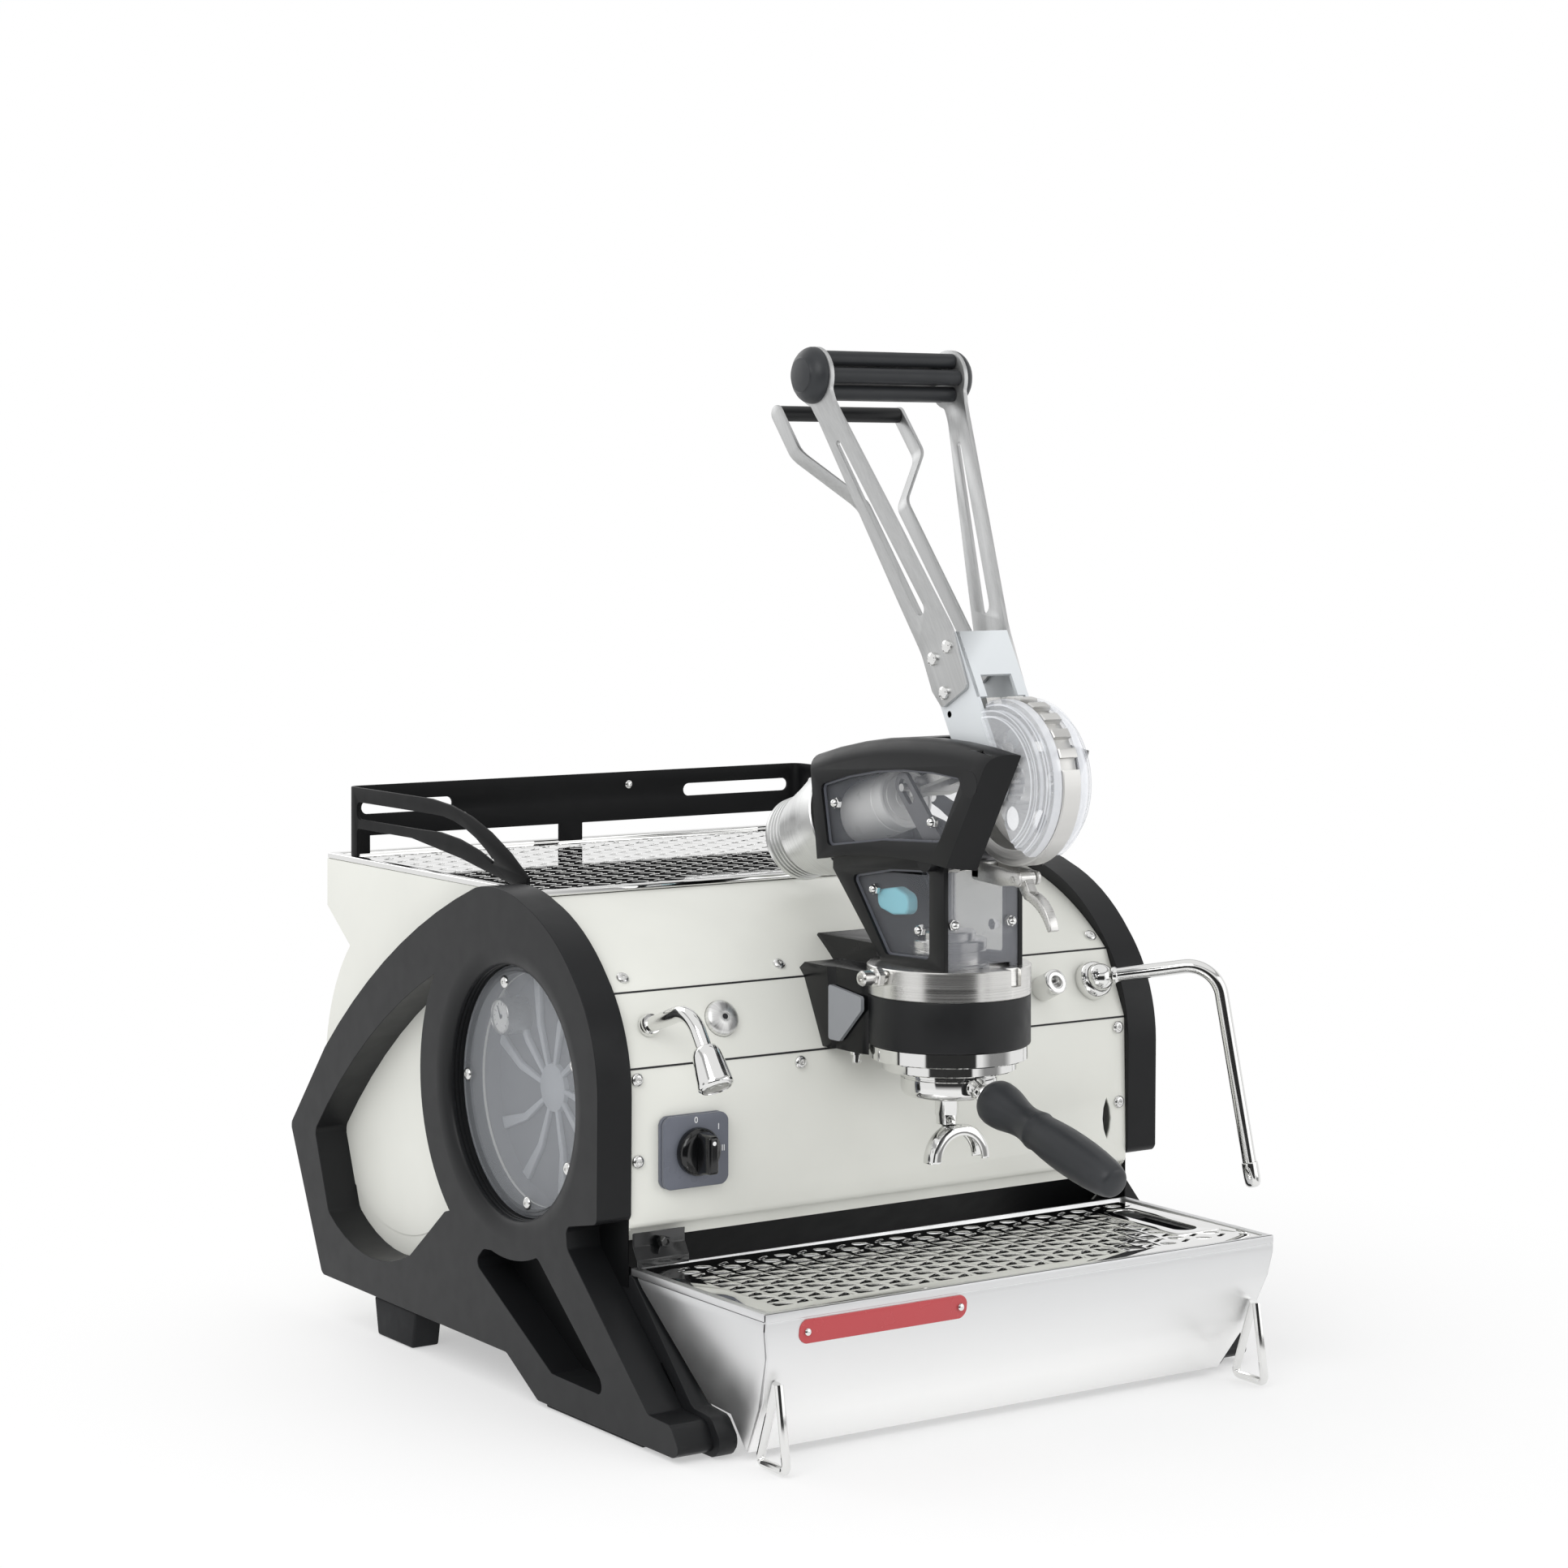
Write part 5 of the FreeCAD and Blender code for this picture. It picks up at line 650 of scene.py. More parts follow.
def make_finishes(c):
    """All materials by name."""
    lean = (math.radians(LEVER_LEAN), 0, 0)
    return {
        "charcoal": painted("satin charcoal paint", c.charcoal, 0.38, 0.10, 1400.0, 0.24),
        "black_sheet": painted("black powder coat", tint(c.charcoal, 0.5), 0.45, 0.10, 1200.0, 0.12),
        "ivory": painted("ivory paint", c.ivory, 0.33, 0.05, 700.0),
        "steel_level": brushed("steel brushed level", c.steel, (14, 700, 700), rough=0.27),
        "steel_round": brushed("steel turned upright", c.steel, (6, 6, 1400), rough=0.2),
        "steel_lever": brushed("steel brushed along the lever", (0.545, 0.55, 0.55), (500, 500, 8), lean, 0.42, 0.05),
        "steel_plain": brushed("steel machined", c.steel, (500, 500, 500), rough=0.3, depth=0.05),
        "chrome": polished("chrome", c.chrome, 0.05),
        "dome": polished("steel dome", tint(c.chrome, 0.95), 0.2),
        "aluminium": brushed("aluminium turned", c.aluminium, (300, 600, 600), rough=0.36, depth=0.12),
        "silver": painted("silver paint", c.silver, 0.42, 0.06, 1200.0),
        "grip": moulded("black grip tube", c.black, 0.42),
        "tubes": moulded("dark grey grip tube", (0.021, 0.0225, 0.025), 0.42),
        "gloss": moulded("gloss black moulding", tint(c.black, 0.5), 0.12, 600.0, 0.02, 0.6),
        "knob": moulded("black knob moulding", c.black, 0.3),
        "grey_plastic": moulded("grey switch plate", (0.40, 0.40, 0.39), 0.35),
        "rubber": moulded("black rubber", tint(c.black, 1.4), 0.75),
        "brass": brushed("brass body", (0.60, 0.42, 0.18), (400, 400, 400), rough=0.3),
        "clear": clear("clear cover", (0.86, 0.88, 0.92), 0.22, rings=True),
        "glazing": clear("clear pane", (0.50, 0.52, 0.57), 0.08),
        "shield": clear("front shield", (0.33, 0.34, 0.37), 0.32),
        "dark_steel": brushed("dark steel", (0.16, 0.16, 0.165), (500, 500, 500), rough=0.35, depth=0.05),
        "button": spun("steel button", c.chrome, panel_point(-143.5, 283.0), PANEL_OUT, 0.34, radial=True),
        "collar": brushed("steel collar", tint(c.steel, 1.15), (4, 4, 900), rough=0.22, depth=0.03),
        "support": painted("gloss black casting", tint(c.charcoal, 0.45), 0.24, 0.03, 700.0, 0.3),
        # Painted reflection: grey for the support's side faces where they catch light.
        "painted_reflection_grey": painted("grey painted reflection", (0.27, 0.28, 0.30), 0.3, 0.02, 500.0),
        "hood": painted("satin black hood", tint(c.charcoal, 0.7), 0.34, 0.08, 1300.0, 0.24),
        # Painted reflection: the steel sleeve is painted pale grey for the light it reflects.
        "sleeve": painted("bright sleeve", (0.72, 0.72, 0.71), 0.3, 0.02, 600.0),
        "barrel": spun("aluminium barrel", c.aluminium, spring_place(0, 20.0), SPRING_AXIS, 0.36),
        "wheel": spun("steel wheel", tint(c.steel, 1.1), (0, *PIVOT), (1, 0, 0), 0.42, rings=700.0),
        "jacket": moulded("black group jacket", c.black, 0.42, 1300.0, 0.06),
        "slate": moulded("slate grip", (0.028, 0.030, 0.033), 0.36, 1300.0, 0.06),
        "plate_grey": moulded("grey switch housing", (0.135, 0.145, 0.175), 0.3, 900.0, 0.04),
        "print": painted("white print", (0.85, 0.85, 0.85), 0.5, 0.0, 300.0),
        # Flat black for print, dots and panel joints, and for the painted shade in the drip tray well.
        "black_print_and_shade": moulded("black dot", (0.02, 0.02, 0.022), 0.5),
        "liner": painted("grey liner", (0.15, 0.155, 0.165), 0.5, 0.03, 500.0),
        "spoke": painted("pale spokes", (0.50, 0.52, 0.55), 0.4, 0.03, 500.0),
        # Painted shade: dark strip for the shaded gap round each hood pane.
        "pane_shade_strip": painted("pane border", (0.10, 0.105, 0.125), 0.3, 0.02, 500.0),
        "porthole": clear("porthole pane", (0.42, 0.44, 0.47), 0.24),
        "mirror": polished("steel mirror sheet", c.chrome, 0.03, 0.02),
        # Drip tray sheet: painted reflection, its colour darker higher up and lighter low down.
        "tray_steel_painted_shade": painted_height_shade("steel bright sheet", (0.99, 0.99, 0.985), (0.74, 0.745, 0.75), 0.03, 0.10, 0.36),
        "link": painted("blue link paint", c.link_blue, 0.4, 0.05, 800.0),
        "dial": painted("white dial", (0.8, 0.8, 0.78), 0.5, 0.02, 400.0),
        "badge": painted("bare badge plate", c.badge, 0.25, 0.03, 500.0),
    }


NODE_FINISHES = {
    "charcoal": ["side_frame_left", "side_frame_right", "inner_legs", "group_support", "hood_frame"],
    "black_sheet": ["base_pan", "cup_rail"],
    "ivory": ["lower_front_panel", "middle_front_panel", "top_front_panel", "side_covers", "rear_cover"],
    "steel_level": ["cup_tray", "drip_tray", "drip_grate", "tray_feet", "trigger"],
    "steel_round": ["group_collar", "piston", "spring_sleeve", "filter_basket"],
    "steel_lever": ["lever_arms", "release_fork"],
    "steel_plain": ["steam_boiler", "coffee_boiler", "pull_rod", "hub_gear", "index_ring", "pawl", "main_spring",
                    "steam_knob"],
    "dark_steel": ["rocker"],
    "chrome": ["panel_screws", "hot_water_button", "hot_water_spout", "steam_flange", "steam_ball", "steam_wand",
               "bayonet_flange", "hood_nuts", "lever_screws", "portafilter_body", "portafilter_spout"],
    "aluminium": ["spring_barrel"],
    "silver": ["lever_channel"],
    "grip": ["handle_tubes", "fork_tube", "group_jacket"],
    "gloss": ["handle_caps", "portafilter_grip"],
    "knob": ["switch_knob", "pressure_gauge"],
    "grey_plastic": ["switch_plate"],
    "rubber": ["rubber_feet", "group_gasket"],
    "brass": ["group_cylinder"],
    "clear": ["porthole_windows", "hood_windows", "front_shield", "gear_covers"],
}


class ESPRESSO_OT_finishes(bpy.types.Operator):
    """Paint every piece of the CAD frame with its finish"""

    bl_idname = "espresso.finishes"
    bl_label = "Finishes"

    def execute(self, context):
        FINISHES.update(make_finishes(context.scene.machine_colours))
        for finish, nodes in NODE_FINISHES.items():
            for node in nodes:
                paint(frame["nodes"][node], FINISHES[finish])
        return {"FINISHED"}



FRAME_OUTER = FRAME_OUTER_X
FRAME_INNER = 231.0
FRAME_OUTLINE = [
    (494.0, 146.0), (436.0, 31.0), (130.0, 29.0), (83.0, 3.0), (-104.0, 3.0), (-113.0, 8.0), (-101.0, 25.0),
    (-72.0, 26.0), (40.0, 122.0), (42.0, 138.0), (-2.0, 147.0), (-3.0, 235.0),
    *arc((-3.0, 235.0), (7.4, 284.0), (31.0, 319.0), 4),
    *arc((31.0, 319.0), (63.0, 347.0), (106.0, 367.0), 4),
    *arc((106.0, 367.0), (142.0, 375.0), (178.0, 372.0), 4),
    *arc((178.0, 372.0), (331.0, 297.0), (431.0, 218.0), 2.5),
]
REAR_OPENING = [
    (205.0, 315.0), (238.0, 301.0), *arc((238.0, 301.0), (352.0, 236.0), (449.0, 147.0), 3), (424.0, 84.0),
    *arc((424.0, 84.0), (345.0, 60.0), (283.0, 74.0), 6), (226.0, 118.0), (180.0, 130.0),
]
LEG_OPENING = [(84.0, 108.0), (-8.0, 36.0), (-8.0, 26.0), (62.0, 27.0), (178.0, 88.0), (165.0, 100.0)]
PORTHOLE = (130.0, 223.0)
PORTHOLE_R = 95.0
PORTHOLE_LIP_R = 88.0
PANE_DEPTH = 14.0
PANE_X = FRAME_OUTER - PANE_DEPTH


def disc_tool(centre, radius, x0, x1, count=120):
    """Round bar along X, used to cut or to trim."""
    return slab("tool", round_outline(centre, radius, count), side_view(x0), (x1 - x0, 0, 0))


class ESPRESSO_OT_side_frames(bpy.types.Operator):
    """Model the cast side frames, the inner legs, the porthole panes and the rubber feet"""

    bl_idname = "espresso.side_frames"
    bl_label = "Side frames"

    def execute(self, context):
        edge = context.scene.machine_sizes.frame_edge / MM
        frame_left = self.side_frame(edge)
        frame_right = mirrored(frame_left, "casting_right")
        finish_piece(frame_left, "machine", ["side_frame_left"], FINISHES["charcoal"], 40)
        finish_piece(frame_right, "machine", ["side_frame_right"], FINISHES["charcoal"], 40)
        for piece in (frame_left, frame_right):
            shape_with(piece, "WEIGHTED_NORMAL", keep_sharp=True)
        leg = self.inner_leg()
        finish_piece(joined("tray_legs", [leg, mirrored(leg)]), "machine", ["inner_legs"], FINISHES["charcoal"])
        back = slab("leg_back", softened(LEG_OPENING, 6), side_view(-FRAME_INNER), (-1.5, 0, 0))
        notch = slab("leg_back", [(1.5, 150.0), (46.0, 150.0), (46.0, 118.0), (24.0, 98.0), (1.5, 98.0)],
                     side_view(-FRAME_INNER), (-0.8, 0, 0))
        backs = [back, notch]
        backs += [mirrored(piece) for piece in backs]
        finish_piece(joined("leg_backs", backs), "machine", [], FINISHES["black_sheet"])
        round_plate = slab("round_plate", softened(REAR_OPENING, 7), side_view(-FRAME_INNER), (-0.8, 0, 0))
        cut(round_plate, disc_tool((352.0, 207.0), 131.0, -240, -220), operation="INTERSECT")
        finish_piece(joined("round_plates", [round_plate, mirrored(round_plate)]), "machine", [], FINISHES["ivory"])
        pane = self.pane()
        finish_piece(joined("porthole_panes", [pane, mirrored(pane)]), "machine", ["porthole_windows"],
                     FINISHES["porthole"])
        self.feet()
        return {"FINISHED"}

    def side_frame(self, edge):
        piece = slab("casting_left", softened(FRAME_OUTLINE, 5), side_view(-FRAME_OUTER),
                     (FRAME_OUTER - FRAME_INNER, 0, 0))
        low, high = -FRAME_OUTER - 2, -FRAME_INNER + 2
        rear = slab("tool", softened(REAR_OPENING, 7), side_view(low), (high - low, 0, 0))
        leg = slab("tool", softened(LEG_OPENING, 6), side_view(low), (high - low, 0, 0))
        cut(rear, disc_tool(PORTHOLE, 136.0, low - 2, high + 2))
        cut(leg, disc_tool(PORTHOLE, 124.0, low - 2, high + 2))
        cut(piece, rear, leg)
        tidy_mesh(piece, 0.0009)
        bevel(piece, edge, 4, 40)
        wide, deep = 15.0, 6.0
        rim = [(PORTHOLE_R + wide * (1 - math.sin(a)), deep * (1 - math.cos(a)))
               for a in (math.radians(d) for d in range(0, 91, 9))]
        grooves = [(PORTHOLE_R, 7.5), (PORTHOLE_R + 1.2, 8.1), (PORTHOLE_R + 1.2, 8.9), (PORTHOLE_R, 9.5),
                   (PORTHOLE_R, 11.0), (PORTHOLE_R + 1.2, 11.6), (PORTHOLE_R + 1.2, 12.4), (PORTHOLE_R, 13.0)]
        profile = [(0, -3), (PORTHOLE_R + wide, -3), *rim, *grooves, (PORTHOLE_R, 18), (PORTHOLE_LIP_R, 18),
                   (PORTHOLE_LIP_R, 40), (0, 40)]
        return cut(piece, turned("tool", profile, (-FRAME_OUTER, *PORTHOLE), (1, 0, 0), 128))

    def inner_leg(self):
        outline = [(32.0, 107.0), (-4.0, 107.0), (-84.0, 30.0), (-108.0, 28.0), (-122.0, 12.0), (-112.0, 0.5),
                   (-60.0, 0.5), (32.0, 52.0)]
        piece = slab("leg", softened(outline, 7), side_view(-FRAME_INNER), (15.0, 0, 0))
        slot = slab("tool", softened([(-62.0, 36.0), (-40.0, 56.0), (-44.0, 40.0), (-60.0, 28.0)], 3),
                    side_view(-FRAME_INNER - 2), (20.0, 0, 0))
        return bevel(cut(piece, slot), 2.0, 3, 40)

    def pane(self):
        """Clear disc with a stepped rim."""
        r = PORTHOLE_R - 0.4
        profile = [(0, 0), (r - 5, 0), (r - 4.4, 0.9), (r - 2.2, 0.9), (r - 1.6, 1.6), (r - 0.3, 1.9), (r, 2.6),
                   (r, 4), (0, 4)]
        return turned("pane", profile, (-PANE_X, *PORTHOLE), (1, 0, 0), 96)

    def feet(self):
        """Rubber pads with a chamfered foot."""
        middle = -(FRAME_INNER + FRAME_OUTER) / 2
        front = block("pad", (middle - 12, -60, 0), (middle + 12, 74, 3.0))
        bevel(front, 1.0, 2)
        rear = slab("pad", [(284, 0), (342, 0), (348, 29.6), (278, 29.2)], side_view(middle - 12), (24, 0, 0))
        bevel(rear, 2.0, 3)
        pads = [front, rear]
        pads += [mirrored(pad) for pad in pads]
        finish_piece(joined("rubber_pads", pads), "machine", ["rubber_feet"], FINISHES["rubber"])


BODY_HALF = 231.0
SHEET = 2.0
SEAM_LOW = (2.0, 255.0)
SEAM_HIGH = (25.0, 307.0)
PANEL_FOOT = 139.0


def panel_point(x, z, out=0.0):
    """Point on the sloping middle panel, or off it by a distance."""
    share = (z - SEAM_LOW[1]) / (SEAM_HIGH[1] - SEAM_LOW[1])
    y = SEAM_LOW[0] + share * (SEAM_HIGH[0] - SEAM_LOW[0])
    return Vector((x, y, z)) + PANEL_OUT * out


PANEL_OUT = Vector((0, -(SEAM_HIGH[1] - SEAM_LOW[1]), SEAM_HIGH[0] - SEAM_LOW[0])).normalized()


class ESPRESSO_OT_panels(bpy.types.Operator):
    """Model the ivory front panels, the black strip below them and the small plate at its left end"""

    bl_idname = "espresso.panels"
    bl_label = "Panels"

    def execute(self, context):
        self.lower_panel()
        self.middle_panel()
        self.top_panel()
        self.seams()
        self.floor_sheet()
        self.bent_plate()
        return {"FINISHED"}

    def sheet(self, name, outer, thick):
        """Sheet bent along an outer profile of Y and Z points, thickness to the inside."""
        inner = []
        for index, point in enumerate(outer):
            before, after = outer[max(index - 1, 0)], outer[min(index + 1, len(outer) - 1)]
            along = (Vector(after) - Vector(before)).normalized()
            inner.append((point[0] + along.y * thick, point[1] - along.x * thick))
        return slab(name, [*outer, *inner[::-1]], side_view(-BODY_HALF), (2 * BODY_HALF, 0, 0))

    def lower_panel(self):
        outer = [(5.6, 131.0), (5.4, 138.5), (4.6, 139.2), (2.4, 139.6), (0.9, 141.2), (0.25, 144.0), (0.3, 160.0), (1.99, 254.4)]
        piece = self.sheet("panel_lower", outer, SHEET)
        x, z, half, wide = 212.0, 176.0, 16.5, 4.2
        lens = arc((x, z - half), (x + wide, z), (x, z + half), 12) + arc((x, z + half), (x - wide, z), (x, z - half), 12)
        cut(piece, slab("tool", lens, front_view(-5), (0, 13, 0)))
        finish_piece(bevel(piece, 0.4, 2, 50), "machine", ["lower_front_panel"], FINISHES["ivory"], 50)

    def middle_panel(self):
        outer = [(2.05, 255.0), (2.3, 255.7), *[(2.0 + 23.0 * s, 255.0 + 52.0 * s) for s in (0.03, 0.5, 0.97)],
                 (24.8, 306.6), (25.0, 307.0)]
        piece = self.sheet("panel_middle", outer, SHEET)
        hole = turned("tool", [(0, -10), (13.8, -10), (13.8, 10), (0, 10)], panel_point(-143.5, 283.0), PANEL_OUT, 48)
        cut(piece, hole)
        finish_piece(piece, "machine", ["middle_front_panel"], FINISHES["ivory"], 50)

    def top_panel(self):
        low = (25.6, 307.6)
        outer = [low, *arc(low, (75.0, 343.0), (137.0, 366.0), 2)]
        piece = self.sheet("panel_top", outer, SHEET)
        finish_piece(bevel(piece, 0.4, 2, 50), "machine", ["top_front_panel"], FINISHES["ivory"], 50)

    def seams(self):
        """Dark lines where one panel ends and the next begins."""
        lines = []
        for place in (SEAM_LOW, SEAM_HIGH):
            low, high = (Vector(place) + Vector((SEAM_HIGH[0] - SEAM_LOW[0], 52.0)).normalized() * k for k in (-0.7, 0.7))
            out = Vector((PANEL_OUT.y, PANEL_OUT.z)) * 0.25
            path = [low + out, high + out, high - out * 8, low - out * 8]
            lines.append(slab("seam", [tuple(p) for p in path], side_view(-BODY_HALF + 0.2), (2 * BODY_HALF - 0.4, 0, 0)))
        finish_piece(joined("panel_seams", lines), "machine", [], FINISHES["black_print_and_shade"])

    def floor_sheet(self):
        half = BODY_HALF - SHEET
        outline = [(334.5, 38.0), (70.0, 38.0), (44.0, 100.0), (9.0, 132.5), (9.0, 145.0), (10.6, 145.0),
                   (46.0, 101.2), (71.5, 40.0), (334.5, 40.0)]
        piece = slab("floor_sheet", outline, side_view(-half), (2 * half, 0, 0))
        finish_piece(bevel(piece, 0.5, 2, 20), "machine", ["base_pan"], FINISHES["black_sheet"])

    def bent_plate(self):
        """Black plate between the left frame and the tray, with its bolt."""
        outline = [(-4.0, 138.0), (-2.0, 137.0), (-2.0, 127.0), (-8.0, 118.0), (-8.0, 113.5), (-10.0, 113.5),
                   (-10.0, 119.0), (-4.0, 128.0)]
        plate = slab("corner_plate", outline, side_view(-BODY_HALF + 0.5), (44.0, 0, 0))
        finish_piece(bevel(plate, 0.6, 2), "machine", [], FINISHES["gloss"])
        bolt = turned("corner_bolt", [(0, 0), (4.2, 0), (4.2, 6), (3.6, 6.6), (2.6, 6.6), (2.2, 5.2), (0, 5.2)],
                      (-209.0, -8.0, 131.0), (0, -1, 0), 6)
        finish_piece(bolt, "machine", [], FINISHES["gloss"], 20)


def slot_outline(length, width, slant, centre=(0.0, 0.0)):
    """Twelve points of a round-ended slot, slanting by degrees."""
    half, r = length / 2 - width / 2, width / 2
    points = [(half + r * math.cos(math.radians(a)), r * math.sin(math.radians(a))) for a in (-90, -50, 0, 50, 90)]
    points += [(0, r)]
    points += [(-half - r * math.cos(math.radians(a)), r * math.sin(math.radians(a))) for a in (90, 50, 0, -50, -90)]
    points += [(0, -r)]
    turn = math.radians(slant)
    return [(centre[0] + x * math.cos(turn) - y * math.sin(turn), centre[1] + x * math.sin(turn) + y * math.cos(turn))
            for x, y in points]


def slotted_sheet(name, low, high, top, thick, pitch, slot, skip=()):
    """Sheet with slots that slant by turns: one group of four cells, repeated, inside a plain border."""
    columns = 2 * int((high[0] - low[0] - 14) / pitch[0] / 2)
    rows = 2 * int((high[1] - low[1] - 10) / pitch[1] / 2)
    left = (low[0] + high[0] - columns * pitch[0]) / 2
    front = (low[1] + high[1] - rows * pitch[1]) / 2
    cells = []
    for row in range(2):
        for column in range(2):
            x0, y0 = left + column * pitch[0], front + row * pitch[1]
            slant = slot[2] if (row + column) % 2 else -slot[2]
            centre = (x0 + pitch[0] / 2, y0 + pitch[1] / 2)
            square = [(x0, y0), (x0 + pitch[0], y0), (x0 + pitch[0], y0 + pitch[1]), (x0, y0 + pitch[1])]
            cells.append(filled_between("cell", square, [slot_outline(slot[0], slot[1], slant, centre)], plan_view(top)))
    piece = joined(name, cells)
    for count, offset in ((columns // 2, (2 * pitch[0] * MM, 0, 0)), (rows // 2, (0, 2 * pitch[1] * MM, 0))):
        shape_with(piece, "ARRAY", count=count, use_relative_offset=False, use_constant_offset=True,
                   constant_offset_displace=offset, use_merge_vertices=True, merge_threshold=0.00005)
    right, back = left + columns * pitch[0], front + rows * pitch[1]
    inner = [(left + i * pitch[0], front) for i in range(columns)]
    inner += [(right, front + i * pitch[1]) for i in range(rows)]
    inner += [(right - i * pitch[0], back) for i in range(columns)]
    inner += [(left, back - i * pitch[1]) for i in range(rows)]
    outer = [low, (high[0], low[1]), high, (low[0], high[1])]
    border = filled_between("border", outer, [inner], plan_view(top))
    piece = joined(name, [piece, border])
    tidy_mesh(piece, 0.00005)
    take(piece)
    bpy.ops.object.mode_set(mode="EDIT")
    bpy.ops.mesh.select_all(action="SELECT")
    bpy.ops.mesh.normals_make_consistent(inside=False)
    bpy.ops.object.mode_set(mode="OBJECT")
    if piece.data.polygons[0].normal.z < 0:
        bpy.ops.object.mode_set(mode="EDIT")
        bpy.ops.mesh.flip_normals()
        bpy.ops.object.mode_set(mode="OBJECT")
    shape_with(piece, "SOLIDIFY", thickness=thick * MM, offset=-1.0)
    return piece


class ESPRESSO_OT_drip_tray(bpy.types.Operator):
    """Model the drip tray, its slotted grate, the bent-rod feet and the bare plate on its front"""

    bl_idname = "espresso.drip_tray"
    bl_label = "Drip tray"

    def execute(self, context):
        self.tray()
        self.grate()
        # Black sheet under the grate's long slot: painted shade in the well below it.
        finish_piece(block("well_painted_shade", (150.0, -128.0, 104.0), (229.0, -46.0, 105.0)), "machine", [], FINISHES["black_print_and_shade"])
        self.badge_plate()
        self.feet()
        return {"FINISHED"}

    def tray(self):
        half, top, low = 230.0, 112.0, 6.0
        front_path = [(-175.0, top), (-174.6, 100.0), (-172.0, 82.0), (-158.0, 47.0), (-130.0, low)]
        back_path = [(-127.0, low), (-151.0, 42.0), (-169.0, 80.0), (-173.0, 108.0), (-173.0, top)]
        taper = [(-half, top + 1), (-half, 100.0), (-half + 17, 0), (half - 17, 0), (half, 100.0), (half, top + 1)]
        inner = [(-half + 1.5, top + 2), (-half + 1.5, 100.0), (-half + 18.5, -1), (half - 18.5, -1),
                 (half - 1.5, 100.0), (half - 1.5, top + 2)]
        front = slab("front", front_path + back_path, side_view(-half), (2 * half, 0, 0))
        shape = slab("tool", taper, front_view(-300), (0, 400, 0))
        cut(front, shape, operation="INTERSECT")
        cut(front, block("tool", (-half + 2, -176.0, top - 6.4), (half - 2, -174.3, top - 5.6)))
        side = [*front_path, (-126.0, low), (-113.0, 29.5), (-85.5, 31.5), (-8.0, 106.5), (-175.0, 106.5)]
        ends = slab("ends", side[1:], side_view(-half), (2 * half, 0, 0))
        cut(ends, slab("tool", taper, front_view(-300), (0, 400, 0)), operation="INTERSECT")
        cut(ends, slab("tool", inner, front_view(-300), (0, 400, 0)))
        rim = filled_between("rim", [(-half, -174.9), (half, -174.9), (half, 0.0), (-half, 0.0)],
                             [[(-half + 12, -165.0), (half - 12, -165.0), (half - 12, -6.0), (-half + 12, -6.0)]],
                             plan_view(top))
        self.solid(rim, 5.0)
        cut(rim, block("tool", (-half + 6, -170.0, top - 2.5), (half - 6, -2.0, top + 3)))
        pan_half = 215.0
        pan = block("pan", (-pan_half, -153, 44), (pan_half, -4, 107.2))
        cut(pan, block("tool", (-pan_half + 2, -151, 46), (pan_half - 2, -6, 112)))
        for piece in (front, ends, rim, pan):
            bevel(piece, 0.7, 2, 30)
        # The tray's finish paints its reflection: darker towards the top, lighter towards the bottom.
        finish_piece(joined("tray", [front, ends, rim, pan]), "machine", ["drip_tray"], FINISHES["tray_steel_painted_shade"], 30)

    def solid(self, piece, thick):
        """Gives a flat sheet its thickness downwards."""
        tidy_mesh(piece)
        if piece.data.polygons[0].normal.z < 0:
            bpy.ops.object.mode_set(mode="EDIT")
            bpy.ops.mesh.flip_normals()
            bpy.ops.object.mode_set(mode="OBJECT")
        return shape_with(piece, "SOLIDIFY", thickness=thick * MM, offset=-1.0)

    def grate(self):
        half = 223.7
        piece = slotted_sheet("grate", (-half, -169.7), (half, -2.3), 111.5, 2.0, (17.4, 11.6), (12.6, 3.6, 30.0))
        border = block("border", (171.0, -134.0, 109.2), (214.0, -28.0, 112.0))
        cut(piece, block("tool", (171.4, -133.6, 105.0), (213.6, -28.4, 115.0)))
        cut(border, slab("tool", softened([(182, -124), (203, -124), (203, -38), (182, -38)], 8), plan_view(100), (0, 0, 20)))
        bevel(piece, 0.45, 2, 50)
        piece = joined("grate", [piece, bevel(border, 0.6, 2)])
        finish_piece(piece, "grate", ["drip_grate"], FINISHES["mirror"], 40)

    def badge_plate(self):
        """Bare plate with round ends, held by two small screws."""
        x0, x1, z0, z1 = -202.0, -59.0, 88.0, 105.0
        outline = softened([(x0, z0), (x1, z0), (x1, z1), (x0, z1)], 6, 10)
        plate = slab("front_plate", outline, front_view(-174.4), (0, -2.0, 0))
        for vertex in plate.data.vertices:
            vertex.co.y += (vertex.co.z / MM - 105.0) * -0.11 * MM
        finish_piece(bevel(plate, 0.5, 3), "machine", [], FINISHES["badge"])
        heads = []
        for x in (x0 + 6, x1 - 6):
            heads.append(turned("plate_screw", [(0, 0), (2.6, 0), (2.5, 0.8), (1.5, 1.4), (0, 1.6)],
                                (x, -175.9, 96.5), (0, -1, 0.1), 24))
        finish_piece(joined("plate_screws", heads), "machine", [], FINISHES["chrome"])

    def feet(self):
        x = -216.4
        path = [(x, -168.0, 62.0), (x, -147.0, 4.5), (x, -180.5, 4.2), (x, -171.0, 62.0)]
        foot = tube("tray_rod", path, 3.2, 4.0, 16, 6)
        both = joined("tray_rods", [foot, mirrored(foot)])
        finish_piece(both, "machine", ["tray_feet"], FINISHES["chrome"])


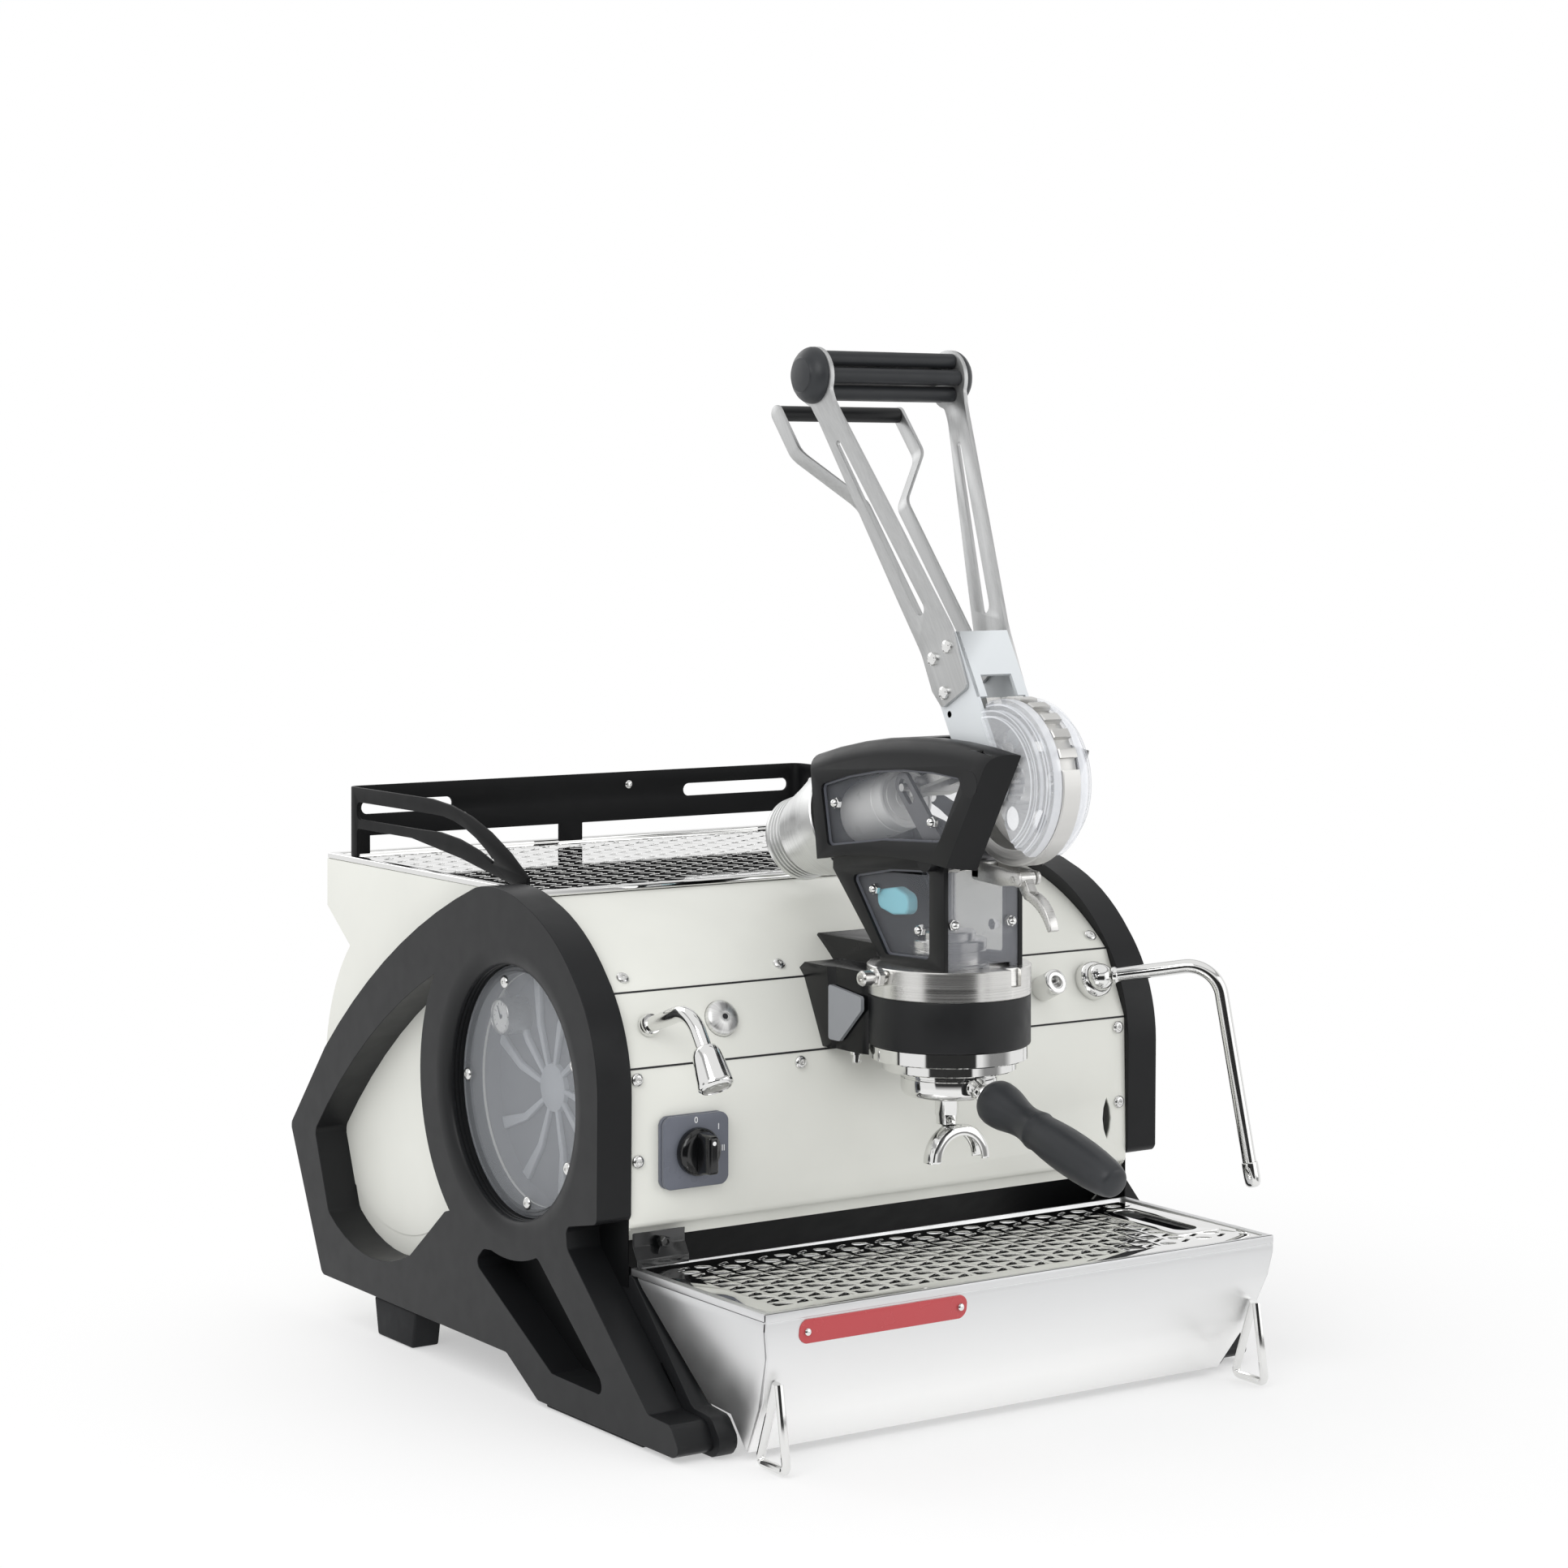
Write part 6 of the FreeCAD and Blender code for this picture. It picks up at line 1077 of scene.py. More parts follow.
class ESPRESSO_OT_cup_tray(bpy.types.Operator):
    """Model the slotted cup tray and the rail bent round three of its sides"""

    bl_idname = "espresso.cup_tray"
    bl_label = "Cup tray"

    def execute(self, context):
        low, high = (-BODY_HALF + 8, 145.0), (BODY_HALF - 8, 476.0)
        sheet = slotted_sheet("cup_shelf", low, high, 368.0, 2.0, (17.4, 11.6), (12.6, 3.6, 30.0))
        bevel(sheet, 0.4, 1, 50)
        rim = filled_between("rim", [(-BODY_HALF, 137.0), (BODY_HALF, 137.0), (BODY_HALF, 484.0), (-BODY_HALF, 484.0)],
                             [[low, (high[0], low[1]), high, (low[0], high[1])]], plan_view(371.0))
        tidy_mesh(rim)
        if rim.data.polygons[0].normal.z < 0:
            bpy.ops.object.mode_set(mode="EDIT")
            bpy.ops.mesh.flip_normals()
            bpy.ops.object.mode_set(mode="OBJECT")
        shape_with(rim, "SOLIDIFY", thickness=5 * MM, offset=-1.0)
        bevel(rim, 1.2, 3, 40)
        finish_piece(joined("cup_shelf", [sheet, rim]), "machine", ["cup_tray"], FINISHES["mirror"], 40)
        self.rail()
        return {"FINISHED"}

    def rail(self):
        """Strip drawn flat as a wall in plan, bent round its corners, with long holes."""
        x1, y1, thick, foot, top, r = 226.0, 458.0, 3.0, 371.0, 428.0, 10.0
        outside = [(-x1, 158.0), (-x1, y1 - r), *arc((-x1, y1 - r), (-x1 + r * 0.293, y1 - r * 0.293), (-x1 + r, y1), 10),
                   (x1 - r, y1), *arc((x1 - r, y1), (x1 - r * 0.293, y1 - r * 0.293), (x1, y1 - r), 10), (x1, 158.0)]
        i = r - thick
        xi, yi = x1 - thick, y1 - thick
        inside = [(xi, 158.0), (xi, yi - i), *arc((xi, yi - i), (xi - i * 0.293, yi - i * 0.293), (xi - i, yi), 10),
                  (-xi + i, yi), *arc((-xi + i, yi), (-xi + i * 0.293, yi - i * 0.293), (-xi, yi - i), 10), (-xi, 158.0)]
        wall = slab("rail", outside + inside, plan_view(foot), (0, 0, top - foot))
        side = [(150.0, 450.0), (312.0, 450.0), (312.0, top), *arc((312.0, top), (225.0, 412.0), (158.0, foot + 8), 6),
                (150.0, foot + 8)]
        cut(wall, slab("tool", side, side_view(-300), (600, 0, 0)))
        under = [(178.0, foot), *arc((178.0, foot), (250.0, 383.0), (345.0, 394.0), 6), (440.0, 394.0),
                 (440.0, foot - 5), (178.0, foot - 5)]
        cut(wall, slab("tool", softened(under, 3), side_view(-300), (600, 0, 0)))
        gap = [(440.0, 402.0), (440.0, 416.0), (312.0, 416.0), *arc((312.0, 416.0), (250.0, 407.0), (205.0, 384.0), 6),
               *arc((205.0, 384.0), (262.0, 399.0), (330.0, 402.0), 6)]
        cut(wall, slab("tool", softened(gap, 4), side_view(-300), (600, 0, 0)))
        for x0, x2 in ((-BODY_HALF + 25, -23.5), (-0.5, x1 - 22)):
            cut(wall, block("tool", (x0, 440, foot - 5), (x2, 470, 386.0)))
        for x0, x2 in ((-214, -128), (103, 214)):
            x0, x2 = max(x0, -x1 + 12), min(x2, x1 - 12)
            hole = [(x0 + 5.5, 404), (x2 - 5.5, 404), *arc((x2 - 5.5, 404), (x2, 409.5), (x2 - 5.5, 415), 20),
                    (x0 + 5.5, 415), *arc((x0 + 5.5, 415), (x0, 409.5), (x0 + 5.5, 404), 20)]
            cut(wall, slab("tool", hole, front_view(440), (0, 30, 0)))
        tidy_mesh(wall, 0.0002)
        bevel(wall, 0.7, 2, 40)
        finish_piece(wall, "machine", ["cup_rail"], FINISHES["black_sheet"], 35)
        heads = []
        for x, z in ((-118.0, 398.0), (46.0, 417.0)):
            heads.append(turned("rail_screw", [(0, 0), (3.6, 0), (3.5, 1.0), (2.2, 2.0), (0, 2.3)],
                                (x, 455.0, z), (0, -1, 0), 24))
        finish_piece(joined("rail_screws", heads), "machine", [], FINISHES["chrome"])


SWITCH = (-179.0, 192.5)
BUTTON_X = -143.5
WATER_X = -207.0
STEAM_X = 207.0
STEAM_KNOB_X = 156.0
FITTING_Z = 283.0
BALL_R = 11.0


class ESPRESSO_OT_switch(bpy.types.Operator):
    """Model the rotary switch: grey housing in two layers, plain numerals and the knob with its bar"""

    bl_idname = "espresso.switch"
    bl_label = "Switch"

    def execute(self, context):
        x, z = SWITCH
        half_x, half_z = 28.0, 26.5
        square = [(x - half_x, z - half_z), (x + half_x, z - half_z), (x + half_x, z + half_z), (x - half_x, z + half_z)]
        inner = [(x + (px - x) * 0.955, z + (pz - z) * 0.955) for px, pz in square]
        back = bevel(slab("housing", softened(square, 6, 10), front_view(0.6), (0, -3.4, 0)), 0.8, 3, 40)
        waist = slab("housing", softened(inner, 5, 10), front_view(-2.0), (0, -2.6, 0))
        front = bevel(slab("housing", softened(square, 6, 10), front_view(-4.2), (0, -3.8, 0)), 1.0, 3, 40)
        finish_piece(joined("switch_housing", [back, waist, front]), "machine", ["switch_plate"], FINISHES["plate_grey"])
        marks = [self.mark("0", x - 0.5, z + 20.5), self.mark("I", x + 19.0, z + 14.0), self.mark("II", x + 23.0, z - 2.0)]
        finish_piece(joined("switch_marks", marks), "machine", [], FINISHES["print"])
        self.knob(x, z)
        return {"FINISHED"}

    def mark(self, text, x, z):
        """Thin raised numeral that faces the user."""
        clear_selection()
        bpy.ops.object.text_add(location=(0, 0, 0))
        letter = bpy.context.object
        letter.data.body = text
        letter.data.size = 6.5 * MM
        letter.data.align_x = "CENTER"
        letter.data.extrude = 0.1 * MM
        bpy.ops.object.convert(target="MESH")
        letter = bpy.context.object
        letter.data.transform(Matrix.Translation(at(x, -8.08, z)) @ Matrix.Rotation(math.pi / 2, 4, "X"))
        return tidy_mesh(letter)

    def knob(self, x, z):
        """Round base with a waisted bar that narrows to its outer edge."""
        base = turned("base", [(0, 0), (17.0, 0), (17.5, 0.6), (17.5, 4.6), (16.9, 6.4), (15.6, 7.7), (13.6, 8.6),
                               (11.0, 9.0), (0, 9.0)], (x, -8.0, z), (0, -1, 0), 64)
        bar = block("bar", (x - 5.5, -32.0, z - 15.5), (x + 5.5, -16.5, z + 15.5))
        for vertex in bar.data.vertices:
            if vertex.co.y < at(x, -30, z).y:
                vertex.co.x = HOME.x + (x + (1 if vertex.co.x > at(x, 0, z).x else -1) * 4.2) * MM
                vertex.co.z = (z + (1 if vertex.co.z > z * MM else -1) * 13.6) * MM
        bevel(bar, 2.2, 5, 40)
        dot = turned("dot", [(0, 0), (1.5, 0), (1.5, 0.3), (0, 0.3)], (x, -31.9, z + 9.0), (0, -1, 0), 20)
        finish_piece(joined("knob", [base, bar]), "switch", ["switch_knob"], FINISHES["gloss"], 40)
        finish_piece(dot, "switch", [], FINISHES["print"])


class ESPRESSO_OT_fittings(bpy.types.Operator):
    """Model the hot-water button and spout, the steam wand in its ball joint and the steam knob"""

    bl_idname = "espresso.fittings"
    bl_label = "Water and steam fittings"

    def execute(self, context):
        self.button()
        self.spout()
        self.wand()
        self.knob()
        return {"FINISHED"}

    def button(self):
        start = panel_point(BUTTON_X, FITTING_Z, -6)
        profile = [(0, 0), (13.5, 0), (13.5, 8.4), (13.1, 9.6), (12.0, 10.7), (10.0, 11.7), (7.0, 12.7), (3.6, 13.4),
                   (3.2, 13.3), (3.0, 12.6), (0, 12.6)]
        piece = turned("button", profile, start, PANEL_OUT, 64)
        finish_piece(piece, "water_button", ["hot_water_button"], FINISHES["button"], 40)
        dot = turned("button_dot", [(0, 0), (2.3, 0), (2.1, 0.6), (0, 0.9)], panel_point(BUTTON_X, FITTING_Z, 6.5),
                     PANEL_OUT, 24)
        finish_piece(dot, "water_button", [], FINISHES["black_print_and_shade"])

    def spout(self):
        start = panel_point(WATER_X, FITTING_Z, 0.4)
        corner = start + PANEL_OUT * 63.0
        down = Vector((0, -0.51, -0.86)).normalized()
        pipe = tube("spout", [start, corner - Vector((0, 0, 6)), corner + down * 42], 5.8, 26.0, 32, 16)
        flange = turned("flange", [(0, 0), (8.2, 0), (8.6, 0.5), (8.6, 2.6), (8.0, 3.4), (7.6, 4.6), (7.8, 5.4),
                                   (7.2, 6.6), (0, 7.0)], start, PANEL_OUT, 48)
        aerator = [(0, 0), (6.4, 0), (7.6, 0.5), (8.4, 1.5), (9.8, 3.2), (10.6, 6.0), (11.2, 10.0), (12.1, 18.0),
                   (13.0, 27.0), (13.2, 29.2), (12.9, 30.2), (12.2, 30.8), (11.6, 31.2), (11.2, 31.9), (10.4, 32.0),
                   (10.2, 31.0), (0, 31.0)]
        cone = turned("aerator", aerator, corner + down * 36, down, 64)
        finish_piece(joined("spout", [pipe, flange, cone]), "water_spout", ["hot_water_spout"], FINISHES["chrome"], 40)
        grid = turned("aerator_screen", [(0, 0), (10.2, 0), (10.2, 0.5), (8.2, 0.7), (8.0, 0.3), (5.2, 0.3), (5.0, 0.7),
                                         (0, 0.7)], corner + down * 66.9, down, 48)
        finish_piece(grid, "water_spout", [], FINISHES["steel_plain"])

    def wand(self):
        base = panel_point(STEAM_X, FITTING_Z)
        ring = [(8.6, 5.0), (10.4, 8.2), (11.15, 11.0), (11.7, 11.4), (12.6, 11.0), (13.9, 9.2), (14.9, 6.6),
                (15.4, 4.0), (15.5, 1.4), (15.1, 0.2), (8.6, 0.0)]
        finish_piece(turned("socket", ring, base, PANEL_OUT, 64), "machine", ["steam_flange"], FINISHES["chrome"], 45)
        centre = panel_point(STEAM_X, FITTING_Z, 12.0)
        ball = [(BALL_R * math.sin(math.radians(a)), -BALL_R * math.cos(math.radians(a))) for a in range(0, 181, 10)]
        ball = [(0, ball[0][1]), *ball[1:-1], (0, ball[-1][1])]
        finish_piece(turned("ball", ball, centre, PANEL_OUT, 48), "wand_ball", ["steam_ball"], FINISHES["chrome"], 60)
        out = Vector((math.sin(math.radians(45)), -math.cos(math.radians(45)), 0))

        def place(reach, z):
            return Vector((centre.x, centre.y, 0)) + out * reach + Vector((0, 0, z))

        bend, knee = place(92.0, 302.0), place(118.0, 145.0)
        first = centre + (bend - centre).normalized() * 11.2
        pipe = tube("wand", [first, bend, knee], 5.6, 26.0, 32, 18)
        way = (knee - bend).normalized()
        tip = turned("tip", [(0, 0), (5.6, 0), (6.3, 0.4), (6.5, 1.2), (6.6, 4.0), (6.6, 12.0), (6.3, 16.0), (5.5, 18.4),
                             (4.0, 19.6), (2.2, 20.0), (0, 20.0)], knee - way, way, 40)
        neck = turned("neck", [(0, 0), (6.6, 0), (6.9, 0.5), (6.9, 2.2), (5.6, 4.0), (0, 4.0)], first - (first - centre) * 0.05,
                      bend - centre, 40)
        finish_piece(joined("wand", [pipe, tip, neck]), "wand", ["steam_wand"], FINISHES["chrome"], 40)

    def knob(self):
        profile = [(0, 0), (9.2, 0), (9.5, 0.3), (9.8, 1.2), (10, 2.4), (10, 20.6), (9.7, 21.4), (9.0, 21.9), (5.4, 22.0),
                   (4.7, 21.7), (4.5, 21.2), (4.5, 15), (0, 15)]
        piece = turned("steam_tap", profile, panel_point(STEAM_KNOB_X, FITTING_Z - 2), PANEL_OUT, 64)
        finish_piece(piece, "steam_valve", ["steam_knob"], FINISHES["dome"], 40)


def dome_screw(name, place, out, radius=5.1, height=2.8):
    """Low domed head with a socket in it."""
    dome = [(radius, 0), (radius, height * 0.2), (radius * 0.95, height * 0.5), (radius * 0.8, height * 0.78),
            (radius * 0.55, height * 0.95), (radius * 0.3, height), (radius * 0.26, height * 0.97),
            (radius * 0.24, height * 0.7), (0, height * 0.65)]
    return turned(name, [(0, 0), *dome], place, out, 20)


class ESPRESSO_OT_screws(bpy.types.Operator):
    """Model the domed screws of the panels and portholes, and the gauge and liner behind the portholes"""

    bl_idname = "espresso.screws"
    bl_label = "Screws and gauge"

    def execute(self, context):
        heads = []
        for x, z in ((-224, 247), (-81, 247), (224, 247), (224, 188), (-224, 188)):
            heads.append(dome_screw("screw", (x, 2.0 * (z - 139.0) / 116.0, z), (0, -116.0, 2.0)))
        low = (25.6, 307.6)
        bow = (75.0, 343.0)
        centre = circle_centre(low, bow, (137.0, 366.0))
        for x in (-216, -78, 223):
            way = Vector((low[0] + 9 - centre[0], low[1] + 9 - centre[1])).normalized()
            radius = math.hypot(low[0] - centre[0], low[1] - centre[1])
            heads.append(dome_screw("screw", (x, centre[0] + way.x * radius, centre[1] + way.y * radius), (0, way.x, way.y)))
        for angle in (72, 1, 215, 264, 159):
            y = PORTHOLE[0] + 83.0 * math.cos(math.radians(angle))
            z = PORTHOLE[1] + 83.0 * math.sin(math.radians(angle))
            heads.append(dome_screw("screw", (-PANE_X, y, z), (-1, 0, 0)))
            heads.append(dome_screw("screw", (PANE_X, y, z), (1, 0, 0)))
        finish_piece(joined("dome_screws", heads), "machine", ["panel_screws"], FINISHES["dome"], 40)
        self.liner()
        self.gauge()
        return {"FINISHED"}

    def liner(self):
        """Dish behind each porthole with raised spokes."""
        profile = [(0, 12.5), (86.0, 12.5), (89.7, 0.3), (96, 0.3), (96, 1.5), (91, 1.5), (87.4, 14), (0, 14)]
        dish = turned("liner", profile, (-BODY_HALF + SHEET, *PORTHOLE), (1, 0, 0), 96)
        finish_piece(joined("liners", [dish, mirrored(dish)]), "machine", [], FINISHES["liner"])
        spokes = []
        for angle in (8, 35, 62, 98, 140, 182, 214, 250, 288, 322):
            a = math.radians(angle)
            outline = []
            for reach, half, sweep in ((16, 2.0, 0.0), (50, 3.2, 0.07), (84, 5.0, 0.2)):
                outline.append((reach, half, sweep))
            left = [(reach * math.cos(a + s) - half * math.sin(a + s), reach * math.sin(a + s) + half * math.cos(a + s))
                    for reach, half, s in outline]
            right = [(reach * math.cos(a + s) + half * math.sin(a + s), reach * math.sin(a + s) - half * math.cos(a + s))
                     for reach, half, s in outline]
            points = [(PORTHOLE[0] + y, PORTHOLE[1] + z) for y, z in left + right[::-1]]
            spokes.append(bevel(slab("spoke", points, side_view(-BODY_HALF + SHEET + 12.6), (-4.0, 0, 0)), 1.2, 2, 40))
        hub = turned("hub", [(0, 0), (19, 0), (18, -3.5), (15, -5), (0, -5.5)], (-BODY_HALF + SHEET + 12.6, *PORTHOLE),
                     (1, 0, 0), 48)
        wheel = joined("spokes", [*spokes, hub])
        finish_piece(joined("spokes", [wheel, mirrored(wheel)]), "machine", [], FINISHES["spoke"])

    def gauge(self):
        """Round gauge with a white dial, its scale and its pointer."""
        y, z = 180.0, 272.0
        case = [(0, 0), (13.2, 0), (13.8, 0.6), (14.0, 1.6), (14.0, 22.5), (13.4, 23.6), (12.6, 24.0), (12.2, 23.4),
                (12.0, 21.5), (0, 21.5)]
        strap = slab("strap", softened([(y - 8, z), (y, z - 8), (y + 36, z + 24), (y + 24, z + 36)], 3),
                     side_view(-BODY_HALF + SHEET), (3, 0, 0))
        body = joined("gauge_case", [turned("case", case, (-214.0, y, z), (-1, 0, 0), 64), strap])
        finish_piece(body, "machine", ["pressure_gauge"], FINISHES["steel_plain"], 40)
        dial = turned("gauge_dial", [(0, 0), (12.0, 0), (12.0, 0.5), (0, 0.5)], (-235.4, y, z), (-1, 0, 0), 48)
        finish_piece(dial, "machine", [], FINISHES["dial"])
        marks = []
        for index in range(13):
            a = math.radians(225 - index * 22.5)
            long = 2.6 if index % 3 == 0 else 1.5
            way, side = Vector((0, -math.cos(a), math.sin(a))), Vector((0, math.sin(a), math.cos(a)))
            base = Vector((-235.9, y, z))
            corners = [base + way * r + side * s for r, s in ((10.8, -0.2), (10.8, 0.2), (10.8 - long, 0.2), (10.8 - long, -0.2))]
            marks.append(slab("mark", [(c.y, c.z) for c in corners], side_view(-235.8), (-0.25, 0, 0)))
        marks.append(slab("pointer", [(y - 0.6, z - 2), (y + 0.6, z - 2), (y + 5.4, z + 7.6), (y + 5.0, z + 7.8)],
                          side_view(-236.2), (-0.4, 0, 0)))
        marks.append(turned("pivot", [(0, 0), (1.6, 0), (1.4, 1.0), (0, 1.2)], (-235.8, y, z), (-1, 0, 0), 20))
        finish_piece(joined("gauge_marks", marks), "machine", [], FINISHES["black_print_and_shade"])


COLLAR_R = 61.0
JACKET_R = 60.5
SUPPORT_LOW, SUPPORT_HIGH = 257.0, 318.0


class ESPRESSO_OT_group(bpy.types.Operator):
    """Model the group: support casting, black jacket, steel collar with its fitting, plated flange"""

    bl_idname = "espresso.group"
    bl_label = "Group"

    def execute(self, context):
        self.support()
        self.jacket()
        self.collar()
        self.flange()
        return {"FINISHED"}

    def support(self):
        low, high = SUPPORT_LOW, SUPPORT_HIGH
        profile = [(4.0, low), SEAM_HIGH, (31.0, 313.0), (24.0, high), (-50.0, high), (-72.0, high - 26),
                   (-72.0, low + 5), (-66.0, low)]
        saddle = slab("saddle", profile, side_view(-70), (140, 0, 0))
        front = [(-62, high + 1), (-62, high - 6), (-60, low - 1), (60, low - 1), (62, high - 6), (62, high + 1)]
        cut(saddle, slab("tool", front, front_view(-200), (0, 400, 0)), operation="INTERSECT")
        left = [(-62.0, 60.0), (-62.0, -6.0), (-58.0, -12.0), (-58.0, -42.0), (-46.0, -74.0)]
        plan = left + [(-x, y) for x, y in left[::-1]]
        cut(saddle, slab("tool", plan, plan_view(low - 1), (0, 0, high - low + 2)), operation="INTERSECT")
        roof = [(27.0, 308.5), (62.0, 334.0), (-17.0, 334.0), (-30.0, 324.0), (-30.0, 316.0)]
        cut(saddle, slab("tool", softened(roof, 3), side_view(-28), (56, 0, 0)), operation="UNION")
        for radius, z0, z1 in ((JACKET_R, low - 10, 302.0), (COLLAR_R, 301.999, high + 30)):
            cut(saddle, turned("tool", [(0, z0), (radius, z0), (radius, z1), (0, z1)], (0, GROUP_Y, 0), (0, 0, 1), 96))
        cut(saddle, turned("tool", [(0, 0), (8, 0), (8, 90), (0, 90)], (0, GROUP_Y, 318.0), (-1, 0, 0), 32))
        behind = [(SEAM_LOW[0], SEAM_LOW[1] - 30), SEAM_LOW, SEAM_HIGH, (25.6, 307.6),
                  *arc((25.6, 307.6), (75.0, 343.0), (137.0, 366.0), 4), (200, 366), (200, 225)]
        cut(saddle, slab("tool", behind, side_view(-100), (200, 0, 0)))
        tidy_mesh(saddle, 0.0003)
        bevel(saddle, 1.6, 3, 32)
        finish_piece(saddle, "machine", ["group_support"], FINISHES["support"], 40)
        # Grey plates on the support's two sides: a painted reflection of light on the casting's side faces.
        painted_reflection_plates = []
        outline = softened([(-8.0, 305.0), (-50.0, 300.0), (-50.0, 290.0), (-22.0, 264.0), (-8.0, 264.0)], 2)
        plate = slab("plate", outline, side_view(-62.4), (3.0, 0, 0))
        painted_reflection_plates = [plate, mirrored(plate)]
        finish_piece(joined("support_painted_reflections", painted_reflection_plates), "machine", [], FINISHES["painted_reflection_grey"])
        bolts = []
        for x in (-52.0, 52.0):
            bolts.append(turned("bolt", [(0, 0), (5.2, 0), (5.2, 2.4), (3.6, 2.6), (3.6, 8.0), (2.8, 8.8), (0, 9.0)],
                                (x, -30.0, low), (0, 0, -1), 32))
        finish_piece(joined("support_bolts", bolts), "machine", [], FINISHES["chrome"])

    def jacket(self):
        low, high, r = 265.0, 302.0, JACKET_R
        profile = [(r - 4, low), (r - 1.4, low), (r - 0.4, low + 0.4), (r, low + 1.4), (r, high - 1.2),
                   (r - 0.3, high - 0.3), (r - 1.2, high), (r - 4, high)]
        finish_piece(turned("jacket", profile, (0, GROUP_Y, 0), (0, 0, 1), 128), "machine", ["group_jacket"],
                     FINISHES["jacket"], 40)

    def collar(self):
        r = COLLAR_R
        profile = [(5.1, 316), (29.2, 316), (29.2, 302), (r - 0.8, 302), (r, 302.8), (r, 323.2), (r - 0.8, 324), (28.6, 324),
                   (28.0, 324.6), (28.0, 334.0), (27.4, 334.6), (27.4, 335.6), (28.0, 336.2), (28.0, 341.0), (27.0, 342.0),
                   (19.6, 342.0), (19.6, 347.0), (18.6, 348.0), (5.1, 348.0)]
        lid = turned("collar", profile, (0, GROUP_Y, 0), (0, 0, 1), 128)
        cut(lid, block("tool", (12, GROUP_Y - r - 2, 311), (24, GROUP_Y - r + 9, 326)))
        bevel(lid, 0.4, 2, 60)
        fitting = turned("fitting", [(0, 0), (5.5, 0), (5.5, 9), (4.6, 9.6), (4.6, 11.4), (5.6, 12.2), (5.6, 19), (4.6, 20.6),
                                     (2.4, 21.0), (2.2, 19.0), (0, 19.0)], (-r + 1.0, GROUP_Y, 318.0), (-1, 0, 0), 32)
        nut = turned("nut", [(5.0, 0), (7.0, 0), (7.8, 0.9), (7.8, 5.1), (7.0, 6.0), (5.0, 6.0)],
                     (-r - 1.5, GROUP_Y, 318.0), (-1, 0, 0), 6)
        finish_piece(joined("collar", [lid, fitting, nut]), "machine", ["group_collar"], FINISHES["collar"], 30)

    def flange(self):
        profile = [(36.5, 246), (49.2, 246), (50, 246.8), (50, 253.2), (50.6, 254), (57.7, 254), (58.5, 254.8), (58.5, 264.2),
                   (57.7, 265), (36.5, 265), (36.5, 257), (41.5, 257), (41.5, 248.7), (36.5, 248.7)]
        piece = turned("flange", profile, (0, GROUP_Y, 0), (0, 0, 1), 128)
        turn = math.radians(-50.0)
        gap = [(-41.5, -12), (41.5, -12), (41.5, 12), (-41.5, 12)]
        gap = [(x * math.cos(turn) - y * math.sin(turn), GROUP_Y + x * math.sin(turn) + y * math.cos(turn)) for x, y in gap]
        cut(piece, slab("tool", gap, plan_view(245), (0, 0, 8.5)))
        finish_piece(piece, "machine", ["bayonet_flange"], FINISHES["chrome"], 30)


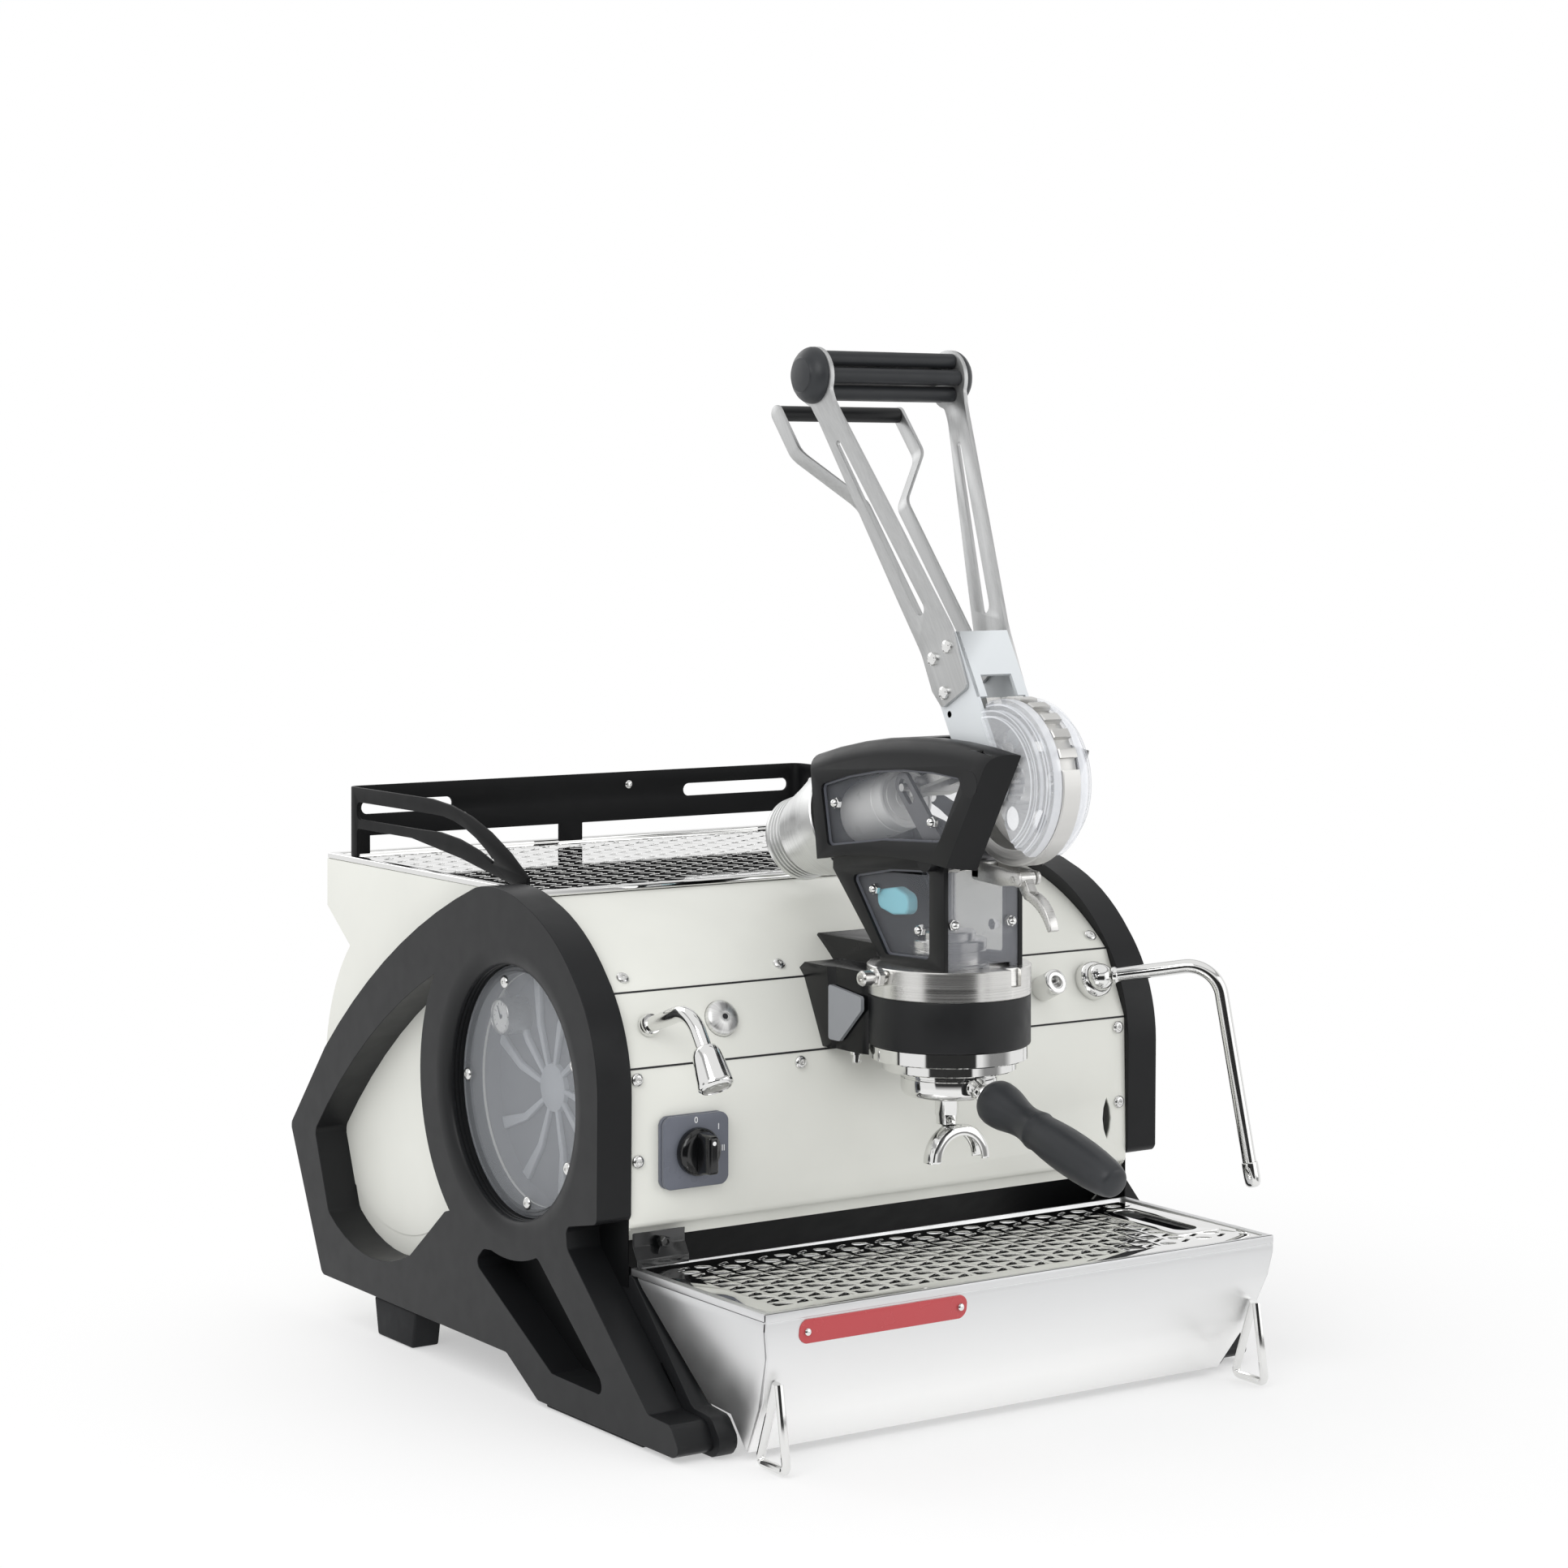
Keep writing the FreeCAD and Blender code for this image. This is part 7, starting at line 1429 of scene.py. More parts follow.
class ESPRESSO_OT_portafilter(bpy.types.Operator):
    """Model the filter holder, its grip and its double spout"""

    bl_idname = "espresso.portafilter"
    bl_label = "Filter holder"

    def execute(self, context):
        self.holder()
        self.grip()
        self.spout()
        return {"FINISHED"}

    def holder(self):
        low, high = 226.0, 256.0
        profile = [(0, low), (29.0, low), (31.5, low + 0.5), (33.8, low + 1.8), (35.3, low + 3.6), (36.0, low + 6.0),
                   (36.0, low + 14.0), (35.5, low + 14.6), (35.5, low + 15.4), (36.0, low + 16.0), (36.0, high - 0.6),
                   (35.4, high), (30.5, high), (30.5, low + 6), (0, low + 6)]
        cup = turned("holder", profile, (0, GROUP_Y, 0), (0, 0, 1), 128)
        ears = []
        for sign in (-1, 1):
            outer = [(sign * 41.0 * math.cos(math.radians(a)), GROUP_Y + 41.0 * math.sin(math.radians(a)))
                     for a in range(-15, 16, 3)]
            inner = [(sign * 34.0 * math.cos(math.radians(a)), GROUP_Y + 34.0 * math.sin(math.radians(a)))
                     for a in range(15, -16, -3)]
            ears.append(bevel(slab("ear", outer + inner, plan_view(249.0), (0, 0, 4.5)), 0.6, 2, 40))
        end = Vector((0, -127.0, 230.0))
        way = (end - Vector((0, -270.0, 191.0))).normalized()
        start = end + way * 22.0
        neck = [(0, 0), (9.2, 0), (9.0, 2.0), (8.0, 4.2), (7.0, 7.0), (6.6, 10.0), (7.2, 12.0), (8.0, 13.2), (8.0, 15.2),
                (7.2, 16.2), (7.0, 18.0), (8.2, 19.4), (8.2, 22.0), (0, 22.0)]
        stem = turned("stem", neck, start, -way, 40)
        boss = turned("outlet", [(0, 0.5), (6.6, 0), (8.4, 0.3), (8.4, 6.0), (9.5, 8.0), (9.5, 20.0), (11.5, 22.0), (0, 22.4)],
                      (0, GROUP_Y + 3, low - 22), (0, 0, 1), 6)
        bevel(boss, 0.5, 2, 30)
        finish_piece(joined("holder", [cup, *ears, stem, boss]), "portafilter", ["portafilter_body"], FINISHES["chrome"], 35)

    def grip(self):
        start, end = Vector((0, -127.0, 230.0)), Vector((0, -270.0, 191.0))
        long = (end - start).length
        profile = [(0, 0), (11.0, 0), (13.4, 0.5), (15.2, 2.0), (16.5, 4.6), (17.1, 8.0), (17.0, 13.0), (16.3, 19.0),
                   (15.0, 25.0), (13.6, 31.0), (12.7, 37.0), (12.4, 42.0), (12.7, 47.0), (13.5, 52.0), (14.3, 55.6),
                   (14.5, 57.2), (14.2, 58.6), (13.9, 60.5), (14.2, 65.0), (15.0, 74.0), (15.7, 85.0), (15.9, 97.0),
                   (15.7, 110.0), (15.0, 122.0), (13.9, long - 15), (12.6, long - 8), (11.4, long - 4.2),
                   (10.2, long - 2.4), (8.6, long - 1.4), (0, long)]
        piece = turned("grip", profile, start, end - start, 96)
        finish_piece(piece, "portafilter", ["portafilter_grip"], FINISHES["slate"], 60)

    def spout(self):
        crest = 226.0 - 20
        y = GROUP_Y - 9
        r = 21.0
        centre = crest - r - 6
        floor, lip = r + 6.5, r - 2.0
        channel = [(floor - 4.2, -7), (floor - 1.6, -6.0), (floor, -3.4), (floor, 3.4), (floor - 1.6, 6.0), (floor - 4.2, 7),
                   (lip, 7), (lip, 5.2), (floor - 5.0, 5.2), (floor - 2.4, 3.2), (floor - 2.0, 0), (floor - 2.4, -3.2),
                   (floor - 5.0, -5.2), (lip, -5.2), (lip, -7)]
        arch = turned("arch", channel, (0, y, centre), (0, 1, 0), 40, (-1, 0, 0), 180.0)
        if max(v.co.z for v in arch.data.vertices) < (centre + 5) * MM:
            arch.data.transform(Matrix.Translation((0, 0, centre * MM)) @ Matrix.Scale(-1, 4, (0, 0, 1))
                                @ Matrix.Translation((0, 0, -centre * MM)))
            tidy_mesh(arch)
        cut(arch, block("tool", (-60, y - 30, 226.0 - 22), (60, y + 30, 270)))
        bevel(arch, 0.4, 2, 50)
        socket = turned("socket", [(0, 0), (6.9, 0), (7.5, 0.6), (7.5, 11.6), (0, 11.6)], (0, GROUP_Y - 3, 226.0 - 33.6),
                        (0, 0, 1), 40)
        cut(socket, slab("tool", round_outline((0, centre), r + 4, 64), front_view(y - 20), (0, 40, 0)))
        finish_piece(joined("double_spout", [arch, socket]), "portafilter", ["portafilter_spout"], FINISHES["chrome"], 35)


def acorn_nut(place, out, size=4.4):
    """Hexagonal nut with a round cap."""
    nut = turned("nut", [(0, 0), (size, 0), (size, 2.7), (size * 0.92, 3.2), (0, 3.2)], place, out, 6)
    r = size * 0.8
    cap = [(r * math.cos(math.radians(a)), 3.2 + r * 1.02 * math.sin(math.radians(a))) for a in (0, 20, 40, 60, 80)]
    return joined("nut", [nut, turned("cap", [(0, 3.0), (r, 3.0), *cap, (0, 3.2 + r * 1.03)], place, out, 24)])


def shrunk(outline, distance):
    """Outline moved inwards by a distance."""
    count = len(outline)
    area = sum(outline[i][0] * outline[(i + 1) % count][1] - outline[(i + 1) % count][0] * outline[i][1] for i in range(count))
    sign = 1 if area > 0 else -1
    result = []
    for i in range(count):
        before, here, after = (Vector(outline[(i + k) % count]) for k in (-1, 0, 1))
        first, second = (here - before).normalized(), (after - here).normalized()
        normal = Vector((-(first.y + second.y), first.x + second.x)).normalized() * sign
        stretch = max(0.5, normal.dot(Vector((-first.y, first.x)) * sign))
        result.append(tuple(here + normal * distance / stretch))
    return result


HOOD_HALF = 46.0
HOOD_WALL = 4.0
NECK_HALF = 36.0
NECK_FRONT = -117.0
COLLAR_TOP = 324.0
ROCKER = (-105.0, 405.0)
SPRING_TILT = 17.0
UPPER_WINDOW = [(17.0, 405.0), (26.0, 451.0), *arc((26.0, 451.0), (-70.0, 468.5), (-152.0, 467.0), 4), (-124.0, 419.0),
                *arc((-124.0, 419.0), (-55.0, 415.0), (17.0, 405.0), 4)[:-1]]
LOWER_WINDOW = [(0.0, 384.0), (-45.0, 329.0), (-99.0, 331.0), (-99.0, 396.0), (-50.0, 393.0)]


def spring_place(along, above, x=0.0):
    """Point in the spring unit's frame: along its axis from above the pivot, and above the axis."""
    tilt = math.radians(SPRING_TILT)
    return Vector((x, PIVOT[0] + along * math.cos(tilt) + above * math.sin(tilt),
                   PIVOT[1] - along * math.sin(tilt) + above * math.cos(tilt)))


SPRING_AXIS = Vector((0, math.cos(math.radians(SPRING_TILT)), -math.sin(math.radians(SPRING_TILT))))


def hood_side(grow):
    """Upper part of the hood seen from the side."""
    rear = (41.0 + grow, 473.0 + grow * 0.8)
    tip = (-200.0 - grow, 486.0 + grow * 0.5)
    chin = (-148.0 - grow, 400.0 - grow)
    heel = (31.0 + grow, 394.0 - grow)
    return [heel, rear, *arc(rear, (-72.0, 492.0 + grow), tip, 3), chin, *arc(chin, (-60.0, 404.0 - grow), heel, 3)[:-1]]


class ESPRESSO_OT_hood(bpy.types.Operator):
    """Model the hood with its windows, the clear shield, the acorn nuts and the catch lever"""

    bl_idname = "espresso.hood"
    bl_label = "Hood"

    def execute(self, context):
        self.shell()
        self.borders()
        self.shield()
        self.nuts()
        self.catch()
        return {"FINISHED"}

    def shell(self):
        upper = slab("hood", hood_side(0.0), side_view(-HOOD_HALF), (2 * HOOD_HALF, 0, 0))
        side = (HOOD_HALF - 0.1)
        bevel_where(upper, lambda a, b: a.z > 472 and b.z > 472 and abs(a.x) > side and abs(b.x) > side
                    and abs(a.x - b.x) < 1, 12.0, 6)
        neck = [(24.0, 398.0), (24.0, 387.0), (-39.0, COLLAR_TOP), (NECK_FRONT, COLLAR_TOP), (NECK_FRONT, 402.0),
                *arc((NECK_FRONT, 402.0), (-50.0, 408.0), (24.0, 398.0), 4)[:-1]]
        for sign in (-1, 1):
            cut(upper, self.front_slope(sign, 0.0))
        cut(upper, slab("tool", neck, side_view(-NECK_HALF), (2 * NECK_HALF, 0, 0)), operation="UNION")
        room = slab("tool", hood_side(-HOOD_WALL), side_view(-HOOD_HALF + HOOD_WALL), (2 * (HOOD_HALF - HOOD_WALL), 0, 0))
        cut(upper, cut(room, self.front_slope(-1, 6.0), self.front_slope(1, 6.0)))
        hollow = [(20.0, 420.0), (20.0, 389.0), (-42.0, COLLAR_TOP - 1), (NECK_FRONT - 5, COLLAR_TOP - 1),
                  (NECK_FRONT - 5, 397.0), (NECK_FRONT + 4, 420.0)]
        cut(upper, slab("tool", hollow, side_view(-NECK_HALF + HOOD_WALL), (2 * (NECK_HALF - HOOD_WALL), 0, 0)))
        mouth = [(-240, 380), (-170.0, 380.0), (-134.0, 395.5), (-93.0, 395.5), (-93.0, 520), (-240, 520)]
        cut(upper, slab("tool", mouth, side_view(-29.5), (59.0, 0, 0)))
        cut(upper, slab("tool", softened(UPPER_WINDOW, 4), side_view(-HOOD_HALF - 5), (2 * HOOD_HALF + 10, 0, 0)))
        cut(upper, slab("tool", softened(LOWER_WINDOW, 4), side_view(-HOOD_HALF - 5), (2 * HOOD_HALF + 10, 0, 0)))
        hole = turned("tool", [(0, 150), (24.0, 150), (24.0, 270), (0, 270)], spring_place(0, 20.0), SPRING_AXIS, 64)
        cut(upper, hole)
        cut(upper, turned("tool", [(0, -44.7), (8.1, -44.7), (8.1, 44.7), (0, 44.7)], (0, *PIVOT), (1, 0, 0), 48))
        tidy_mesh(upper, 0.0002)
        bevel(upper, 1.1, 3, 45)
        parts = [upper]
        for x0, x1 in ((-HOOD_HALF + 1, -28.8), (28.8, HOOD_HALF - 1)):
            parts.append(turned("boss", [(0, 0), (9, 0), (9, x1 - x0), (0, x1 - x0)], (x0, *ROCKER), (1, 0, 0), 32))
        parts.append(turned("pin", [(0, -44), (4, -44), (4, 44), (0, 44)], (0, *ROCKER), (1, 0, 0), 24))
        cheek = slab("cheek", softened([(NECK_FRONT + 1, 390.0), (NECK_FRONT + 1, 403.0), (-138.0, 402.5), (-172.0, 399.0),
                                        (-172.0, 390.0), (-150.0, 388.0)], 3), side_view(7.4), (3.0, 0, 0))
        bevel(cheek, 0.6, 2, 40)
        bridge = bevel(block("bridge", (-10.4, NECK_FRONT - 8, 391.0), (10.4, NECK_FRONT + 1, 403.0)), 1.0, 2)
        pin = turned("pin", [(0, -11.4), (2.2, -11.4), (2.4, -11.0), (2.4, 11.0), (2.2, 11.4), (0, 11.4)],
                     (0, -165.0, 394.0), (1, 0, 0), 24)
        for x in (-HOOD_HALF, HOOD_HALF):
            parts.append(turned("shaft_cap", [(0, -1.2), (9.8, -1.2), (9.8, 0.12), (0, 0.12)], (x, *PIVOT), (x, 0, 0), 64))
        finish_piece(joined("hood_shell", parts), "machine", ["hood_frame"], FINISHES["hood"], 38)
        finish_piece(joined("catch_bracket", [cheek, mirrored(cheek), bridge, pin]), "machine", [], FINISHES["steel_plain"], 38)

    def front_slope(self, sign, inside):
        """Wedge that slopes one front edge of the hood towards the middle, along the line from chin to tip."""
        lean = (200.0 - 148.0) / (486.0 - 400.0)
        edge = -148.0 + 20.0 * lean + inside
        outline = [(sign * 50, edge + 20), (sign * 26, edge - 4), (sign * 26, -175 + inside), (sign * 50, -175 + inside)]
        return slab("tool", outline, plan_view(380), (0, -140 * lean, 140))

    def borders(self):
        """Strip round each pane, just inside its window, painted dark as the shade of the gap at the pane's edge."""
        strips = []
        for outline, half in ((UPPER_WINDOW, HOOD_HALF), (LOWER_WINDOW, NECK_HALF)):
            outer = softened(outline, 4)
            inner = shrunk(outer, 1.5)
            strip = filled_between("strip", outer, [inner], side_view(-half + 3.0))
            tidy_mesh(strip)
            shape_with(strip, "SOLIDIFY", thickness=1.4 * MM, offset=0.0)
            strips += [strip, mirrored(strip)]
        finish_piece(joined("pane_borders", strips), "machine", [], FINISHES["pane_shade_strip"])
        panes = []
        upper = [(22.0, 406.0), (30.0, 454.0), *arc((30.0, 454.0), (-70.0, 471.5), (-150.5, 469.0), 4), (-125.0, 416.0),
                 *arc((-125.0, 416.0), (-58.0, 411.0), (22.0, 406.0), 4)[:-1]]
        lower = [(4.0, 386.0), (-42.0, 328.0), (-103.0, 328.0), (-103.0, 392.0), (-50.0, 390.0)]
        for outline, half in ((upper, HOOD_HALF), (lower, NECK_HALF)):
            pane = slab("pane", outline, side_view(-half + HOOD_WALL), (2.5, 0, 0))
            bevel(pane, 0.4, 2, 50)
            panes += [pane, mirrored(pane)]
        finish_piece(joined("hood_panes", panes), "machine", ["hood_windows"], FINISHES["glazing"])

    def shield(self):
        half = NECK_HALF - HOOD_WALL
        plate = block("shield", (-half, NECK_FRONT + 0.5, COLLAR_TOP), (half, NECK_FRONT + 3.0, 396.0))
        cut(plate, block("tool", (6, NECK_FRONT - 5, COLLAR_TOP - 1), (26, NECK_FRONT + 5, COLLAR_TOP + 3)))
        bevel(plate, 0.4, 2)
        finish_piece(plate, "machine", ["front_shield"], FINISHES["shield"])

    def nuts(self):
        nuts = []
        for x, y, z, way in ((-NECK_HALF, -28.0, 376.0, -1), (-NECK_HALF, -85.0, 351.0, -1), (-HOOD_HALF, 8.0, 438.0, -1),
                             (-HOOD_HALF, -114.0, 433.0, -1)):
            nut = acorn_nut((x + HOOD_WALL, y, z), (way, 0, 0))
            nuts += [nut, mirrored(nut)]
        for x in (-28.0, 24.0):
            nuts.append(acorn_nut((x, NECK_FRONT + 0.5, 357.5), (0, -1, 0)))
        finish_piece(joined("acorn_nuts", nuts), "machine", ["hood_nuts"], FINISHES["chrome"], 25)

    def catch(self):
        curve = [(-168.0, 399.0), (-176.0, 386.0), *arc((-176.0, 386.0), (-190.0, 379.0), (-201.0, 360.0), 6),
                 (-197.0, 359.0), *arc((-197.0, 359.0), (-184.0, 374.0), (-170.0, 380.0), 6), (-160.0, 391.0),
                 (-160.0, 399.0)]
        blade = bevel(slab("blade", curve, side_view(-4), (8, 0, 0)), 0.8, 3, 40)
        hub = turned("hub", [(2.6, -7), (5.4, -7), (6, -6.4), (6, 6.4), (5.4, 7), (2.6, 7)], (0, -165.0, 394.0), (1, 0, 0), 32)
        finish_piece(joined("catch_blade", [blade, hub]), "catch", ["trigger"], FINISHES["steel_level"], 40)


class ESPRESSO_OT_spring_unit(bpy.types.Operator):
    """Model the steel sleeve, the ribbed barrel behind the hood and the painted block in the neck"""

    bl_idname = "espresso.spring_unit"
    bl_label = "Spring unit"

    def execute(self, context):
        origin = spring_place(0, 20.0)
        sleeve = [(5.3, 139), (9, 139), (9.4, 139.6), (13.4, 139.6), (13.8, 139), (17.6, 139), (18.0, 139.8), (20.6, 139.8),
                  (21.4, 139), (22.4, 139), (23.5, 139.6), (24.0, 141.0), (24.0, 150.0), (23.4, 150.6), (23.4, 151.6),
                  (24.0, 152.2), (24.0, 205), (21, 205), (21, 144), (5.3, 144)]
        # The sleeve's pale paint is a painted reflection of light on the steel.
        finish_piece(turned("sleeve", sleeve, origin, SPRING_AXIS, 96), "machine", ["spring_sleeve"], FINISHES["sleeve"], 35)
        self.barrel(origin)
        self.link()
        return {"FINISHED"}

    def barrel(self, origin):
        start, end, front, rear = 204.0, 288.0, 45.0, 31.0
        ribs = end - 22.0
        bow = arc((front, start + 14), (front - 5, start + 32), (rear + 2, ribs), 6)
        profile = [(24.0, start), (front - 1, start), (front, start + 1), (front, start + 14), *bow]
        for index in range(4):
            z = ribs + index * 4.5
            profile += [(rear + 0.3, z + 0.5), (rear, z + 1.2), (rear, z + 2.2), (rear + 0.5, z + 2.7), (rear + 1.7, z + 3.0),
                        (rear + 2, z + 3.5), (rear + 2, z + 4.2)]
        profile += [(rear + 2, end - 2), (rear + 1.4, end - 0.6), (rear, end), (14, end), (13, end - 1), (8, end - 1),
                    (8, end - 4), (23, end - 4), (23, start + 6), (24, start + 6)]
        piece = turned("barrel", profile, origin, SPRING_AXIS, 96)
        cut(piece, slab("tool", [(0, 300), (31.0, 380.0), (43.0, 500.0), (0, 500)], side_view(-80), (160, 0, 0)))
        finish_piece(piece, "machine", ["spring_barrel"], FINISHES["barrel"], 35)

    def link(self):
        """Rounded block just inside the neck's left window."""
        outline = softened([(-24.0, 375.0), (-26.0, 362.0), (-44.0, 358.0), (-64.0, 360.0), (-64.0, 374.0), (-48.0, 379.0)], 5)
        piece = bevel(slab("link", outline, side_view(-30), (10, 0, 0)), 2.0, 4, 40)
        finish_piece(piece, "machine", [], FINISHES["link"])


def lever_point(u, v, x=0.0):
    """Point in the machine's millimetres from the lever's own frame."""
    place = (lever_view(x)(u, v) - HOME) / MM
    return tuple(place)


def lever_turned(name, profile, u, v, x, way=1, steps=48):
    """Round piece along X at a place on the lever."""
    return turned(name, profile, lever_point(u, v, x), (way, 0, 0), steps)


def lever_up(piece, vertex):
    """How far up the lever a vertex lies, in millimetres."""
    lean = math.radians(LEVER_LEAN)
    place = (vertex.co - HOME) / MM - Vector((0, *PIVOT))
    return place.y * math.sin(lean) + place.z * math.cos(lean)


def bent_outwards(piece, low, high, reach):
    """Moves a plate outwards in X: not at all below low, all of reach above high, evenly between."""
    lean = math.radians(LEVER_LEAN)
    way = Vector((0, math.sin(lean), math.cos(lean)))
    soft = 5.0
    cuts = [low + (high - low) * k / 6 for k in range(1, 6)]
    cuts += [edge + soft * k / 3 for edge in (low, high) for k in (-3, -2, -1, 0, 1, 2, 3)]
    sliced(piece, [lever_view(0)(u, 0) for u in sorted(cuts)], way)
    for vertex in piece.data.vertices:
        u = lever_up(piece, vertex)
        share = 0.0
        for k in range(-3, 4):
            share += min(1.0, max(0.0, (u + k * soft / 3 - low) / (high - low))) / 7
        vertex.co.x += reach * share * MM
    return piece


class ESPRESSO_OT_lever(bpy.types.Operator):
    """Model the lever: wheel, clear covers, channel, slotted arms, six-tube grip, screws and release fork"""

    bl_idname = "espresso.lever"
    bl_label = "Lever"

    def execute(self, context):
        self.wheel()
        self.covers()
        self.channel()
        self.arms()
        self.handle()
        self.screws()
        self.fork()
        return {"FINISHED"}

    def wheel(self):
        profile = [(8.0, -8.8), (16.4, -8.8), (17.0, -8.2), (17.0, 5.0), (49.0, 5.0), (49.0, -8.0), (60.2, -8.0), (61.0, -7.2),
                   (61.0, 7.2), (60.2, 8.0), (17.0, 8.0), (16.4, 8.8), (8.0, 8.8)]
        piece = turned("wheel", profile, (0, *PIVOT), (1, 0, 0), 144)
        for index in range(8):
            angle = math.radians(LEVER_LEAN + math.degrees(1.7 / 61.0) - index * 15.0)
            way, side = Vector((math.sin(angle), math.cos(angle))), Vector((math.cos(angle), -math.sin(angle)))
            centre = Vector(PIVOT)
            corners = [centre + way * r + side * s for r, s in ((56.0, -4.5), (66.0, -4.5), (66.0, 4.5), (56.0, 4.5))]
            cut(piece, slab("tool", [tuple(c) for c in corners], side_view(-9), (18, 0, 0)))
        for index in range(6):
            a = math.radians(index * 60)
            cut(piece, disc_tool((PIVOT[0] + 33 * math.cos(a), PIVOT[1] + 33 * math.sin(a)), 9.0, -20, 20, 40))
        bevel(piece, 0.5, 2, 50)
        finish_piece(piece, "lever", ["index_ring"], FINISHES["wheel"], 35)

    def covers(self):
        r, out, inner = 59.5, 26.6, 8.3
        outside = [(0, out), (r - 31, out), (r - 30, out - 0.7), (r - 28.5, out - 0.7), (r - 27.5, out), (r - 13, out),
                   (r - 12, out - 0.4), (r - 11, out - 1.6), (r - 7.6, out - 2.2), (r - 6.6, out - 3.2), (r - 5, out - 7),
                   (r - 4.2, out - 7.8), (r - 2.2, out - 8.4), (r - 1.2, out - 9.4), (r, out - 12), (r, inner)]
        inside = [(r - 2, inner), (r - 2, out - 13), (r - 4, out - 10.2), (r - 7, out - 9.4), (r - 9, out - 4.8),
                  (r - 14, out - 3), (0, out - 3)]
        dish = turned("cover", outside + inside, (0, *PIVOT), (1, 0, 0), 96)
        keep = slab("tool", [(80, -12.3), (-16, -12.3), (-16, -1.0), (-80, -1.0), (-80, -80), (80, -80)], lever_view(0),
                    (60, 0, 0))
        cut(dish, keep, operation="INTERSECT")
        cut(dish, turned("tool", [(0, 0), (15, 0), (15, 60), (0, 60)], (0, *PIVOT), (1, 0, 0), 48))
        finish_piece(joined("clear_covers", [dish, mirrored(dish)]), "lever", ["gear_covers"], FINISHES["clear"], 30)

    def channel(self):
        outer, wall, front = 23.5, 3.0, -12.0
        web = slab("web", [(62.5, front), (115.5, front), (115.5, front + wall), (62.5, front + wall)], lever_view(-outer),
                   (2 * outer, 0, 0))
        window = slab("tool", [(61, -30), (80, -30), (80, 0), (61, 0)], lever_view(-14), (28, 0, 0))
        cut(web, window)
        side = [(115.5, front), (115.5, 12.0), (100.0, 31.0), (46.0, 31.0), (12.0, 15.0),
                *arc((12.0, 15.0), (-15.5, 0.0), (10.0, front), 8)]
        plate = slab("side", side, lever_view(outer - wall), (wall, 0, 0))
        cut(plate, disc_tool(PIVOT, 8.0, 0, 60, 48))
        body = cut(web, plate, mirrored(plate), operation="UNION")
        for extra in [o for o in bpy.context.collection.objects if o.name.startswith("side.")]:
            bpy.data.objects.remove(extra)
        tidy_mesh(body, 0.0001)
        bevel(body, 1.0, 3, 45)
        pins = [lever_turned("pin", [(0, -outer), (2.5, -outer), (2.5, outer), (0, outer)], u, v, 0, 1, 24)
                for u, v in ((66.0, 24.0), (104.0, 23.0))]
        finish_piece(joined("lever_yoke", [body, *pins]), "lever", ["lever_channel"], FINISHES["silver"], 40)

    def arms(self):
        foot, thick = 23.5, 3.5
        top = (362.5, 5.0)
        outline = [(72.0, -8.0), (118.0, -11.5), (210.0, -9.5), (300.0, -7.0), (312.0, -7.0), (322.0, -9.0),
                   *arc((322.0, -9.0), top, (322.0, 19.0), 8), (308.0, 18.0), (165.0, 27.0), (88.0, 31.0), (72.0, 26.0)]
        plate = slab("arm", softened(outline, 3, 20), lever_view(foot), (thick, 0, 0))
        hole = [(146.0, 4.0), (284.0, 6.5), *arc((284.0, 6.5), (286.6, 9.0), (284.0, 11.5), 20), (146.0, 15.0),
                *arc((146.0, 15.0), (140.5, 9.5), (146.0, 4.0), 12)[:-1]]
        cut(plate, slab("tool", hole, lever_view(0), (60, 0, 0)))
        bent_outwards(plate, 118.0, 318.0, 37.0)
        bevel(plate, 0.6, 2, 50)
        finish_piece(joined("slotted_arms", [plate, mirrored(plate)]), "lever", ["lever_arms"], FINISHES["steel_lever"], 30)

    def handle(self):
        half = 60.5
        tubes = []
        for index in range(6):
            a = math.radians(LEVER_LEAN + 180 + index * 60)
            u, v = 341.0 + 14.6 * math.sin(a), 5.0 + 14.6 * math.cos(a)
            tubes.append(lever_turned("tube", [(0, -half), (5.2, -half), (6.0, -half + 0.8), (6.0, half - 0.8), (5.2, half),
                                               (0, half)], u, v, 0, 1, 40))
        finish_piece(joined("grip_tubes", tubes), "lever", ["handle_tubes"], FINISHES["tubes"], 40)
        r = 21.5
        cap = [(0, 0), (r, 0), (r, 2.0), (20.9, 4.0), (19.6, 6.2), (17.6, 8.3), (15.0, 10.0), (13.4, 10.7), (13.0, 11.2),
               (12.6, 11.9), (8.0, 12.7), (4.0, 13.0), (0, 13.0)]
        piece = lever_turned("cap", cap, 341.0, 5.0, half + 3.5, 1, 64)
        finish_piece(joined("grip_caps", [piece, mirrored(piece)]), "lever", ["handle_caps"], FINISHES["slate"], 40)

    def screws(self):
        heads = []
        for u, v in ((108.0, -2.5), (108.0, 17.5), (80.0, 17.0)):
            head = lever_turned("head", [(0, 0), (5.0, 0), (5.0, 1.8), (4.7, 2.4), (3.6, 2.9), (0, 3.1)], u, v, 27.0, 1, 32)
            place = lever_point(u, v, 27.0)
            cut(head, block("tool", (28.6, place[1] - 6, place[2] - 0.55), (34, place[1] + 6, place[2] + 0.55)))
            heads += [head, mirrored(head)]
        finish_piece(joined("slotted_screws", heads), "lever", ["lever_screws"], FINISHES["chrome"], 35)

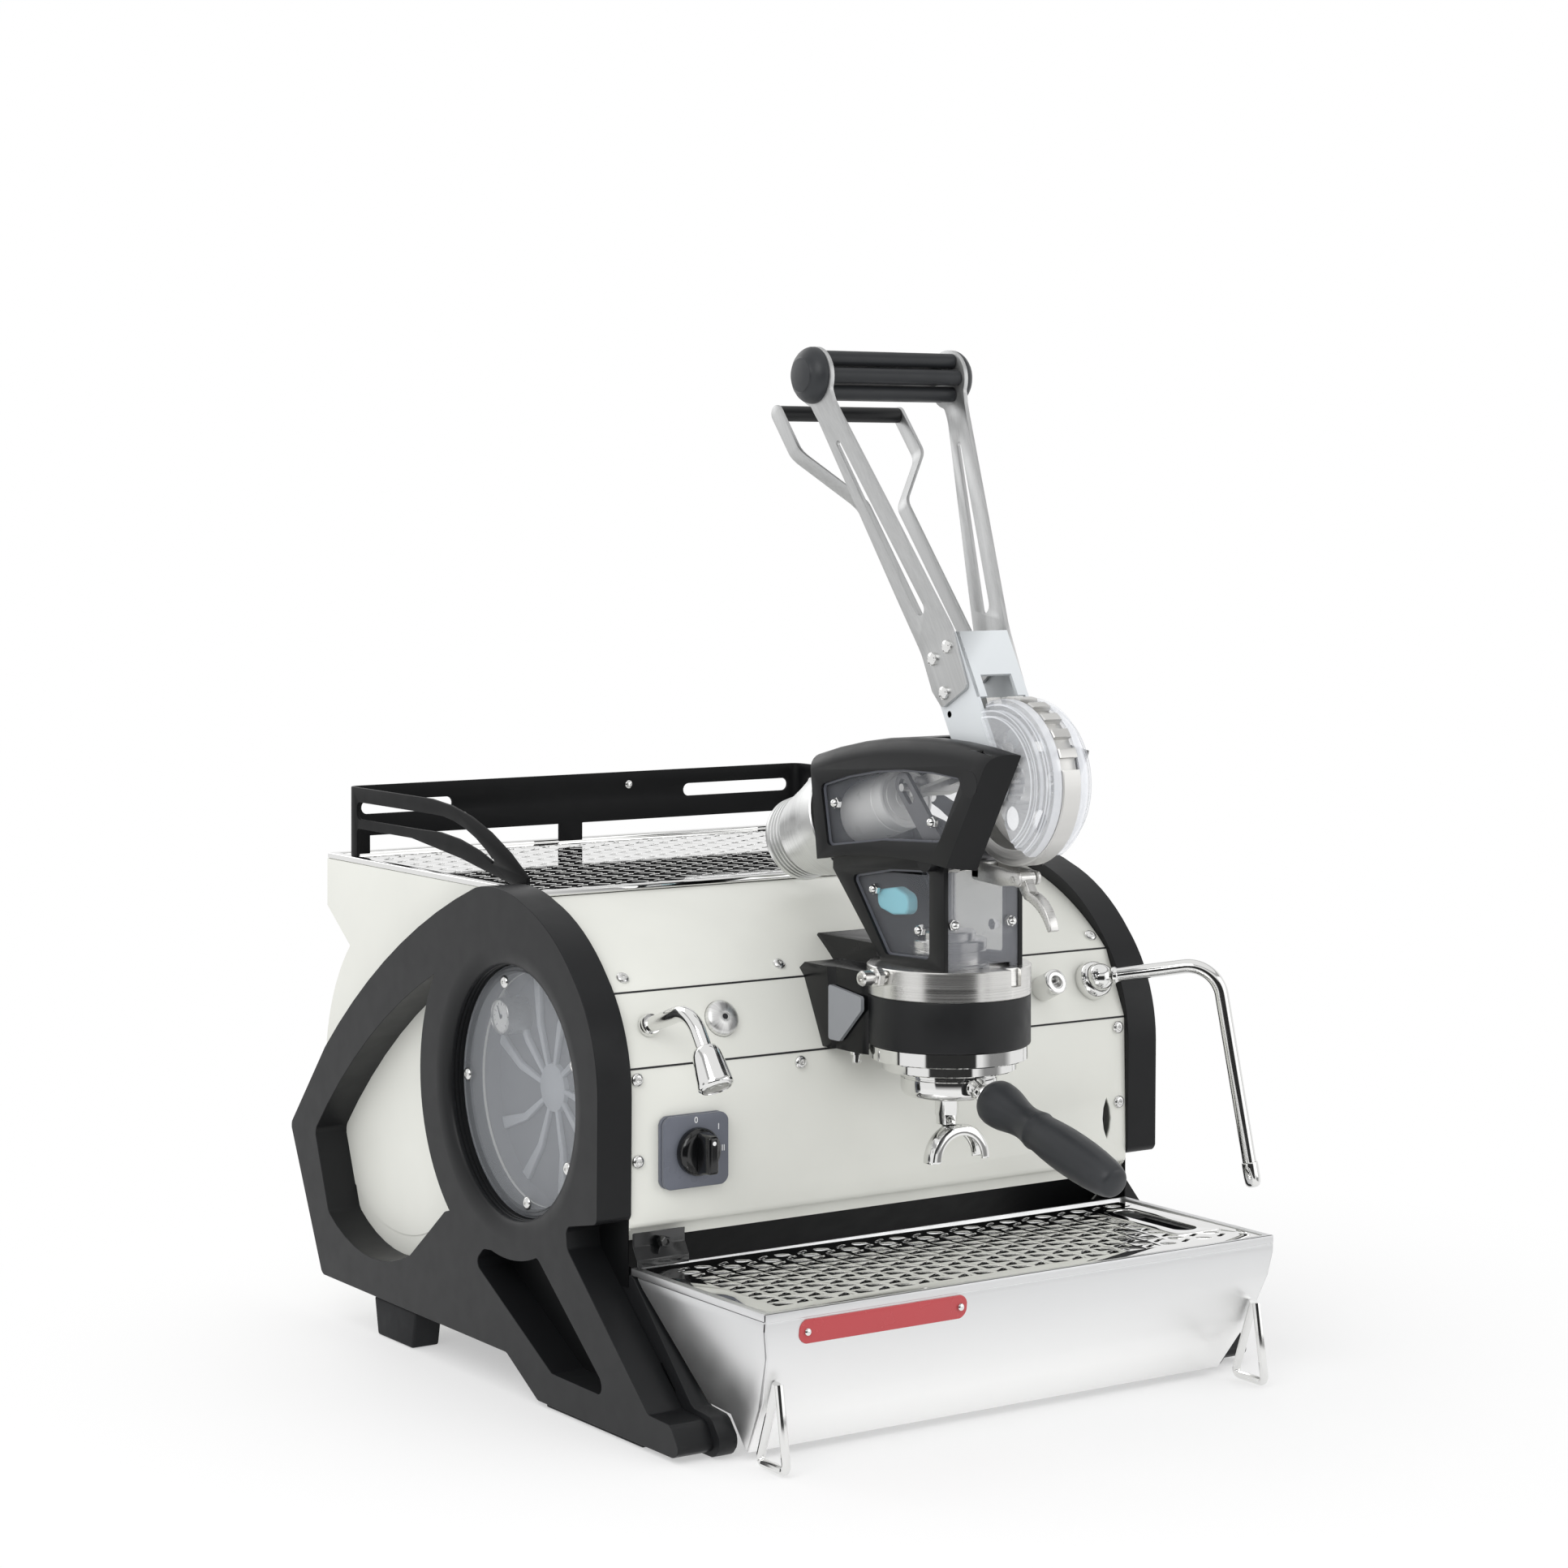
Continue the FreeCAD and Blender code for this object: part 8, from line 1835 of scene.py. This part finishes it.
    def fork(self):
        pin, tube_at = Vector((104.0, 23.0)), Vector((345.0, 69.0))
        way = (tube_at - pin).normalized()
        side = Vector((-way.y, way.x))
        half = 6.5
        start = pin - way * 12
        end = tube_at
        cap = [tuple(end + side * half * math.cos(math.radians(a)) + way * half * math.sin(math.radians(a)))
               for a in range(0, 181, 15)]
        outline = [tuple(start - side * half), tuple(start + side * half)][::-1] + cap[::-1]
        strip = slab("strip", outline, lever_view(17.2), (3.0, 0, 0))
        bent_outwards(strip, 256.0, 304.0, 38.8)
        bevel(strip, 0.5, 2, 50)
        boss = lever_turned("boss", [(2.6, -19.9), (5.5, -19.9), (5.5, 19.9), (2.6, 19.9)], *pin, 0, 1, 32)
        tail = bevel(slab("tail", [(107.0, 18.5), (80.0, 13.5), (78.5, 19.0), (103.0, 28.0)], lever_view(-5), (10, 0, 0)), 0.8)
        finish_piece(joined("fork", [strip, mirrored(strip), boss, tail]), "fork", ["release_fork"],
                     FINISHES["steel_lever"], 30)
        bar = lever_turned("fork_grip", [(0, -56), (5.4, -56), (6.0, -55.4), (6.0, 55.4), (5.4, 56), (0, 56)], *tube_at, 0, 1, 40)
        finish_piece(bar, "fork", ["fork_tube"], FINISHES["grip"], 40)


CAMERA_PLACE = (-1550.1, -2154.3, 672.0)
CAMERA_WAY = (0.5592, 0.829, 0.0)
CAMERA_LENS = 80.3
CAMERA_SHIFT = -0.186
DIFFUSE_LIGHT = 0.9
REFLECTED_LIGHT = 0.93


class ESPRESSO_OT_stage(bpy.types.Operator):
    """Set up the floor, the light and the camera"""

    bl_idname = "espresso.stage"
    bl_label = "Stage"

    def execute(self, context):
        sizes = context.scene.machine_sizes
        clear_selection()
        bpy.ops.mesh.primitive_plane_add(size=sizes.floor_size, location=(HOME.x, HOME.y, -0.0005))
        floor = bpy.context.object
        floor.name = "studio_floor"
        paint(floor, self.floor_material())
        self.world(context)
        self.lamp("key", (-2100, -1300, 1900), 1.6, 22)
        self.lamp("fill", (1700, -2100, 900), 2.0, 14)
        self.lamp("back", (-500, 1900, 1500), 1.6, 8)
        camera = bpy.data.cameras.new("photo_camera")
        camera.lens = CAMERA_LENS
        camera.sensor_width = 36.0
        camera.shift_y = CAMERA_SHIFT
        camera.clip_end = 50
        holder = bpy.data.objects.new("photo_camera", camera)
        context.collection.objects.link(holder)
        holder.location = at(*CAMERA_PLACE)
        holder.rotation_euler = Vector(CAMERA_WAY).to_track_quat("-Z", "Y").to_euler()
        context.scene.camera = holder
        context.scene.view_settings.view_transform = "Standard"
        return {"FINISHED"}

    def floor_material(self):
        """Pale floor that keeps the machine's shadow, fades to white, and far out lets reflections see past it."""
        f = Finish("studio floor", Base_Color=(0.92, 0.92, 0.92, 1), Roughness=0.95, Specular_IOR_Level=0.1)
        coords = f.node("ShaderNodeTexCoord", {}, {}, "Object")
        distance = f.node("ShaderNodeVectorMath", {"operation": "LENGTH"}, {0: coords}, "Value")
        far = distance.spread(0.38, 0.85, 0.45, 1.0)
        white = f.tree.nodes.new("ShaderNodeEmission")
        white.inputs["Color"].default_value = (1, 1, 1, 1)
        mix = f.tree.nodes.new("ShaderNodeMixShader")
        f.tree.links.new(far.socket, mix.inputs[0])
        f.tree.links.new(f.shader.outputs[0], mix.inputs[1])
        f.tree.links.new(white.outputs[0], mix.inputs[2])
        path = f.tree.nodes.new("ShaderNodeLightPath")
        open_far = distance.spread(0.7, 0.8) * Signal(f, path.outputs["Is Glossy Ray"])
        opened = f.tree.nodes.new("ShaderNodeMixShader")
        f.tree.links.new(open_far.socket, opened.inputs[0])
        f.tree.links.new(mix.outputs[0], opened.inputs[1])
        f.tree.links.new(f.tree.nodes.new("ShaderNodeBsdfTransparent").outputs[0], opened.inputs[2])
        f.tree.links.new(opened.outputs[0], f.tree.nodes["Material Output"].inputs["Surface"])
        return f.material

    def world(self, context):
        """Surroundings: white where they are seen, even where they light, and for reflections bright
        screens with dark gaps between them, the widest behind the camera."""
        world = bpy.data.worlds.new("studio")
        context.scene.world = world
        world.use_nodes = True
        f = Finish.of_tree(world.node_tree)
        way = f.node("ShaderNodeTexCoord", {}, {}, "Generated")

        def towards(*direction):
            return f.node("ShaderNodeVectorMath", {"operation": "DOT_PRODUCT"}, {0: way, 1: direction}, "Value")

        height = towards(0, 0, 1)
        level = height.spread(-0.34, -0.24) * height.spread(0.34, 0.24)
        gap_ahead = towards(-0.559, -0.829, 0).spread(0.77, 0.80)
        gap_right = towards(0.62, -0.78, 0).spread(0.88, 0.96) * 0.72
        gap_left = towards(-0.93, 0.36, 0).spread(0.985, 0.99) * 0.75
        gap_above = height.spread(0.50, 0.54) * height.spread(0.70, 0.66) * 0.55
        dark = (gap_ahead + gap_right + gap_left).spread(0.0, 1.0) * level + gap_above
        mirrored_light = dark.spread(0.0, 1.0, REFLECTED_LIGHT, 0.03)
        path = world.node_tree.nodes.new("ShaderNodeLightPath")
        glossy, camera, through = (Signal(f, path.outputs[f"Is {kind} Ray"]) for kind in ("Glossy", "Camera", "Transmission"))
        lit = glossy * (mirrored_light - DIFFUSE_LIGHT) + DIFFUSE_LIGHT
        seen = (camera + through).spread(0.0, 1.0)
        strength = seen * (1.0 - lit) + lit
        world.node_tree.links.new(strength.socket, world.node_tree.nodes["Background"].inputs["Strength"])
        world.node_tree.nodes["Background"].inputs["Color"].default_value = (1, 1, 1, 1)

    def lamp(self, name, place, size, power):
        """Soft square lamp aimed at the middle of the machine."""
        light = bpy.data.lights.new(name, "AREA")
        light.size = size
        light.energy = power
        lamp = bpy.data.objects.new(name, light)
        bpy.context.collection.objects.link(lamp)
        lamp.location = at(*place)
        aim = at(0, 60, 330) - lamp.location
        lamp.rotation_euler = aim.to_track_quat("-Z", "Y").to_euler()


class ESPRESSO_PT_panel(bpy.types.Panel):
    """Lists the machine's pieces in the sidebar"""

    bl_label = "Espresso machine"
    bl_idname = "ESPRESSO_PT_panel"
    bl_space_type = "VIEW_3D"
    bl_region_type = "UI"
    bl_category = "Espresso"

    def draw(self, context):
        for operator in OPERATORS:
            self.layout.operator(operator.bl_idname)
        for name in MachineColours.__annotations__:
            self.layout.prop(context.scene.machine_colours, name)
        for name in MachineSizes.__annotations__:
            self.layout.prop(context.scene.machine_sizes, name)


OPERATORS = [
    ESPRESSO_OT_finishes,
    ESPRESSO_OT_stage,
    ESPRESSO_OT_side_frames,
    ESPRESSO_OT_panels,
    ESPRESSO_OT_drip_tray,
    ESPRESSO_OT_cup_tray,
    ESPRESSO_OT_switch,
    ESPRESSO_OT_fittings,
    ESPRESSO_OT_screws,
    ESPRESSO_OT_group,
    ESPRESSO_OT_portafilter,
    ESPRESSO_OT_hood,
    ESPRESSO_OT_spring_unit,
    ESPRESSO_OT_lever,
]


def register():
    for kind in (MachineColours, MachineSizes, *OPERATORS, ESPRESSO_PT_panel):
        bpy.utils.register_class(kind)
    bpy.types.Scene.machine_colours = bpy.props.PointerProperty(type=MachineColours)
    bpy.types.Scene.machine_sizes = bpy.props.PointerProperty(type=MachineSizes)


def unregister():
    del bpy.types.Scene.machine_sizes
    del bpy.types.Scene.machine_colours
    for kind in (ESPRESSO_PT_panel, *reversed(OPERATORS), MachineSizes, MachineColours):
        bpy.utils.unregister_class(kind)


def main():
    register()
    for operator in OPERATORS:
        family, name = operator.bl_idname.split(".")
        getattr(getattr(bpy.ops, family), name)()
    clear_selection()


if __name__ == "__main__":
    main()
